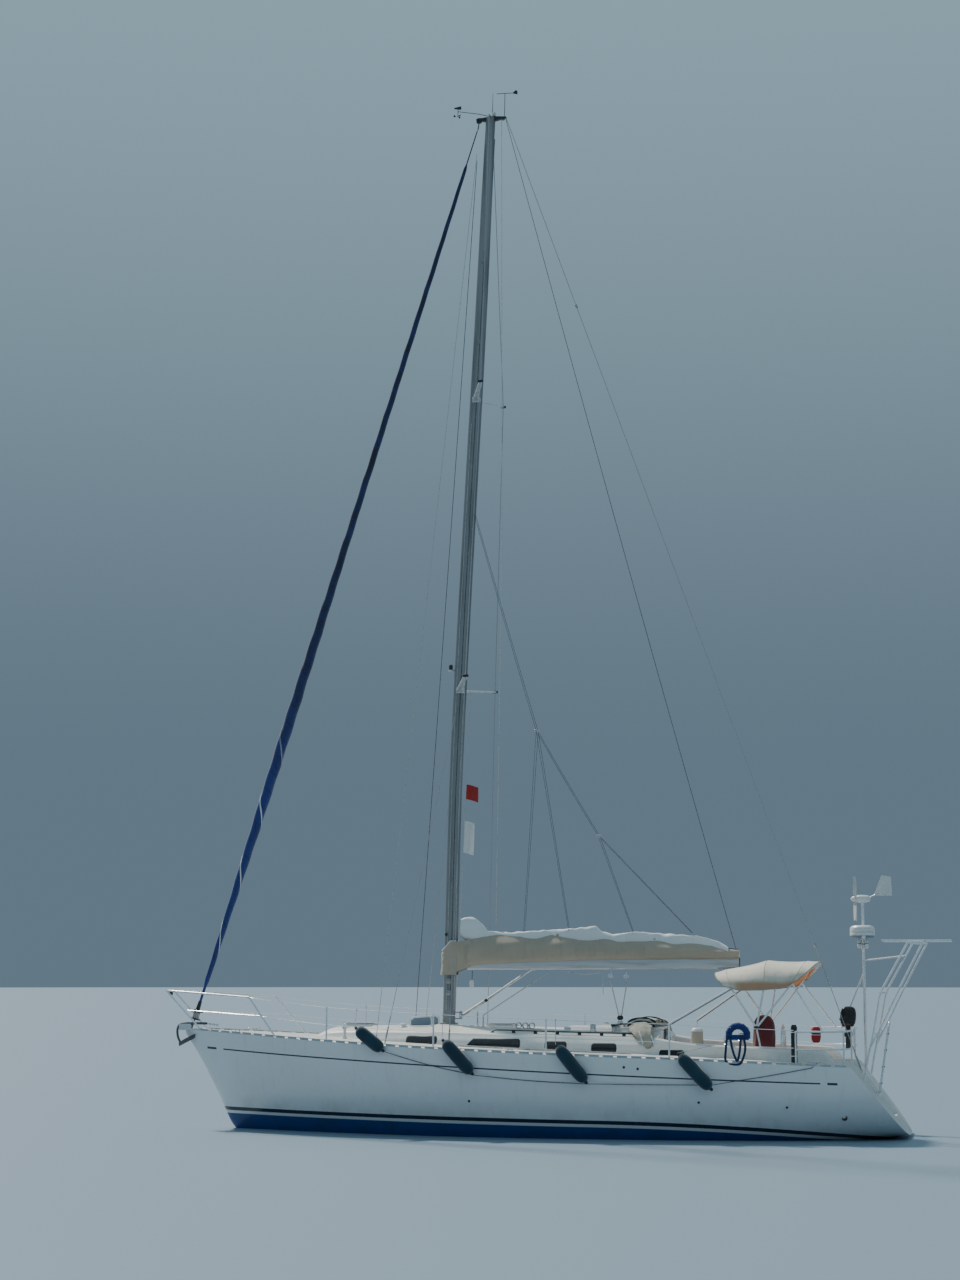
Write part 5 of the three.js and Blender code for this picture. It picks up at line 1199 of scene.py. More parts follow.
class YACHT_OT_rig(bpy.types.Operator):
    """Mast with its track, lights and masthead, boom, vang, spreaders and standing rigging"""
    bl_idname = "yacht.rig"
    bl_label = "Mast and rigging"

    def execute(self, context):
        sizes = sizes_of(context)
        self.mast()
        self.boom()
        self.spreaders()
        self.wires(sizes)
        return {"FINISHED"}

    def mast(self):
        """Section of the spar: x = 0.11 * sign(cos a) * |cos a| ** 0.9 and y = 0.068 * sin a, tapered
        aloft."""
        z = np.linspace(1.812, 18.08, 120)
        row = at(MAST, z)
        angle = circle(28)
        x = MAST_HALF[0] * np.sign(np.cos(angle)) * np.abs(np.cos(angle)) ** 0.9
        y = MAST_HALF[1] * np.sin(angle)
        share = row[:, 2:3]
        spar = loft(xyz(row[:, 1:2] + x * share, y * share, z[:, None]))
        aft = mast_at(z[8:-3]) - np.array([MAST_HALF[0] + 0.004, 0, 0]) * at(MAST, z[8:-3])[:, 2:3]
        track = tube(aft, 0.012, 6)
        step = block((1.50, -0.105, 1.8118), (1.78, 0.105, 1.838), 0.01)
        crane = plate([[0.60, 18.055], [0.60, 18.07], [0.86, 18.095], [1.155, 18.06], [1.155, 18.04],
                       [0.9, 17.99]], 0.07, (0, 0.035, 0)).wearing(1)
        sheaves = [lathe([[0, 0.036], [0.008, 0.028], [0.016, 0.036]], (x, -0.008, 18.045), (0, 1, 0))
                   for x in (0.66, 1.10)]
        bars = [
            tube([[0.89, -0.142, 18.082], [0.89, 0, 18.092], [0.89, 0.142, 18.082]], 0.014, 8),
            tube([[0.87, -0.06, 18.07], [0.868, -0.06, 18.30], [0.862, -0.06, 18.56]], [0.008, 0.005, 0.003],
                 8).wearing(1),
        ]
        lights = [
            lathe([[0, 0.032], [0.01, 0.034], [0.02, 0.03]], (0.83, 0, 18.085)),
            lathe([[0.0, 0.030], [0.03, 0.034], [0.055, 0.034], [0.075, 0.018]],
                  (0.83, 0, 18.105)).wearing(2),
            lathe([[0.0, 0.030], [0.01, 0.034], [0.07, 0.034], [0.085, 0.026]], (1.615, 0, 7.99),
                  (0, 0, 1)).wearing(1),
            lathe([[0, 0.040], [0.012, 0.045], [0.02, 0.042]], (1.615, 0, 7.982), (0, 0, -1)).wearing(2),
            block((1.52, -0.02, 7.96), (1.63, 0.02, 7.985), 0.006),
        ]
        wand = [
            tube([[0.90, 0.0, 18.10], [1.10, 0.0, 18.16], [1.50, 0.0, 18.24]], 0.006, 6).wearing(1),
            tube([[1.50, 0, 18.14], [1.50, 0, 18.30]], 0.006, 6).wearing(1),
            plate([[-0.06, -0.035], [0.07, -0.012], [0.07, 0.012], [-0.06, 0.035]], 0.003,
                  (1.50, -0.001, 18.305)).wearing(1),
        ]
        for k in range(3):
            turn = k * 2 * np.pi / 3
            cup = np.array([1.50 + 0.06 * np.cos(turn), 0.06 * np.sin(turn), 18.15])
            wand.append(lathe([[0, 0.006], [0.012, 0.018], [0.024, 0.020]], cup,
                              (-np.sin(turn), np.cos(turn), 0), 10).wearing(1))
            wand.append(tube([[1.50, 0, 18.15], list(cup)], 0.003, 5).wearing(1))
        vane = [
            tube([[0.632, 0.02, 18.05], [0.622, 0.02, 18.505]], 0.006, 6).wearing(1),
            tube([[0.400, 0.02, 18.505], [0.776, 0.02, 18.515]], 0.006, 6).wearing(1),
            plate([[0.39, 18.475], [0.47, 18.495], [0.47, 18.520], [0.42, 18.560], [0.39, 18.535]], 0.003,
                  (0, 0.0215, 0)).wearing(1),
            tube([[1.130, 0.0, 17.86], [1.096, 0.0, 18.05]], 0.010, 8).wearing(1),
            block((1.06, -0.03, 17.985), (1.155, 0.03, 18.085), 0.02).wearing(1),
        ]
        fittings = []
        for height in (4.2, 5.4, 6.6, 8.8, 10.4, 11.6, 13.9, 15.4):
            middle = mast_at(height)
            fittings.append(block(middle + [-0.03, 0.060, -0.05], middle + [0.03, 0.074, 0.05], 0.006, 2))
        for height in (2.35, 2.55):
            middle = mast_at(height)
            fittings.append(lathe([[0.06, 0.05], [0.075, 0.05], [0.085, 0.035], [0.12, 0.033],
                                   [0.135, 0.044], [0.15, 0.044], [0.16, 0.03]], middle, (0, 1, 0), 20))
        lugs = []
        for pin in (GOOSENECK[1], 1.96):
            for k in (-1, 1):
                lugs.append(block((1.406, -0.024, pin + k * 0.054 - 0.009),
                                  (1.58, 0.024, pin + k * 0.054 + 0.009), 0.006, 2))
            lugs.append(lathe([[-0.062, 0.010], [0.062, 0.010]], (GOOSENECK[0], 0, pin), sides=14))
            lugs.append(lathe([[0.0, 0.017], [0.010, 0.017]], (GOOSENECK[0], 0, pin + 0.0631), sides=14))
        radar = [lathe([[0, 0.02], [0.03, 0.03], [0.035, 0.012]], (1.66, 0.055, 3.35), (0.6, 1, 0),
                       12).wearing(1)]
        piece("mast_spar", [spar, track, step, crane, *sheaves, *bars, *lights, *wand, *vane, *fittings,
                            *lugs, *radar], ["mast_alloy_painted_shade", "dark_plastic", "lamp_glass"], replaces=["mast"],
              sharp=40)

    def boom(self):
        """Rounded box section with a groove bead, end caps, gooseneck eye, outhaul and blocks."""
        x = np.linspace(1.30, BOOM_END[0], 40)
        ring = corner_outline(0.062, 0.096, 0.035, 4)
        z = np.interp(x, [BOOM_END[0], 1.3], [BOOM_END[1], GOOSENECK[1]])
        spar = loft(xyz(x[:, None], ring[:, 0], z[:, None] + ring[:, 1]))
        end = block((BOOM_END[0] - 0.012, -0.058, BOOM_END[1] - 0.092),
                    (BOOM_END[0] + 0.02, 0.058, BOOM_END[1] + 0.092), 0.02)
        nose = block((1.29, -0.05, GOOSENECK[1] - 0.07), (1.345, 0.05, GOOSENECK[1] + 0.07), 0.02)
        web = block((1.335, -0.02, GOOSENECK[1] - 0.042), (1.415, 0.02, GOOSENECK[1] + 0.038), 0.01)
        eye = lathe([[-0.0447, 0.028], [0.0413, 0.028]], (GOOSENECK[0], 0, GOOSENECK[1]), sides=20)
        groove = tube(xyz(x, 0, z + 0.097), 0.012, 6)
        bails = []
        for place in (-1.20, -3.28, 0.22):
            height = float(np.interp(place, [BOOM_END[0], 1.3], [BOOM_END[1], GOOSENECK[1]]))
            bails.append(bent([[place, -0.05, height - 0.09], [place, -0.03, height - 0.13],
                               [place, 0.03, height - 0.13], [place, 0.05, height - 0.09]], 0.006, 0.02, 8))
        piece("boom_spar", [spar, end.wearing(1), nose, web, eye, groove, *bails],
              ["boom_alloy", "dark_plastic"], "boom", ["boom"], 40)
        foot, knee, head = np.array([1.408, 0, 1.96]), np.array([0.96, 0, 2.236]), np.array([0.17, 0, 2.76])
        strut = [
            tube(np.linspace(foot - [0.012, 0, 0], knee, 12), 0.027, 16),
            lathe([[0, 0.029], [0.03, 0.031], [0.05, 0.029]], knee, unit(foot - knee), 16).wearing(1),
            tube(np.linspace(knee, head, 12), 0.0215, 16),
            lathe([[-0.0447, 0.028], [0.0413, 0.028]], (GOOSENECK[0], 0, 1.96), sides=20),
            block(head - [0.05, 0.025, 0.03], head + [0.05, 0.025, 0.05], 0.01),
        ]
        piece("vang_strut", strut, ["anodised_alloy", "dark_plastic"], "boom", ["rigid_vang"],
              40)

    def spreaders(self):
        """Swept aerofoil arms, chord tapering outwards, on a through bar."""
        for name, s in SPREADERS.items():
            root = mast_at(s["z"])
            arms = []
            for _, sign in SIDES:
                u = np.linspace(0, 1, 14)[:, None]
                angle = circle(14)
                middle = root + np.array([-s["sweep"], sign * s["reach"], s["rise"]]) * u
                middle = middle + np.array([0, sign * 0.05, 0]) * (1 - u)
                chord = s["chord"] * (1 - 0.35 * u)
                points = middle[:, None] + xyz(chord * np.cos(angle), 0, chord * 0.3 * np.sin(angle))
                arms.append(loft(points))
                tip = middle[-1]
                arms.append(block(tip - [0.05, 0.012, 0.022], tip + [0.05, 0.012, 0.022], 0.008).wearing(1))
            collar = block(root - [0.10, 0.082, 0.05], root + [0.05, 0.082, 0.05], 0.02)
            piece(name + "_arms", [*arms, collar], ["anodised_alloy", "dark_plastic"], replaces=[name],
                  sharp=45)

    def wires(self, sizes):
        """Cap shrouds over the spreader tips, lower shrouds and backstay, each with a turnbuckle at its
        foot."""
        radius = sizes.shroud / 2

        def bottle(foot, towards):
            """Turnbuckle at the foot of a wire."""
            axis = unit(np.asarray(towards) - np.asarray(foot))
            return lathe([[0.0, 0.010], [0.05, 0.012], [0.06, 0.008], [0.09, 0.0075], [0.095, 0.014],
                          [0.14, 0.015], [0.25, 0.015], [0.29, 0.013], [0.30, 0.008], [0.35, 0.0075],
                          [0.36, 0.010], [0.47, 0.009], [0.48, 0.006]], foot, axis, 12)

        for side, sign in SIDES:
            tips = []
            for s in SPREADERS.values():
                root = mast_at(s["z"])
                tips.append(root + np.array([-s["sweep"], sign * s["reach"], s["rise"]]))
            foot = self.chainplate(1.29, 1.56, sign)
            path = np.array([foot, tips[0], tips[1], [0.89, sign * 0.140, 18.075]])
            wire = bent(path, radius, 0.03, 8)
            piece(f"cap_wire_{side}", [wire, bottle(foot, tips[0])], "dark_wire",
                  replaces=[f"cap_shroud_{side}"])
            low = self.chainplate(2.42, 1.43, sign)
            head = mast_at(7.48) + np.array([0, sign * 0.04, 0])
            piece(f"lower_wire_{side}", [tube([low, head], radius * 0.9, 8), bottle(low, head)], "dark_wire",
                  replaces=[f"lower_shroud_{side}"])
        back = [np.array([-5.425, 0, 1.035]), np.array([0.606, 0, 18.055])]
        cones = [lathe([[0, 0.009], [0.02, 0.02], [0.07, 0.022], [0.09, 0.009]],
                       back[0] + unit(back[1] - back[0]) * d, unit(back[1] - back[0]), 12)
                 for d in (2.2, 14.2)]
        piece("backstay_wire", [tube(back, radius, 8), bottle(back[0], back[1]), *cones], "dark_wire",
              replaces=["backstay"])

    def chainplate(self, x, y, sign):
        """Place of a shroud's eye, just above the deck."""
        return np.array([x, sign * y, float(deck_height(x, y)) + 0.01])


class YACHT_OT_headsail(bpy.types.Operator):
    """Headsail rolled on the forestay, its furling drum, and the anchor"""
    bl_idname = "yacht.headsail"
    bl_label = "Furled headsail"

    def execute(self, context):
        """Roll: a circle whose radius follows ROLL along the stay. Two helices of unlike pitch swell it,
        one a step at the sail's edge, the other a wave for each layer of cloth."""
        length = np.linalg.norm(STAY_HEAD - STAY_FOOT)
        axis = unit(STAY_HEAD - STAY_FOOT)
        side = unit(np.cross(axis, (0.0, 1.0, 0.0)))
        over = np.cross(axis, side)
        share = np.concatenate([np.linspace(0.034, 0.06, 14), np.linspace(0.062, 0.95, 420),
                                np.linspace(0.952, 0.998, 18)])
        radius = np.interp(share, [r[0] for r in ROLL], [r[1] for r in ROLL])
        smooth = at(ROLL, share)[:, 1]
        radius = np.where((share > 0.07) & (share < 0.95), smooth, radius)
        angle = circle(40)
        along_stay = (share * length)[:, None]
        turn = (angle / (2 * np.pi) - along_stay / 1.2) % 1.0
        fine = (angle / (2 * np.pi) + along_stay / 0.62) % 1.0
        sail = ((share > 0.056) & (share < 0.955))[:, None]
        swell = 1 + sail * (0.055 * (0.5 - turn)
                            + 0.05 * np.sin(2 * np.pi * fine) * (radius[:, None] > 0.03))
        out = radius[:, None] * swell
        points = (STAY_FOOT + axis * along_stay[..., None] + out[..., None]
                  * (np.cos(angle)[None, :, None] * over + np.sin(angle)[None, :, None] * side))
        roll = loft(points)
        piece("rolled_headsail", [roll], "navy_cloth", replaces=["furled_headsail"],
              sharp=60)
        profile = [[0.012, 0.012], [0.250, 0.012], [0.252, 0.100], [0.256, 0.105], [0.262, 0.105],
                   [0.266, 0.060], [0.272, 0.055], [0.388, 0.055], [0.394, 0.060], [0.396, 0.103],
                   [0.404, 0.105], [0.409, 0.100], [0.412, 0.04], [0.034 * length, 0.030]]
        drum = lathe(profile, STAY_FOOT, axis, 32)
        line = np.linspace(0, 12 * 2 * np.pi, 300)[:, None]
        winding = (STAY_FOOT + axis * (0.276 + 0.108 * np.linspace(0, 1, 300)[:, None])
                   + 0.0595 * (np.cos(line) * over + np.sin(line) * side))
        piece("furling_drum", [drum, tube(winding, 0.0045, 6).wearing(1)], ["dark_plastic", "white_rope"],
              replaces=["furler_drum"])
        self.bow()
        return {"FINISHED"}

    def bow(self):
        """The anchor and its chain. Half of the plough is a sheet whose breadth follows a sine along its
        length and whose sides rise by 0.05 * u squared."""
        shank = np.array([[5.99, 0.096, 1.806], [6.30, 0.096, 1.808], [6.50, 0.096, 1.800],
                          [6.545, 0.096, 1.70], [6.53, 0.096, 1.56], [6.46, 0.096, 1.44]])
        arm = tube(turned_corners(shank, 0.09, 7), 0.021, 10, flat=0.55)
        u, v = np.linspace(-1, 1, 9)[:, None], np.linspace(0, 1, 9)
        wide = 0.125 * np.sin(np.pi * np.clip(v * 0.8 + 0.06, 0, 1)) ** 0.8
        top = xyz(6.50 - 0.32 * v, 0.096 + u * wide, 1.42 + 0.16 * v + 0.05 * u**2)
        ring = np.concatenate([top, top[::-1] - np.array([0, 0, 0.014])], 0)
        fluke = loft(ring.transpose(1, 0, 2))
        piece("plough_anchor", [arm, fluke], "galvanised", replaces=["anchor"], sharp=40)
        links = []
        for k in range(6):
            middle = np.array([5.97 - 0.034 * k, 0.096, 1.80 - 0.004 * k])
            links.append(swirl(middle, 0.016, 0.0045, (0, 1, 0) if k % 2 else (0, 0, 1), 10))
        piece("anchor_chain", links, "galvanised")


class YACHT_OT_sail_bag(bpy.types.Operator):
    """Bag of the mainsail with its straps, the stowed sail above it, and its laced front round the mast"""
    bl_idname = "yacht.sail_bag"
    bl_label = "Sail bag"

    def execute(self, context):
        """Side of the bag: breadth bulges by sin(pi v) ** 0.7 between hem and top, with shallow scallops
        between the hanging points and fine slanted folds."""
        x = np.linspace(1.30, -3.40, 150)
        rows = at(BAG, x)
        hem, hem_half, belly, top = (rows[:, k, None] for k in range(1, 5))
        v = np.linspace(0, 1, 26)
        hang = np.array([1.3, 0.42, -0.28, -1.03, -1.96, -2.66, -3.40])
        nearest = np.abs(x[:, None] - hang[None, :]).min(1)[:, None]
        scallop = 0.030 * np.clip(nearest / 0.4, 0, 1) ** 1.5
        crest = top - scallop
        z = hem + (crest - hem) * v
        bulge = hem_half + (belly - hem_half) * np.sin(np.pi * np.minimum(v * 1.05, 1) ** 0.8) ** 0.7
        lip = 0.016 + 0.03 * (1 - v)
        y = np.maximum(bulge * (1 - 0.80 * np.clip((v - 0.55) / 0.45, 0, 1) ** 1.6), lip)
        folds = wavy(xyz(x[:, None], y, z) * np.array([1.0, 0.2, 2.2]), 7.0, 0.011, 4) * np.sin(np.pi * v)
        sags = 0.010 * np.sin(x[:, None] * 9.0 + 5.5 * v) * np.sin(np.pi * v) ** 2
        y = y + folds + sags
        port = xyz(x[:, None], y, z)
        other = wavy(port * np.array([1.2, 1.0, 2.0]), 6.0, 0.010, 9) * np.sin(np.pi * v)
        starboard = xyz(port[..., 0], -(y + other - folds), z)
        ring = np.concatenate([port, starboard[:, ::-1]], 1)
        bag = loft(ring)
        zips = tube(xyz(x, 0, crest[:, 0] + 0.006), 0.010, 6).wearing(1)
        hems = [tube(xyz(x, sign * (hem_half[:, 0] + 0.004), hem[:, 0] + 0.012), 0.009, 6)
                for sign in (1, -1)]
        straps = []
        for place in hang[1:-1]:
            row = at(BAG, place)
            for sign in (1, -1):
                foot = np.array([place, sign * 0.02, row[4] - 0.01])
                straps.append(block(foot - [0.022, 0.02, 0.03], foot + [0.022, 0.02, 0.02],
                                    0.006, 2).wearing(2))
        bag_piece = piece("mainsail_bag", [bag, zips, *hems, *straps],
                          ["sand_canvas", "dark_plastic", "hood_canvas"], "boom", ["sail_bag"],
                          60)
        self.stowed_sail()
        self.front()
        return {"FINISHED"}

    def stowed_sail(self):
        """Folds of the sail above the mouth of the bag: a ridge whose height swells where the flakes bunch
        up, each ring y = half * cos a, z = middle + high * sin a, creased by crossed waves."""
        crest = [[1.24, 3.44], [0.96, 3.41], [0.60, 3.385], [0.25, 3.400], [-0.15, 3.425], [-0.60, 3.450],
                 [-0.94, 3.490], [-1.05, 3.395], [-1.25, 3.345], [-1.65, 3.390], [-1.95, 3.365],
                 [-2.40, 3.335], [-2.75, 3.305], [-3.05, 3.22], [-3.22, 3.12]]
        x = np.linspace(1.24, -3.22, 170)
        top = np.interp(-x, [-c[0] for c in crest], [c[1] for c in crest])
        bottom = at(BAG, x)[:, 4] - 0.14
        angle = circle(26)
        middle, high = (top + bottom)[:, None] / 2, (top - bottom)[:, None] / 2
        half = (0.052 + 0.014 * np.sin(x * 5.0) + 0.008 * np.sin(x * 13.0))[:, None]
        lean = 0.5 + 0.5 * np.sin(angle)
        ring = xyz(x[:, None], half * np.cos(angle) + 0.030 * np.sin(x[:, None] * 7.0) * lean,
                   middle + high * np.sign(np.sin(angle)) * np.abs(np.sin(angle)) ** 0.8)
        ring[..., 1] += wavy(ring * [1.0, 1.0, 4.0], 17.0, 0.012, 71) * lean
        ring[..., 2] += wavy(ring * [2.2, 3.0, 0.0], 15.0, 0.008, 72) * lean
        fold = piece("sail_folds", [loft(ring)], "sail_cloth", "boom", sharp=60)

    def front(self):
        """Front of the bag wrapped round the mast, open abaft it, with the head of the stowed sail above."""
        share = np.linspace(0, 1, 30)[:, None]
        reach = np.linspace(-2.28, 2.28, 44)
        long, wide = 0.180 - 0.012 * share, 0.126 - 0.010 * share
        middle = 1.606 - 0.012 * share
        peak = 3.235 - 0.165 * np.clip(np.cos(reach), 0, 1) ** 0.8
        height = 2.655 + (peak - 2.655) * share
        outer = xyz(middle + long * np.cos(reach), wide * np.sin(reach), height)
        outer += wavy(outer * np.array([1, 1, 2.4]), 13.0, 0.009, 2)[..., None] * [1.0, 0.7, 0.4]
        inner = outer - xyz(0.006 * np.cos(reach), 0.006 * np.sin(reach), 0)
        wrap = loft(np.concatenate([outer, inner[:, ::-1]], 1))
        rim = tube(outer[-1] + [0, 0, 0.002], 0.008, 6).wearing(1)
        lace = [tube(flowing([outer[j, k], outer[j + 7, k - 12]], 6) + [0.004, 0.004, 0], 0.005,
                     6).wearing(1) for j, k in ((4, 40), (13, 40))]
        collar = piece("bag_front", [wrap], "sand_canvas", replaces=["sail_bag_front"],
                       sharp=60)
        trim = piece("bag_front_lacing", [rim, *lace], "sail_cloth")
        for side, sign in SIDES:
            u, v = np.linspace(0, 1, 14)[:, None], np.linspace(0, 1, 22)
            swell = 0.030 * np.sin(np.pi * u) * np.sin(np.pi * v) + 0.030 * u * np.sin(np.pi * v)
            cloth_out = xyz(1.492 - 0.262 * u, sign * (0.092 + swell),
                            2.70 + 0.105 * u + (0.525 - 0.06 * u) * v)
            cloth_out[..., 1] += wavy(cloth_out * [1, 0, 2.0], 16.0, 0.006, 5)
            cloth_in = cloth_out - np.array([0, sign * 0.006, 0])
            gusset = piece(f"bag_gusset_{side}", [loft(np.concatenate([cloth_out, cloth_in[:, ::-1]], 1))],
                           "sand_canvas", body=None, sharp=60)
            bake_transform(gusset)
        rows = np.linspace(0, 1, 16)
        middle = xyz(1.430 - 0.515 * rows, 0, 3.46 - 0.09 * rows - 0.05 * rows**2)
        angle = circle(18)
        high = 0.235 * np.sin(np.pi * (0.20 + 0.76 * rows)) ** 0.9
        wide = 0.075 * np.sin(np.pi * (0.15 + 0.78 * rows)) ** 0.6
        ring = middle[:, None] + xyz(0, wide[:, None] * np.cos(angle), high[:, None] * np.sin(angle))
        ring[..., 2] += wavy(ring, 22.0, 0.012, 6)
        ring[..., 1] += wavy(ring * [1.0, 0.5, 3.0], 20.0, 0.012, 8)
        head = piece("sail_head", [loft(ring)], "sail_cloth", "boom", sharp=60)


class YACHT_OT_running_rigging(bpy.types.Operator):
    """Halyards, topping lift, lazy jacks, mainsheet and vang tackle, ropes led over the roof, and two
    flags"""
    bl_idname = "yacht.running_rigging"
    bl_label = "Running rigging"

    def execute(self, context):
        sizes = sizes_of(context)
        radius = sizes.halyard / 2
        self.halyards(radius)
        self.lazy_jacks(radius)
        self.mainsheet()
        self.flags()
        return {"FINISHED"}

    def halyards(self, radius):
        """Ropes that stand off the mast, those that run down beside it, and the topping lift, all but
        straight."""
        mast_rope = [
            tube(hanging([1.137, 0.045, 17.40], [2.55, 1.48, 1.66], 0.10, 60), radius * 0.8, 6),
            tube(hanging([1.155, -0.045, 17.30], [2.60, -1.47, 1.66], 0.10, 60), radius * 0.8, 6).wearing(1),
            tube([[0.684, 0.02, 18.05], [0.692, 0.02, 9.64], [0.80, 0.02, 3.50]], radius * 0.7, 6),
        ]
        fall = []
        for k, (dx, dy) in enumerate(((-0.09, 0.05), (-0.03, 0.071), (0.04, 0.071), (-0.06, -0.069),
                                      (0.02, -0.069))):
            z = np.linspace(2.05, 15.6 if k % 2 else 12.4, 40)
            path = mast_at(z) + np.array([dx, dy, 0]) * np.stack([at(MAST, z)[:, 2]] * 2 + [np.ones(40)], -1)
            fall.append(tube(path, 0.0055, 6).wearing(k % 2))
        ends = [lathe([[-0.03, 0.008], [0.0, 0.014], [0.05, 0.012], [0.07, 0.006]], point, (0, 0, 1),
                      10).wearing(2) for point in ([2.55, 1.48, 1.60], [2.60, -1.47, 1.60])]
        piece("halyards", mast_rope + fall + ends, ["white_rope", "dark_rope", "stainless"])
        lift = tube(hanging([0.612, 0.0, 18.03], [-3.37, 0.0, 3.0], 0.12, 80), radius * 0.7, 6)
        lift_piece = piece("topping_lift", [lift], "dark_rope", body=None)
        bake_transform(lift_piece)

    def lazy_jacks(self, radius):
        """Two rings a side, from the mast down to the edge of the bag."""
        for side, sign in SIDES:
            head = np.array([1.18, sign * 0.07, 10.75])
            first = np.array([0.07, sign * 0.10, 6.87])
            second = np.array([-1.01, sign * 0.11, 5.03])
            feet_first = [0.31, -0.48]
            feet_second = [-1.60, -2.61]
            ropes = [hanging(first, [x, sign * 0.055, 3.40], 0.0, 14) for x in feet_first]
            ropes.append(hanging(first, second, 0.02, 14))
            ropes += [hanging(second, [x, sign * 0.055, 3.36], 0.0, 14) for x in feet_second]
            thimbles = [swirl(p, 0.022, 0.006, (0, 1, 0), 12).wearing(1) for p in (first, second)]
            legs = [tube(r, radius * 0.5, 6) for r in ropes]
            piece(f"lazy_jack_legs_{side}", legs + thimbles, ["dark_rope", "stainless"], "boom")
            top = piece(f"lazy_jack_top_{side}", [tube(hanging(head, first, 0.03, 24), radius * 0.5, 6)],
                        "dark_rope", body=None)
            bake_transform(top)

    def mainsheet(self):
        """Four falls between a double block under the boom and one on the traveller's car."""
        top, foot = np.array([-1.20, 0.0, 2.64]), np.array([-1.355, 0.0, 1.93])
        abaft = np.array([-1.465, 0.0, 2.63])
        falls = []
        for head, dx in ((top, 0.022), (abaft, -0.022)):
            for dy in (-0.02, 0.02):
                shift = np.array([dx, dy, 0])
                falls.append(tube(hanging(foot + shift + [0, 0, 0.03], head + shift - [0, 0, 0.03], 0.0, 24),
                                  0.0065, 6))
        sheet = piece("mainsheet_falls", falls, "white_rope", body=None)
        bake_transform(sheet)

        def sheaves(middle):
            """Double block: three cheeks with two grooved wheels between them, and the bow that it hangs
            from."""
            cheeks = []
            for dy in (-0.040, -0.002, 0.036):
                outline = corner_outline(0.048, 0.038, 0.036, 5)
                cheeks.append(plate(outline, 0.005, middle + [0, dy + 0.0045, 0]))
            for dy in (-0.034, 0.004):
                cheeks.append(lathe([[0, 0.032], [0.014, 0.026], [0.030, 0.032]], middle + [0, dy, 0],
                                    (0, 1, 0), 18).wearing(1))
            bow = [middle + [0, y, z]
                   for y, z in ((-0.02, 0.03), (-0.02, 0.075), (0.02, 0.075), (0.02, 0.03))]
            cheeks.append(bent(bow, 0.005, 0.015, 6).wearing(2))
            return cheeks

        bright = ["stainless", "dark_plastic", "stainless"]
        piece("boom_block", sheaves(top), bright, "boom")
        piece("second_boom_block", sheaves(abaft), bright, "boom")
        strop = tube([[1.225, 0.0, 2.72], [1.232, 0.0, 2.56]], 0.006, 8)
        hanging_block = lathe([[0, 0.014], [0.012, 0.034], [0.11, 0.036], [0.135, 0.026], [0.14, 0.010]],
                              (1.235, 0, 2.425), sides=18)
        piece("hanging_block", [strop, hanging_block.wearing(1)], ["dark_rope", "sail_cloth"], "boom")
        slack = np.vstack([hanging([-0.36, 0.055, 2.730], [-1.07, 0.055, 2.700], 0.045, 26), [
            [-1.078, 0.057, 2.66], [-1.076, 0.058, 2.58], [-1.070, 0.058, 2.48], [-1.071, 0.057, 2.38],
            [-1.074, 0.056, 2.32]]])
        slack_piece = piece("slack_sheet", [tube(slack, 0.006, 8)], "white_rope", "boom")
        low, high = np.array([0.955, 0.37, 1.972]), np.array([-0.114, 0.052, 2.692])
        tackle = piece("vang_tackle", [tube(hanging(low, high, 0.0, 24), 0.0085, 8)], "white_rope",
                       body=None)
        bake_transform(tackle)
        leads = []
        for x, y, height in (low, (1.07, 0.30, 2.02)):
            roof = float(roof_height(x, y))
            leads.append(tube([[x, y, height], [x, y, roof + 0.06]], 0.012, 8))
            leads.append(lathe([[-0.004, 0.030], [0.012, 0.028], [0.020, 0.016], [0.075, 0.018]],
                               (x, y, roof), sides=14).wearing(1))
        piece("roof_leads", leads, ["white_rope", "stainless"])
        piece("traveller_block", sheaves(foot), ["dark_plastic", "white_plastic", "stainless"])

    def flags(self):
        """Cloths on a thin halyard under the starboard spreader: waves across the fly that grow with
        distance."""
        line = hanging([1.33, -0.36, 7.62], [1.75, -0.95, 1.72], 0.0, 20)
        piece("flag_halyard", [tube(line, 0.003, 6)], "white_rope")
        for name, high, low, fly, colour in (("upper_flag", 6.00, 5.74, 0.24, "red_cloth"),
                                             ("lower_flag", 5.36, 4.80, 0.20, "sail_cloth")):
            start = np.array([np.interp(-z, -line[:, 2], line[:, 0]) for z in (high, low)])
            out = np.array([np.interp(-z, -line[:, 2], line[:, 1]) for z in (high, low)])
            u, v = np.linspace(0, 1, 24)[:, None], np.linspace(0, 1, 14)
            drop = 0.26 * fly * u**1.4
            wave = 0.030 * u * np.sin(9 * u + 2.5 * v)
            x = start[0] + (start[1] - start[0]) * v - fly * 0.90 * u
            y = out[0] + (out[1] - out[0]) * v + wave
            z = high + (low - high) * v - drop
            cloth_piece = piece(name, [grid(xyz(x, y, z))], colour, sharp=180)


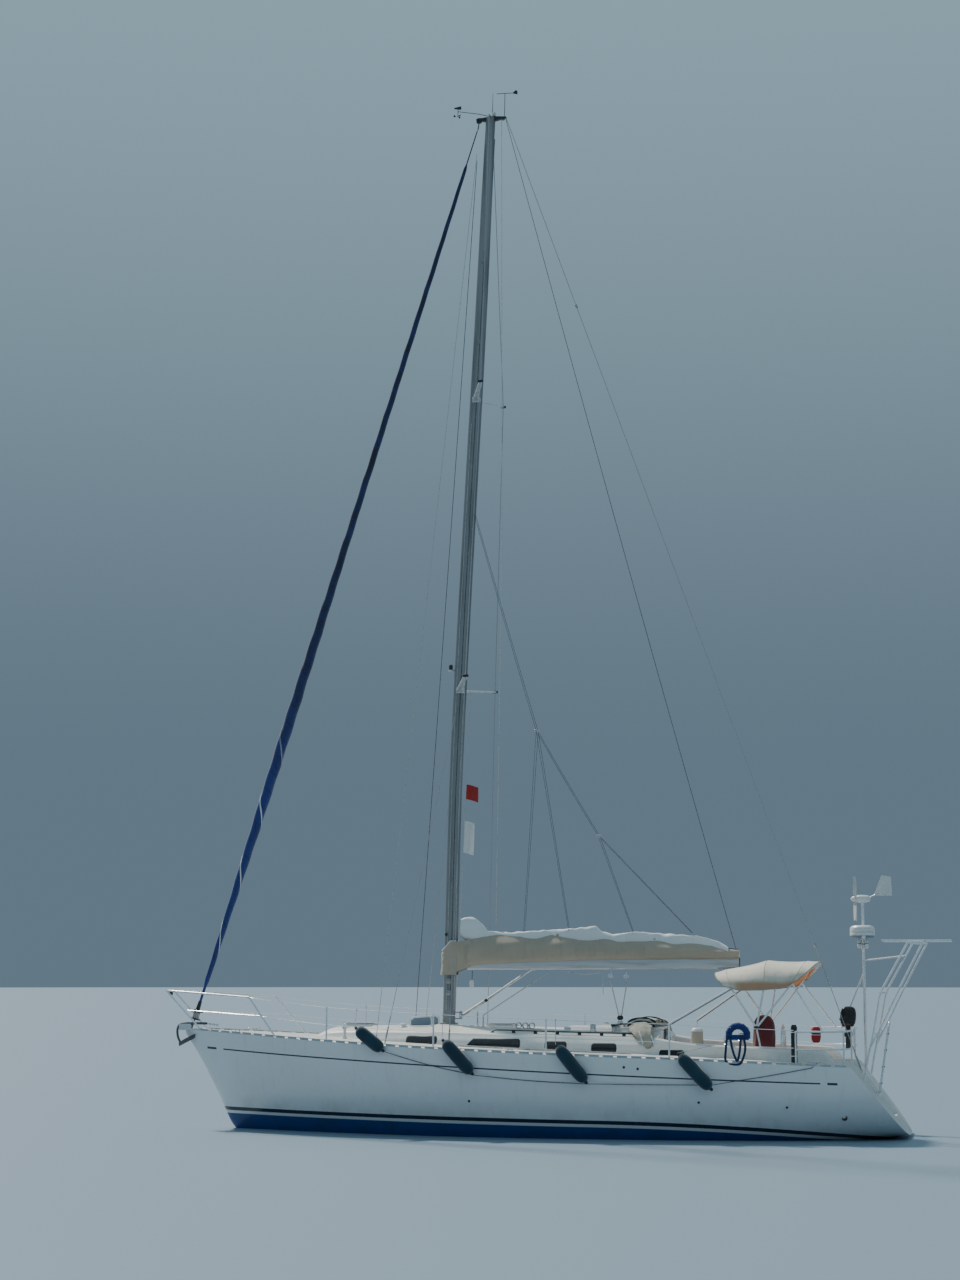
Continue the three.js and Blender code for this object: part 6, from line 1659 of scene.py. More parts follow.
class YACHT_OT_rails(bpy.types.Operator):
    """Pulpit, pushpits, stanchions and guard wires"""
    bl_idname = "yacht.rails"
    bl_label = "Guard rails"

    def execute(self, context):
        sizes = sizes_of(context)
        self.pulpit()
        for side, sign in SIDES:
            self.guard_rail(side, sign, sizes.lifeline / 2)
            self.pushpit(side, sign)
        return {"FINISHED"}

    def pulpit(self):
        """Bent rail round the bow on two legs a side, with a lower rail and the bow light."""
        def mirrored(points):
            other = [[x, -y, z] for x, y, z in points if y != 0][::-1]
            return np.array(points + other)

        top = mirrored([[5.01, 0.78, 2.27], [5.90, 0.52, 2.33], [6.74, 0.19, 2.38], [6.80, 0, 2.385]])
        top = top[np.abs(top[:, 1]) > 0]
        middle = mirrored([[4.74, 0.873, 1.95], [6.33, 0.187, 2.035]])[:2]
        tubes = [bent(top, 0.0165, 0.16, 12)]
        for _, sign in SIDES:
            flip = np.array([1, sign, 1])
            tubes.append(tube(middle * flip, 0.008, 10))
            for head, x in (([5.01, 0.78, 2.27], 4.47), ([6.72, 0.20, 2.38], 6.06)):
                foot = edge(x, 1, 0.0)
                tubes.append(tube(np.array([foot, head]) * flip, 0.016, 12))
                tubes.append(lathe([[-0.002, 0.036], [0.006, 0.034], [0.010, 0.018], [0.04, 0.017]],
                                   foot * flip, (0, 0, 1), 16))
        lamp = [lathe([[0, 0.03], [0.06, 0.035], [0.075, 0.02]], (6.70, 0, 2.30), (0, 0, 1)).wearing(1)]
        piece("bow_pulpit", tubes + lamp, ["polished_tube", "dark_plastic"], replaces=["pulpit"])

    def guard_rail(self, side, sign, wire):
        """Tapered stanchions in their sockets, and two wires that sag 6 mm between them."""
        feet = edge(np.array(STANCHIONS), sign, 0.0)
        parts = []
        for foot in feet:
            parts.append(lathe([[0.0, 0.016], [RAIL_HEIGHT - 0.004, 0.0145], [RAIL_HEIGHT + 0.004, 0.010]],
                               foot, (0, 0, 1), 14))
            parts.append(lathe([[-0.004, 0.034], [0.005, 0.032], [0.01, 0.018], [0.07, 0.017],
                                [0.075, 0.014]], foot, (0, 0, 1), 16))
        for height, fore, aft in (
            (RAIL_HEIGHT - 0.012, (5.01, 0.786, 2.262), (-4.43, 1.69, 1.77)),
            (RAIL_HEIGHT / 2 - 0.012, (4.74, 0.884, 1.946), (-4.43, 1.69, 1.49)),
        ):
            path = np.vstack([[[fore[0], sign * fore[1], fore[2]]], feet + [0, 0, height],
                              [[aft[0], sign * aft[1], aft[2]]]])
            spans = [hanging(a, b, 0.006, 9)[: (9 if k == len(path) - 2 else 8)]
                     for k, (a, b) in enumerate(zip(path[:-1], path[1:]))]
            parts.append(tube(np.vstack(spans), wire, 8))
            for start, towards in ((path[0], path[1]), (path[-1], path[-2])):
                parts.append(lathe([[0.01, 0.005], [0.03, 0.008], [0.10, 0.008], [0.13, 0.005]], start,
                                   unit(towards - start), 10))
        piece(f"guard_rail_tubes_{side}", parts, "polished_tube", replaces=[f"guard_rail_{side}"])

    def pushpit(self, side, sign):
        """Two bent rails on three legs at the quarter."""
        bends = [[-4.46, 1.69], [-4.90, 1.60], [-5.21, 1.43], [-5.27, 1.15], [-5.28, 0.49]]
        parts = []
        for z, radius in ((1.75, 0.017), (1.465, 0.013)):
            parts.append(bent([[x, sign * y, z] for x, y in bends], radius, 0.12, 12))
        for k in (0, 2, 4):
            x, y = bends[k]
            foot = np.array([x, sign * y, float(deck_height(x, y)) - 0.01])
            parts.append(tube([foot, [x, sign * y, 1.762]], 0.014, 12))
            parts.append(lathe([[0, 0.036], [0.012, 0.034], [0.016, 0.018], [0.04, 0.017]], foot,
                               (0, 0, 1), 16))
        piece(f"pushpit_tubes_{side}", parts, "polished_tube", replaces=[f"pushpit_{side}"])


class YACHT_OT_hatches(bpy.types.Operator):
    """Deck hatches, sliding hatch with its garage, washboards, traveller and locker lids"""
    bl_idname = "yacht.hatches"
    bl_label = "Hatches"

    def execute(self, context):
        for name, (x, half) in DECK_HATCHES.items():
            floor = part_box(f"{name}_hatch")[0][2]
            frame_parts = [
                block((x - half + 0.015, -half + 0.015, floor),
                      (x + half - 0.015, half - 0.015, floor + 0.016), 0.006),
                block((x - half + 0.045, -half + 0.045, floor + 0.010),
                      (x + half - 0.045, half - 0.045, floor + 0.024), 0.01).wearing(1),
            ]
            for _, sign in SIDES:
                frame_parts.append(tube([[x + half - 0.015, sign * (half - 0.13), floor + 0.030],
                                         [x + half - 0.015, sign * (half - 0.07), floor + 0.030]],
                                        0.008, 12))
                frame_parts.append(block((x - half + 0.05, sign * 0.12 - 0.02, floor + 0.02),
                                         (x - half + 0.09, sign * 0.12 + 0.02, floor + 0.0285),
                                         0.006).wearing(2))
            piece(f"{name}_hatch_lid", frame_parts, ["anodised_alloy", "smoked_acrylic", "dark_plastic"],
                  f"{name}_hatch", [f"{name}_hatch"])
        self.companionway()
        self.traveller()
        for side, sign in SIDES:
            inner, outer = sorted((sign * 0.60, sign * 0.985))
            floor = COCKPIT["bench"] + 0.0003
            lid = [block((-3.90, inner, floor), (-2.50, outer, floor + 0.020), 0.012)]
            for k in range(7):
                start = -3.86 + k * 0.192
                lid.append(block((start, inner + 0.03, floor + 0.012),
                                 (start + 0.184, outer - 0.03, floor + 0.0253), 0.004, 2).wearing(1))
            for x in (-3.70, -2.76):
                lid.append(tube([[x, sign * 0.985, floor + 0.030], [x + 0.06, sign * 0.985, floor + 0.030]],
                                0.008, 12).wearing(2))
            piece(f"locker_lid_top_{side}", lid, ["white_gelcoat", "plank", "stainless"],
                  f"locker_lid_{side}", [f"locker_lid_{side}"])
        return {"FINISHED"}

    def companionway(self):
        """Garage: a shell over the slide, its front sloping down; each rib of the slope is a level
        section."""
        t = np.linspace(0, 1, 12)
        x = np.concatenate([[-1.30, -1.29], np.linspace(-1.2, -0.56, 6), -0.52 + 0.14 * t[1:]])
        top = np.interp(-x, [0.38, 0.52, 1.30], [1.742, 1.800, 1.800])
        y = np.linspace(-1, 1, 25)
        lift = 0.02 * (1 - y**2)
        rows = []
        for xx, tt in zip(x, top):
            floor = roof_height(xx, 0.42 * y) - 0.01
            crest = tt - 0.02 + lift - 0.035 * np.clip((np.abs(y) - 0.9) / 0.1, 0, 1) ** 2
            rows.append(np.concatenate([
                xyz(xx, 0.42 * y, np.maximum(crest, floor + 0.002)),
                xyz(xx, 0.42 * y, floor)[::-1],
            ]))
        cover = loft(rows)
        cover_piece = piece("hatch_garage_cover", [cover], ["white_gelcoat", "dark_plastic"],
                            replaces=["hatch_garage"])
        carve(cover_piece, [block((-2.4, -0.372, 1.60), (-0.45, 0.372, 1.7815), 0.01)])
        runners = []
        for _, sign in SIDES:
            low, high = sorted((sign * 0.372, sign * 0.42))
            runners.append(block((-2.146, low, 1.64), (-1.295, high, 1.780), 0.012))
            low, high = sorted((sign * 0.337, sign * 0.40))
            runners.append(block((-2.146, low, 1.70), (-1.295, high, 1.7447), 0.004))
        piece("hatch_runners", runners, "white_gelcoat")
        slide = [
            block((-2.165, -0.355, 1.7456), (-1.325, 0.355, 1.768), 0.01),
            block((-2.10, -0.30, 1.760), (-1.36, 0.30, 1.7728), 0.008).wearing(1),
            block((-2.165, -0.33, 1.752), (-2.145, 0.33, 1.7728), 0.006).wearing(2),
        ]
        piece("sliding_hatch", slide, ["white_gelcoat", "smoked_acrylic", "plank"], "companion_hatch",
              ["companion_hatch"])
        boards = [block((-2.174, -0.32, 0.88 + 0.2855 * k), (-2.1503, 0.32, 0.88 + 0.2855 * k + 0.284),
                        0.005, 2) for k in range(3)]
        boards.append(lathe([[0, 0.016], [0.02, 0.02], [0.03, 0.012]], (-2.174, 0, 1.60),
                            (-1, 0, 0)).wearing(1))
        piece("washboard_set", boards, ["smoked_acrylic", "stainless"], replaces=["washboards"])

    def traveller(self):
        """Track on four feet across the roof, with its car."""
        beam = [block((-1.385, -0.81, 1.806), (-1.325, 0.81, 1.826), 0.006),
                tube([[-1.355, -0.80, 1.83], [-1.355, 0.80, 1.83]], 0.012, 8).wearing(1)]
        car = block((-1.40, -0.06, 1.830), (-1.31, 0.06, 1.868), 0.014)
        bail = bent([[-1.385, 0, 1.86], [-1.375, 0, 1.90], [-1.335, 0, 1.90], [-1.325, 0, 1.86]], 0.006,
                    0.02, 8)
        feet = []
        for y in (-0.77, -0.49, 0.49, 0.77):
            base = float(roof_height(-1.355, y)) - 0.008
            feet.append(block((-1.38, y - 0.03, base), (-1.33, y + 0.03, 1.81), 0.012).wearing(1))
        ends = [block((-1.39, s * 0.80 - 0.03, 1.80), (-1.32, s * 0.80 + 0.03, 1.84), 0.008)
                for s in (-1, 1)]
        piece("mainsheet_traveller", [*beam, car, bail.wearing(2), *feet, *ends],
              ["dark_plastic", "anodised_alloy", "stainless"], replaces=["traveller"])


class YACHT_OT_sprayhood(bpy.types.Operator):
    """Sprayhood folded down in a long roll over the front of the companionway"""
    bl_idname = "yacht.sprayhood"
    bl_label = "Folded sprayhood"

    def execute(self, context):
        """Roll: at each breadth an oval ring whose radius carries soft lengthwise folds, radius * (1 + 0.10
        * sin of 3a + 0.07 * sin of 7a), both winding along the roll, with crossed waves on top."""
        table = np.array(HOOD)
        both = np.vstack([table, table[-2::-1] * [-1, 1, 1, 1, 1]])
        rows = along(both, np.linspace(0, len(both) - 1, 110))
        angle = circle(44)
        share = np.linspace(0, 1, 110)[:, None]
        fold = 1 + 0.10 * np.sin(3 * angle + 3.0 * np.sin(5 * share)) + 0.07 * np.sin(7 * angle
                                                                                      - 6 * share * np.pi)
        base = xyz(rows[:, 2:3] + rows[:, 3:4] * 0.94 * np.cos(angle) * fold, rows[:, 0:1],
                   rows[:, 1:2] + rows[:, 4:5] * np.sin(angle) * fold)
        base[..., 2] += wavy(base * [1.0, 1.2, 2.0], 14.0, 0.010, 11)
        base[..., 0] += wavy(base * [1.0, 2.0, 1.0], 9.0, 0.012, 12)
        centre = np.abs(base[..., 1]) < 0.43
        base[..., 2] = np.where(centre, np.maximum(base[..., 2], 1.786), base[..., 2])
        floor = roof_height(base[..., 0], np.clip(base[..., 1], -1.1, 1.1)) + 0.004
        over_roof = (base[..., 0] > -2.14) & (np.abs(base[..., 1]) < 1.12)
        base[..., 2] = np.where(over_roof, np.maximum(base[..., 2], floor), base[..., 2])
        roll = loft(base)
        straps = []
        for y in (-0.9, -0.45, 0.45, 0.9):
            row = at(both, y)
            ring = xyz(row[2] + (row[3] * 1.02) * np.cos(angle[:23]), y,
                       row[1] + (row[4] * 1.16) * np.sin(angle[:23]))
            straps.append(tube(ring, 0.018, 8, flat=0.25).wearing(1))
        hood = piece("folded_sprayhood", [roll, *straps], ["hood_canvas", "dark_plastic"],
                     replaces=["sprayhood"], sharp=180)
        hoops = []
        for offset, lift in ((-0.10, 0.02), (0.08, 0.03)):
            path = xyz(rows[::3, 2] + offset, rows[::3, 0] * 1.01, rows[::3, 1] + lift)
            hoops.append(tube(path, 0.0125, 10))
        piece("sprayhood_hoops", hoops, "stainless")
        return {"FINISHED"}


class YACHT_OT_cockpit(bpy.types.Operator):
    """Winches, steering pedestal with its cloth cover, and the wheel"""
    bl_idname = "yacht.cockpit"
    bl_label = "Cockpit"

    def execute(self, context):
        for side, sign in SIDES:
            piece(f"primary_winch_drum_{side}", winch(-3.30, sign * 1.118, 1.4402, 1.0),
                  ["stainless", "dark_plastic"], replaces=[f"primary_winch_{side}"])
        angle = circle(40)
        rows = along([[1.438, 0.112], [1.50, 0.108], [1.60, 0.102], [1.70, 0.100], [1.755, 0.094],
                      [1.78, 0.070], [1.786, 0.020]], np.linspace(0, 6, 34))
        pleat = 1 + 0.035 * np.sin(7 * angle + 3 * rows[:, :1]) * (1.80 - rows[:, :1]) / 0.36
        hood = xyz(-2.80 + rows[:, 1:] * pleat * np.cos(angle), 1.118 + rows[:, 1:] * pleat * np.sin(angle),
                   rows[:, :1])
        cap = lathe([[1.735, 0.101], [1.768, 0.092], [1.791, 0.066], [1.794, 0.02]], (-2.80, 1.118, 0),
                    sides=32)
        covered = piece("covered_winch", [loft(hood), cap.wearing(1)], ["sand_canvas", "white_plastic"],
                        sharp=60)
        column = lathe([[0.0003, 0.150], [0.012, 0.152], [0.020, 0.148], [0.035, 0.115], [0.060, 0.092],
                        [0.30, 0.086], [0.56, 0.080], [0.66, 0.092], [0.74, 0.120], [0.795, 0.119],
                        [0.80, 0.11]], (PEDESTAL_X, 0, COCKPIT["sole"]), sides=32)
        shaft = tube([[PEDESTAL_X, 0, WHEEL["z"]], [-4.06, 0, WHEEL["z"]]], 0.030, 20)
        pin = tube([[PEDESTAL_X, 0, WHEEL["z"]], [-4.134, 0, WHEEL["z"]]], 0.014, 16)
        piece("pedestal_column", [column, shaft.wearing(1), pin.wearing(1)], ["white_gelcoat", "stainless"],
              replaces=["steering_pedestal"])
        self.cover()
        self.wheel()
        return {"FINISHED"}

    def cover(self):
        """Cloth hood over the instruments: rings whose radius swells with gathers, deeper towards the hem."""
        table = [[1.372, 0.176, 0.170], [1.45, 0.186, 0.182], [1.60, 0.190, 0.190], [1.83, 0.180, 0.175],
                 [1.92, 0.145, 0.140], [1.965, 0.100, 0.095], [1.983, 0.045, 0.045]]
        rows = along(table, np.linspace(0, 6, 50))
        angle = circle(64)
        deep = np.clip((1.9 - rows[:, 0:1]) / 0.5, 0, 1)
        height = rows[:, :1]
        gather = 1 + 0.030 * deep * np.sin(9 * angle + 2.0 * np.sin(6 * height))
        gather += 0.014 * np.sin(4 * angle + 9 * height)
        outer = xyz(PEDESTAL_X + 0.01 + rows[:, 1:2] * gather * 0.985 * np.cos(angle),
                    rows[:, 2:3] * gather * 0.985 * np.sin(angle), rows[:, :1])
        inner = outer.copy()
        inner[..., 0] -= 0.004 * np.cos(angle)
        inner[..., 1] -= 0.004 * np.sin(angle)
        inner[..., 2] -= 0.004 * np.linspace(0, 1, 50)[:, None] ** 4
        hood = loft(np.concatenate([inner[::-1], outer]))
        cord = tube(xyz(PEDESTAL_X + 0.01 + 0.186 * np.cos(angle), 0.182 * np.sin(angle), 1.43), 0.005, 6,
                    loop=True).wearing(1)
        drawcord = piece("hood_drawcord", [cord], "white_rope")
        hood_piece = piece("pedestal_hood", [hood], "maroon_canvas", replaces=["pedestal_cover"],
                           sharp=70)

    def wheel(self):
        """Rim, hub and six spokes that taper outwards."""
        centre = np.array([WHEEL["x"], 0, WHEEL["z"]])
        rim = swirl(centre, WHEEL["radius"], 0.0145, (1, 0, 0), 72)
        hub = lathe([[-0.0383, 0.020], [-0.030, 0.041], [0.045, 0.042], [0.0596, 0.040]], centre,
                    (1, 0, 0), 28)
        spokes = []
        for k in range(6):
            angle = k * np.pi / 3
            out = np.array([0, np.sin(angle), np.cos(angle)])
            spokes.append(tube(centre + out * np.linspace(0.03, WHEEL["radius"], 8)[:, None],
                               np.linspace(0.0085, 0.0065, 8), 10))
        piece("wheel_ring", [rim, hub, *spokes], "stainless", "steering_wheel", ["steering_wheel"])


class YACHT_OT_bimini(bpy.types.Operator):
    """Sun awning over the cockpit, stretched on three hoops, with its props and straps"""
    bl_idname = "yacht.bimini"
    bl_label = "Bimini"

    def execute(self, context):
        self.canopy()
        self.frame_tubes()
        return {"FINISHED"}

    def awning(self, u, a, inset):
        """Skin at row u and angle a: with s = sin a and rise = (1 - |s| ** 5) ** 0.5, a point moves from
        the hem towards the crown by rise, y = half * s, and the crown dips by a tenth of s squared."""
        columns = [np.interp(u, range(5), [row[k] for row in BIMINI])[:, None] for k in range(5)]
        crown_x, crown_z, hem_x, hem_z, half = columns
        s = np.sin(a)
        rise = (1 - np.abs(s) ** 5).clip(0, 1) ** 0.5
        return xyz(hem_x + (crown_x - hem_x) * rise, (half - inset) * s,
                   hem_z + (crown_z - hem_z - inset) * rise * (1 - 0.10 * s**2)), rise

    def canopy(self):
        """Sheet on three hoops. Between hoops it sags by 4 * s * (1 - s) of up to 22 mm, with fine
        puckers."""
        hoop_rows = np.array([0.0, 0.5, 2.0, 3.5, 4.0])
        u = np.linspace(0, 4, 130)
        span = np.searchsorted(hoop_rows, u, side="right").clip(1, 4) - 1
        share = (u - hoop_rows[span]) / (hoop_rows[span + 1] - hoop_rows[span])
        free = (hoop_rows[span + 1] - hoop_rows[span]) > 1.0
        sag = np.where(free, 4 * share * (1 - share) * 0.022, 4 * share * (1 - share) * 0.004)
        a = np.linspace(-np.pi / 2, np.pi / 2, 90)

        def arch(inset, lower):
            """One side of the cloth, drawn in by inset and let down by lower at its crown."""
            points, rise = self.awning(u, a, inset)
            points[..., 2] -= (sag[:, None] + lower) * rise
            ripple = wavy(points * [1.0, 1.0, 0.3], 6.0, 0.006, 21)
            ripple = ripple + wavy(points * [0.4, 2.2, 0.3], 12.0, 0.0028, 22)
            points[..., 2] += ripple * rise
            points[..., 1] += wavy(points * [1.6, 0.1, 1.0], 8.0, 0.006, 23) * (1 - rise)
            return points

        outer, inner = arch(0.0, 0.0), arch(0.0075, 0.001)
        sheet = loft(np.concatenate([outer, inner[:, ::-1]], 1))
        binding = [tube(outer[:, k] * 0.5 + inner[:, k] * 0.5, 0.0085, 8).wearing(1) for k in (0, -1)]
        binding += [tube(outer[k] * 0.5 + inner[k] * 0.5, 0.0085, 8).wearing(1) for k in (0, -1)]
        seams = [tube(outer[k] + [0, 0, 0.001], 0.0035, 5).wearing(1) for k in (18, 65, 110)]
        top = piece("awning", [sheet, *binding, *seams], ["canopy_canvas", "hood_canvas", "canopy_underside_glow"],
                    replaces=["bimini_canopy"], sharp=80)

        def chooser(centre, normal):
            """The painted glow of the underside: faces that look down under the cloth or inwards beside it.
            """
            worn = np.zeros(len(top.data.polygons), np.int32)
            top.data.polygons.foreach_get("material_index", worn)
            inwards = (normal[:, 2] < -0.25) | (normal[:, 1] * centre[:, 1] < -0.25)
            return np.where((worn == 0) & inwards, 2, worn)

        set_materials(top, chooser)

    def frame_tubes(self):
        """Hoops that follow the awning 26 mm inside it and meet at a pivot on each side, with their props."""
        hoops = []
        a = np.linspace(-np.pi / 2, np.pi / 2, 40)
        pivot = np.array([-3.79, 1.215, 1.80])
        for u in (0.5, 2.0, 3.5):
            arch = self.awning(np.array([u]), a, 0.026)[0][0]
            path = np.vstack([pivot * [1, -1, 1], arch, pivot])
            hoops.append(tube(path, 0.0165, 12))
        for _, sign in SIDES:
            flip = np.array([1, sign, 1])
            hoops.append(tube(np.array([[-3.86, 1.19, 1.42], pivot]) * flip, 0.014, 12))
            hoops.append(lathe([[0, 0.034], [0.012, 0.032], [0.02, 0.018]],
                               np.array([-3.86, 1.19, 1.476]) * flip))
            hoops.append(block(pivot * flip - [0.03, 0.02, 0.03], pivot * flip + [0.03, 0.02, 0.03],
                               0.012).wearing(1))
            fore_end, aft_end = (self.awning(np.array([u]), a[-1:], 0.026)[0][0, 0] * flip
                                 for u in (0.5, 3.5))
            hoops.append(tube([fore_end, edge(-2.44, sign, 0.57)], 0.0155, 10))
            hoops.append(tube([aft_end, np.array([-4.90, 1.60, 1.75]) * flip], 0.0155, 10))
            hoops.append(tube([fore_end - [0.0, 0, 0.02], edge(-2.44, sign, 0.545)], 0.012, 6,
                              flat=0.2).wearing(1))
        piece("bimini_hoops", hoops, ["polished_tube", "dark_plastic"], replaces=["bimini_frame"])


class YACHT_OT_stern_gear(bpy.types.Operator):
    """Gantry with its solar panel, pole with radar dome and wind generator, outboard motor and swim ladder"""
    bl_idname = "yacht.stern_gear"
    bl_label = "Stern gear"

    def execute(self, context):
        self.gantry()
        self.pole()
        self.turbine()
        self.motor()
        self.ladder()
        return {"FINISHED"}

    def gantry(self):
        """Two bent legs a side with three cross tubes, and the solar panel on top."""
        half = 1.10
        fore = [[-5.50, 0.90], [-5.56, 1.25], [-5.68, 1.77], [-5.79, 2.36], [-6.26, 3.19]]
        aft = [[-5.62, 1.50], [-5.86, 1.95], [-6.03, 2.30], [-6.50, 3.19]]
        parts = []
        for _, sign in SIDES:
            for leg in (fore, aft):
                parts.append(bent([[x, sign * half, z] for x, z in leg], 0.0175, 0.12, 12))
            parts.append(tube([[-6.26, sign * half, 3.19], [-6.50, sign * half, 3.19]], 0.0175, 12))
            foot = np.array([-5.50, sign * half, 0.90])
            parts.append(lathe([[-0.01, 0.04], [0.012, 0.038], [0.02, 0.02]], foot, (0.3, 0, 1), 16))
            parts.append(tube([[-5.68, sign * half, 1.77], [-5.72, sign * half, 1.68]], 0.012, 10))
        for x, z in ((-5.79, 2.36), (-6.26, 3.19), (-6.50, 3.19)):
            parts.append(tube([[x, -half, z], [x, half, z]], 0.0165, 12))
        parts.append(tube([[-6.14, -half, 2.98], [-5.42, -1.25, 2.90]], 0.015, 10))
        piece("gantry_tubes", parts, "polished_tube", replaces=["gantry_frame"])
        rim = [block((-6.94, -0.64, 3.2053), (-5.81, 0.64, 3.236), 0.006)]
        rim.append(block((-6.915, -0.615, 3.225), (-5.835, 0.615, 3.2395), 0.004).wearing(1))
        rim += [block((x - 0.02, -0.62, 3.2055), (x + 0.02, 0.62, 3.222), 0.004) for x in (-6.26, -6.50)]
        rim.append(block((-6.45, -0.07, 3.196), (-6.32, 0.07, 3.212), 0.008).wearing(2))
        piece("solar_panel_face", rim, ["polished_tube", "solar_cells", "dark_plastic"],
              replaces=["solar_panel"])

    def pole(self):
        """Pole of the wind generator with its stays and the shelf that carries the radar dome, aerials and
        lamp."""
        x, y = TURBINE["x"], TURBINE["y"]
        parts = [
            tube([[x, y, 0.90], [x, y, 3.835]], 0.024, 20),
            tube([[x, y, 3.80], [x, y, 3.88]], 0.012, 14),
            lathe([[0, 0.045], [0.01, 0.044], [0.018, 0.03]], (x, y, 1.165)),
            block((x - 0.05, y - 0.02, 3.262), (x + 0.05, -0.91, 3.275), 0.006),
            tube([[x, y, 3.02], [x, -1.02, 3.262]], 0.010, 10),
            tube([[x, y, 2.70], [-5.0, -1.545, 1.75]], 0.016, 12),
            block((x - 0.036, y - 0.036, 3.22), (x + 0.036, y + 0.036, 3.30), 0.012),
        ]
        piece("pole_tube", parts, "polished_tube", replaces=["wind_pole"])
        seat = (x, -1.0, 3.275)
        dome = [
            # The dome's lower part wears the blue grey of white plastic in shade: painted shade.
            lathe([[0.0003, 0.150], [0.006, 0.178], [0.016, 0.196], [0.045, 0.204], [0.052, 0.204]], seat,
                  sides=40).wearing(2),
            lathe([[0.050, 0.2145], [0.058, 0.2155], [0.098, 0.2155], [0.104, 0.213]], seat, sides=40),
            lathe([[0.102, 0.2125], [0.110, 0.2125]], seat, sides=40).wearing(1),
            lathe([[0.108, 0.214], [0.114, 0.2155], [0.155, 0.2145], [0.190, 0.206], [0.212, 0.182],
                   [0.2225, 0.14], [0.2250, 0.08], [0.2252, 0.02]], seat, sides=40),
        ]
        piece("radar_dome", dome, ["white_plastic", "dark_plastic", "blue_grey_painted_shade"], replaces=["radome"],
              sharp=25)
        aerials = []
        for dx, dy, drop in ((0.065, -1.09, 0.16), (0.0, -1.12, 0.19), (-0.065, -1.06, 0.17)):
            foot = (x + dx, dy, 3.2695)
            aerials.append(lathe([[0, 0.016], [0.02, 0.030], [drop - 0.03, 0.031], [drop - 0.01, 0.026],
                                  [drop, 0.012]], foot, (0, 0, -1), 20))
            aerials.append(lathe([[drop * 0.45, 0.0325], [drop * 0.45 + 0.01, 0.0325]], foot, (0, 0, -1),
                                 20).wearing(1))
        piece("small_aerials", aerials, ["white_plastic", "dark_plastic"])
        lamp = [lathe([[0, 0.03], [0.045, 0.034], [0.06, 0.022]], (x - 0.03, -0.80, 3.262), (0, 0, 1), 16)]
        lamp.append(tube([[x - 0.03, -0.91, 3.266], [x - 0.03, -0.78, 3.266]], 0.008, 8).wearing(1))
        piece("pole_lamp", lamp, ["white_plastic", "stainless"])

    def turbine(self):
        """Streamlined body with its tail fin, and six blades: oval sections that taper and untwist
        outwards."""
        x, y, z = TURBINE["x"], TURBINE["y"], TURBINE["z"]
        face = TURBINE["face"]
        body = lathe([[0, 0.060], [0.012, 0.066], [0.10, 0.066], [0.16, 0.062], [0.205, 0.050],
                      [0.226, 0.030]], (face, y, z), (-1, 0, 0), 32)
        neck = lathe([[0.0003, 0.026], [0.03, 0.026], [0.06, 0.032], [0.09, 0.04]], (x, y, 3.835), sides=20)
        tail = tube([[-5.53, y, 3.98], [-5.60, y, 4.01], [-5.70, y, 4.07]], 0.012, 10)
        outline = [[-5.632, 4.012], [-5.618, 4.024], [-5.744, 4.352], [-5.762, 4.364], [-5.900, 4.340],
                   [-5.913, 4.328], [-5.927, 4.022], [-5.914, 4.010]]
        fin = plate(outline, 0.008, (0, y + 0.004, 0))
        piece("wind_generator_body", [body, neck, tail.wearing(1), fin], ["white_plastic", "stainless"],
              "turbine_head", ["turbine_head"], 40)
        hub = lathe([[0.0003, 0.056], [0.03, 0.058], [0.06, 0.050], [0.095, 0.032], [0.1145, 0.010]],
                    (face, y, z), (1, 0, 0), 28)
        u = np.linspace(0, 1, 14)[:, None]
        chord = 0.036 * np.sin(np.pi * (0.10 + 0.72 * u)) ** 0.6
        twist = np.radians(30 * (1 - u) ** 1.5 + 34)
        s = circle(12)
        out = 0.035 + (TURBINE["radius"] - 0.037) * u
        flat_x, thick = chord * np.cos(s), 0.0042 * (1 - 0.5 * u) * np.sin(s)
        across = flat_x * np.cos(twist) - thick * np.sin(twist)
        fore = flat_x * np.sin(twist) + thick * np.cos(twist)
        blades = []
        for k in range(6):
            turn = (k + 0.5) * np.pi / 3
            radial, tangent = np.array([0, np.sin(turn), np.cos(turn)]), np.array([0, np.cos(turn),
                                                                                   -np.sin(turn)])
            centre = np.array([face + 0.04, y, z])
            blades.append(loft(centre + out[..., None] * radial + across[..., None] * tangent
                               + fore[..., None] * np.array([1.0, 0, 0])).wearing(1))
        piece("wind_generator_blades", [hub, *blades], ["white_plastic", "lamp_glass"], "turbine_rotor",
              ["turbine_rotor"], 50)

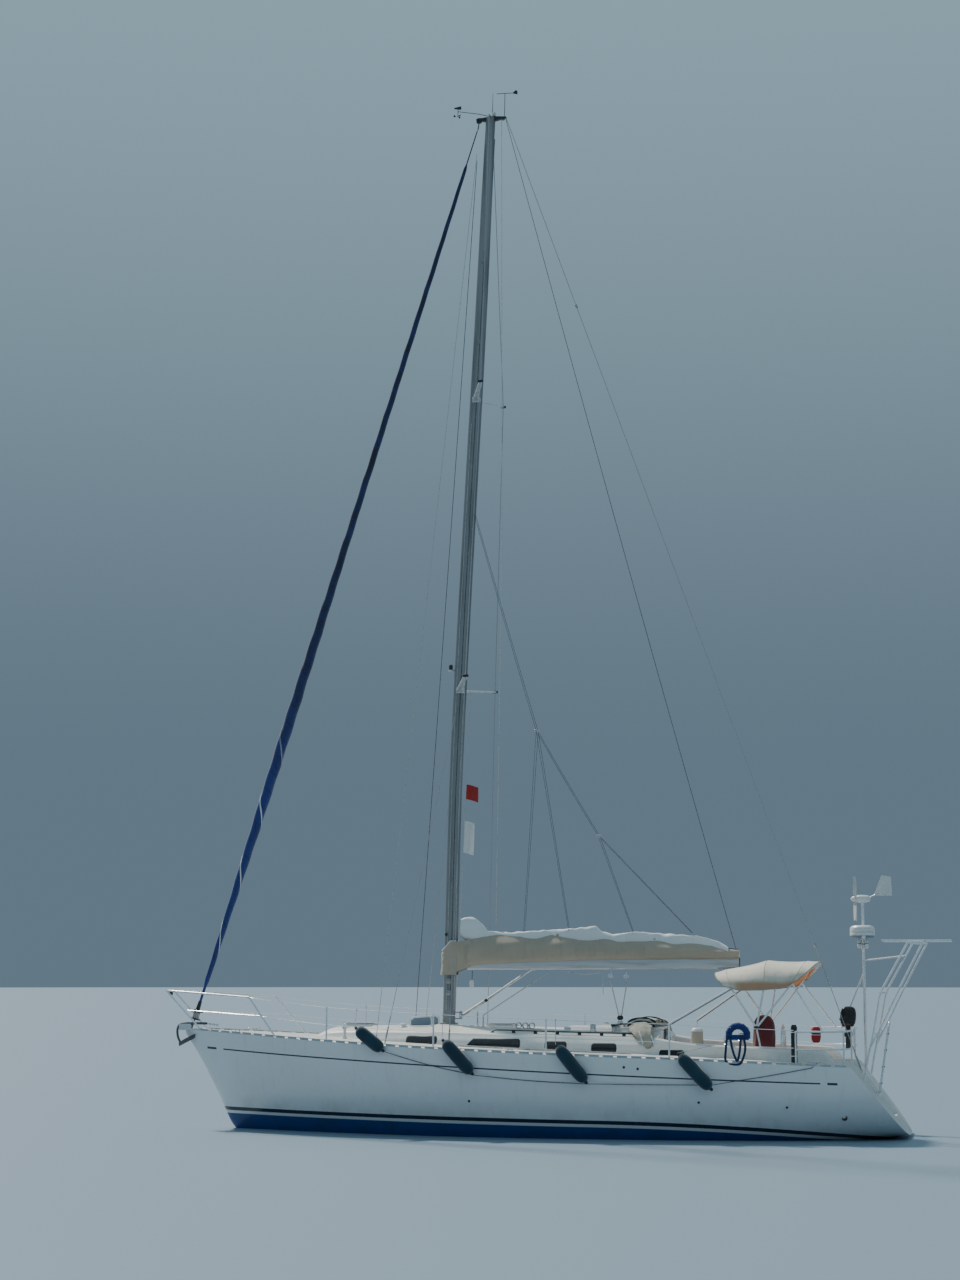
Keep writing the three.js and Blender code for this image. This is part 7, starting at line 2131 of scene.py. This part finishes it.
    def motor(self):
        """Cowl: rounded-rectangle levels that swell and close over the top; leg and skeg below."""
        x, y = -5.125, -1.25
        levels = [[1.80, 0.105, 0.082], [1.84, 0.125, 0.096], [1.93, 0.135, 0.102], [2.02, 0.128, 0.098],
                  [2.08, 0.108, 0.086], [2.108, 0.07, 0.06], [2.118, 0.03, 0.03]]
        rows = along(levels, np.linspace(0, 6, 30))
        ring = corner_outline(1.0, 1.0, 0.55, 6)
        cowl = xyz(x - 0.05 * (rows[:, 0:1] - 1.80) + rows[:, 1:2] * ring[:, 0],
                   y + rows[:, 2:3] * ring[:, 1], rows[:, 0:1])
        parts = [
            loft(cowl),
            block((x - 0.10, y - 0.080, 1.775), (x + 0.10, y + 0.080, 1.806), 0.014).wearing(1),
            block((x - 0.045, y - 0.040, 1.38), (x + 0.045, y + 0.040, 1.79), 0.03).wearing(1),
            block((x - 0.075, y - 0.055, 1.60), (x + 0.075, y + 0.055, 1.69), 0.02).wearing(1),
            tube([[x + 0.08, y, 1.85], [x + 0.20, y, 1.90], [x + 0.30, y + 0.01, 1.93]],
                 [0.014, 0.016, 0.018], 12).wearing(1),
        ]
        low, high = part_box("outboard_motor")
        parts = [clamped(part, low, high) for part in parts]
        piece("spare_outboard", parts, ["motor_black", "dark_plastic"], replaces=["outboard_motor"],
              sharp=40)

    def ladder(self):
        """Folded swim ladder: a bent frame with four treads, hinged between two cheeks on the stern."""
        lean = LADDER["lean"]

        def rung(distance, y):
            """A point up the leaning ladder, at a distance from its hinge."""
            return np.array([LADDER["x"] - distance * math.sin(lean), LADDER["y"] + y,
                             LADDER["z"] + distance * math.cos(lean)])

        half = LADDER["half"]
        reach = (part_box("swim_ladder")[1][2] - LADDER["z"]) / math.cos(lean) - 0.014
        legs = [rung(0, -half), rung(reach, -half), rung(reach, half), rung(0, half)]
        parts = [bent(legs, 0.0125, 0.10, 12)]
        for sign in (-1, 1):
            parts.append(lathe([[-0.013, 0.0155], [0.013, 0.0155]], rung(0, sign * half), (0, 1, 0), 16))
        for k in range(4):
            distance = 0.14 + 0.27 * k
            a, b = rung(distance, -half), rung(distance, half)
            parts.append(tube([a, b], 0.0105, 10))
            parts.append(block(np.minimum(a, b) + [-0.022, 0.03, -0.006],
                               np.maximum(a, b) + [0.022, -0.03, 0.014], 0.006).wearing(1))
        piece("ladder_rails", parts, ["stainless", "dark_plastic"], "swim_ladder", ["swim_ladder"])
        cheeks = []
        for k in (-1, 1):
            near, far = sorted((LADDER["y"] + k * (half + 0.028), LADDER["y"] + k * (half + 0.040)))
            cheeks.append(block((LADDER["x"] - 0.02, near, LADDER["z"] - 0.02),
                                (-5.56, far, LADDER["z"] + 0.02), 0.005))
            cheeks.append(tube([rung(0, k * (half + 0.0165)), rung(0, k * (half + 0.040))], 0.0065, 12))
        piece("ladder_bracket", cheeks, "stainless")


class YACHT_OT_loose_gear(bpy.types.Operator):
    """Fenders with their lanyards, horseshoe buoy with its webbing, sleeve, throwing bag and stowed ropes"""
    bl_idname = "yacht.loose_gear"
    bl_label = "Fenders and loose gear"

    def execute(self, context):
        self.fenders()
        self.buoy()
        self.bags()
        self.coils()
        return {"FINISHED"}

    def fenders(self):
        """Body: radius = 0.112 * (1 - |2s - 1| ** 5) ** 0.45 along its length, in a knitted cover."""
        feet = []
        for k, (head_x, head_z, foot_x, foot_z) in enumerate(FENDERS):
            middle = (head_x + foot_x) / 2
            y = float(at(HULL, middle)[1]) + 0.104
            head, foot = np.array([head_x, y, head_z]), np.array([foot_x, y, foot_z])
            length = np.linalg.norm(foot - head)
            axis = unit(foot - head)
            s = np.linspace(0.0, 1.0, 40)
            core = (1 - np.abs(2 * s - 1) ** 5).clip(0, 1) ** 0.45
            profile = np.stack([0.045 + (length - 0.09) * s, np.maximum(FENDER_RADIUS * core, 0.026)], -1)
            body = lathe(profile, head, axis, 28)
            body.points += unit(body.points - (head + foot) / 2) * wavy(body.points, 16.0, 0.0035,
                                                                        30 + k)[:, None]
            eyes = [lathe([[0.0, 0.012], [0.01, 0.024], [0.05, 0.030]], end, way, 14).wearing(1)
                    for end, way in ((head, axis), (foot, -axis))]
            top = edge(head_x + 0.03, 1, 0.568) if k < 3 else edge(-3.31, 1, 0.30)
            lanyard = [tube(hanging(top, head, 0.0, 8), 0.0055, 6).wearing(2),
                       swirl(top, 0.016, 0.006, (1, 0, 0), 12).wearing(2)]
            piece(f"fender_cover_{k + 1}", [body, *eyes, *lanyard],
                  ["fender_cover", "dark_plastic", "white_rope"], replaces=[f"fender_{k + 1}"],
                  sharp=50)
            feet.append(foot)
        points = [feet[0]]
        feet[3] = np.array([-3.12, feet[3][1], 0.905])
        for a, b, slack in zip(feet[:-1], feet[1:], (0.03, 0.025, 0.008)):
            sag = hanging(a, b, slack, 7)[1:]
            x = sag[:, 0]
            outside = hull_y(x, np.minimum(sag[:, 2], at(HULL, x)[:, 2] - 0.02)) + 0.012
            sag[:-1, 1] = np.maximum(outside[:-1], sag[:-1, 1] - 0.10)
            points += list(sag)
        tail = np.array([[-3.50, 0, 0.965], [-3.906, 0, 1.03], [-4.30, 0, 1.10], [-4.72, 0, 1.18]])
        tail[:, 1] = hull_y(tail[:, 0], tail[:, 2]) + 0.014
        points += list(tail) + [edge(-4.78, 1, 0.05, 0.05)]
        piece("fender_foot_line", [tube(np.array(points), 0.006, 6)], "dark_rope")

    def buoy(self):
        """Horseshoe: an open ring in a puckered cover between bands, with two slack loops of webbing under
        it."""
        line = edge(-3.54, 1, 0.0)
        y = float(line[1]) - 0.048
        angle = np.radians(np.linspace(-27, 207, 48))
        path = xyz(-3.54 + 0.150 * np.cos(angle), y, 1.69 + 0.150 * np.sin(angle))
        radius = 0.054 * (1 - np.abs(np.linspace(-1, 1, 48)) ** 12 * 0.55)
        radius = radius * (1 + 0.035 * np.cos(np.linspace(0, 2 * np.pi * 11, 48)))
        ring = tube(path, radius, 18)
        ring.points[:, 1] += wavy(ring.points, 20.0, 0.004, 41)
        low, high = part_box("horseshoe_buoy")
        ring = clamped(ring, low, high)
        bands = [swirl(path[k], 0.0575, 0.006, path[k + 1] - path[k - 1], 20).wearing(k % 2)
                 for k in range(4, 46, 5)]
        floor_cloth = block((-3.70, y - 0.045, 1.615), (-3.38, y + 0.040, 1.70), 0.03)
        cover = piece("horseshoe_cover", [ring, *bands, floor_cloth], ["blue_cover", "webbing"],
                      replaces=["horseshoe_buoy"], sharp=60)
        straps = []
        for points in (
            [[-3.366, 0.05, 1.66], [-3.355, 0.10, 1.50], [-3.345, 0.115, 1.30], [-3.40, 0.115, 1.245],
             [-3.56, 0.11, 1.235], [-3.625, 0.11, 1.32], [-3.665, 0.10, 1.48], [-3.64, 0.05, 1.66]],
            [[-3.42, 0.055, 1.66], [-3.46, 0.095, 1.46], [-3.53, 0.105, 1.29], [-3.575, 0.10, 1.44],
             [-3.59, 0.055, 1.66]],
        ):
            run = np.array(points) + [0, y, 0]
            straps.append(tube(flowing(run, 60), 0.019, 8, flat=0.45))
        piece("buoy_harness", straps, "webbing", sharp=60)

    def bags(self):
        """Upright sleeve turned on its axis, and the throwing bag, whose levels are rounded rectangles."""
        low, high = np.array(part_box("danbuoy_sleeve"))
        middle = (low + high) / 2
        height = high[2] - low[2]
        radius = min(high[0] - low[0], high[1] - low[1]) / 2
        s = np.linspace(0, 1, 30)
        profile = np.stack([height * s, radius * (0.98 - 0.35 * np.clip((s - 0.93) / 0.07, 0, 1) ** 2
                                                  - 0.30 * np.clip((0.03 - s) / 0.03, 0, 1))], -1)
        sleeve = lathe(profile, (middle[0], middle[1], low[2]), sides=24)
        straps = [swirl((middle[0], middle[1], z), radius * 0.99, 0.008, (0, 0, 1), 20).wearing(1)
                  for z in (low[2] + 0.14, high[2] - 0.12)]
        pole_top = tube([[middle[0], middle[1], high[2] - 0.02], [middle[0], middle[1], high[2] - 0.001]],
                        0.02, 10).wearing(1)
        piece("lifebuoy_sleeve", [sleeve, *straps, pole_top], ["motor_black", "white_plastic"],
              replaces=["danbuoy_sleeve"])
        rows = along([[1.575, 0.035, 0.022], [1.60, 0.062, 0.042], [1.68, 0.076, 0.050],
                      [1.78, 0.070, 0.046], [1.82, 0.052, 0.032], [1.832, 0.028, 0.016]],
                     np.linspace(0, 5, 26))
        ring = corner_outline(1.0, 1.0, 0.6, 6)
        bag = xyz(-4.78 + rows[:, 1:2] * ring[:, 0], 1.565 + rows[:, 2:3] * ring[:, 1], rows[:, :1])
        bag += wavy(bag, 24.0, 0.006, 51)[..., None] * [0.6, 1.0, 0.4]
        band = tube(xyz(-4.78 + 0.078 * ring[:, 0], 1.565 + 0.052 * ring[:, 1], 1.70), 0.006, 6,
                    loop=True).wearing(1)
        throwing = piece("throwing_bag", [loft(bag), band], ["red_cloth", "white_plastic"],
                         sharp=70)

    def coils(self):
        """Halyard tail in three upright hanks of five turns. Each turn is an oval in x and z, shifted
        sideways by more than the rope's breadth, to and fro, and the rope runs on from each hank to the
        next along the roof."""
        lead = flowing([[1.22, 0.27, 0], [0.95, 0.33, 0], [0.62, 0.47, 0], [0.36, 0.50, 0]], 28)
        angle = np.linspace(0, 2 * np.pi * 5, 5 * 20 + 1)
        shift = 0.0165 * angle / (2 * np.pi)
        flat_points, lifts = [lead[:-1]], [np.zeros(27)]
        for k, middle in enumerate((0.305, 0.190, 0.075)):
            across = 0.50 + (shift if k % 2 == 0 else 5 * 0.0165 - shift)
            flat_points.append(xyz(middle - 0.047 * np.sin(angle), across, 0))
            lifts.append(0.046 * (1 - np.cos(angle)))
        flat_points.append(np.array([[0.02, 0.583, 0.0], [-0.04, 0.59, 0.0], [-0.10, 0.60, 0.0]]))
        lifts.append(np.zeros(3))
        run = np.vstack(flat_points)
        middles = np.concatenate([lead[:-1, 0], np.repeat((0.305, 0.190, 0.075), 101), [0.02, -0.04, -0.10]])
        run[:, 2] = roof_height(middles, run[:, 1]) + 0.0075 + np.concatenate(lifts)
        hanks = piece("halyard_hanks", [tube(run, 0.0055, 8)], "white_rope")


class YACHT_OT_drive(bpy.types.Operator):
    """Hub and blades of the folding propeller"""
    bl_idname = "yacht.drive"
    bl_label = "Drive"

    def execute(self, context):
        centre = np.array([PROPELLER["x"], 0, PROPELLER["z"]])
        hub = lathe([[-0.1303, 0.016], [-0.12, 0.034], [-0.06, 0.048], [0.0, 0.052], [0.0296, 0.050]],
                    centre, (1, 0, 0), 24)
        u = np.linspace(0, 1, 14)[:, None]
        s = circle(14)
        chord = 0.085 * np.sin(np.pi * (0.12 + 0.80 * u)) ** 0.8
        twist = np.radians(62 - 34 * u)
        out = 0.035 + (PROPELLER["radius"] - 0.037) * u
        across = chord * np.cos(s) * np.cos(twist) - 0.006 * (1.1 - u) * np.sin(s) * np.sin(twist)
        fore = chord * np.cos(s) * np.sin(twist) * 0.7 + 0.006 * (1.1 - u) * np.sin(s) * np.cos(twist)
        blades = []
        for k in range(3):
            turn = 2 * np.pi * k / 3
            radial, tangent = np.array([0, np.sin(turn), np.cos(turn)]), np.array([0, np.cos(turn),
                                                                                   -np.sin(turn)])
            blades.append(loft(centre + [-0.045, 0, 0] + out[..., None] * radial
                               + across[..., None] * tangent + fore[..., None] * np.array([1.0, 0, 0])))
        low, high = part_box("propeller")
        piece("propeller_blades", [clamped(p, low, high) for p in (hub, *blades)], "bronze", "propeller",
              ["propeller"], 50)
        return {"FINISHED"}


class YACHT_OT_stage(bpy.types.Operator):
    """Pale floor at the waterline, soft studio light and the camera"""
    bl_idname = "yacht.stage"
    bl_label = "Stage"

    def execute(self, context):
        floor_finish = Finish("floor", (0.22, 0.30, 0.37), 0.45)
        floor_finish.set("Base Color", floor_finish.mixed(floor_finish.noise(0.05, 2.0) * 0.3,
                                                          (0.22, 0.30, 0.37), (0.195, 0.27, 0.34)))
        radius, turns = np.linspace(0.01, 400, 40), circle(64)
        flat = xyz(radius[:, None] * np.cos(turns), radius[:, None] * np.sin(turns), 0)
        piece("floor", [grid(flat, ring=True)], "floor", body=None)
        self.sky(context)
        for name, energy, colour, size, turn in (
            ("key", 4.3, (1.0, 0.94, 0.86), 5.0, (40, 0, 50)),
            ("fill", 0.12, (0.62, 0.82, 1.0), 30.0, (58, 0, 205)),
        ):
            light = bpy.data.lights.new(name, "SUN")
            light.energy = energy
            light.color = colour
            light.angle = math.radians(size)
            lamp = bpy.data.objects.new(name, light)
            lamp.rotation_euler = [math.radians(v) for v in turn]
            context.scene.collection.objects.link(lamp)
        camera = bpy.data.cameras.new("camera")
        camera.lens = CAMERA["lens"]
        camera.clip_end = 1000.0
        eye = bpy.data.objects.new("camera", camera)
        eye.location = CAMERA["place"]
        eye.rotation_euler = (math.radians(90 + CAMERA["pitch"]), 0, math.radians(180 + CAMERA["azimuth"]))
        context.scene.collection.objects.link(eye)
        context.scene.camera = eye
        return {"FINISHED"}

    def sky(self, context):
        """Soft light that is brightest overhead and sinks to a plain slate tone at the horizon."""
        world = bpy.data.worlds.new("studio")
        context.scene.world = world
        world.use_nodes = True
        nodes, links = world.node_tree.nodes, world.node_tree.links
        place, split = nodes.new("ShaderNodeTexCoord"), nodes.new("ShaderNodeSeparateXYZ")
        ramp = nodes.new("ShaderNodeValToRGB")
        ramp.color_ramp.interpolation = "EASE"
        low, high = ramp.color_ramp.elements[0], ramp.color_ramp.elements[1]
        low.position, low.color = 0.07, (0.25, 0.37, 0.48, 1.0)
        high.position, high.color = 0.45, (0.55, 0.83, 1.0, 1.0)
        links.new(place.outputs["Generated"], split.inputs[0])
        links.new(split.outputs["Z"], ramp.inputs[0])
        links.new(ramp.outputs[0], nodes["Background"].inputs["Color"])
        nodes["Background"].inputs["Strength"].default_value = 0.50


class YACHT_PT_panel(bpy.types.Panel):
    """Lists the steps in the sidebar of the 3D view"""
    bl_idname = "YACHT_PT_panel"
    bl_label = "Sailing yacht"
    bl_space_type = "VIEW_3D"
    bl_region_type = "UI"
    bl_category = "Yacht"

    def draw(self, context):
        for name in YachtSizes.__annotations__:
            self.layout.prop(context.scene.yacht_sizes, name)
        for step in STEPS:
            self.layout.operator(step.bl_idname)


STEPS = (
    YACHT_OT_stage,
    YACHT_OT_hull,
    YACHT_OT_deck,
    YACHT_OT_rig,
    YACHT_OT_headsail,
    YACHT_OT_sail_bag,
    YACHT_OT_running_rigging,
    YACHT_OT_rails,
    YACHT_OT_hatches,
    YACHT_OT_sprayhood,
    YACHT_OT_cockpit,
    YACHT_OT_bimini,
    YACHT_OT_stern_gear,
    YACHT_OT_loose_gear,
    YACHT_OT_drive,
)


def register():
    for part in (YachtSizes, *STEPS, YACHT_PT_panel):
        bpy.utils.register_class(part)
    bpy.types.Scene.yacht_sizes = bpy.props.PointerProperty(type=YachtSizes)


def unregister():
    del bpy.types.Scene.yacht_sizes
    for part in (YACHT_PT_panel, *reversed(STEPS), YachtSizes):
        bpy.utils.unregister_class(part)


def main():
    """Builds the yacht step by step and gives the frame's own parts their finish."""
    register()
    make_finishes(bpy.context.scene.yacht_sizes)
    for step in STEPS:
        group, name = step.bl_idname.split(".")
        getattr(getattr(bpy.ops, group), name)()
    for name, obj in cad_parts.items():
        if not obj.hide_render:
            obj.data.materials.clear()
            obj.data.materials.append(FINISHES[LEFT_FINISH[name]])


if __name__ == "__main__":
    main()
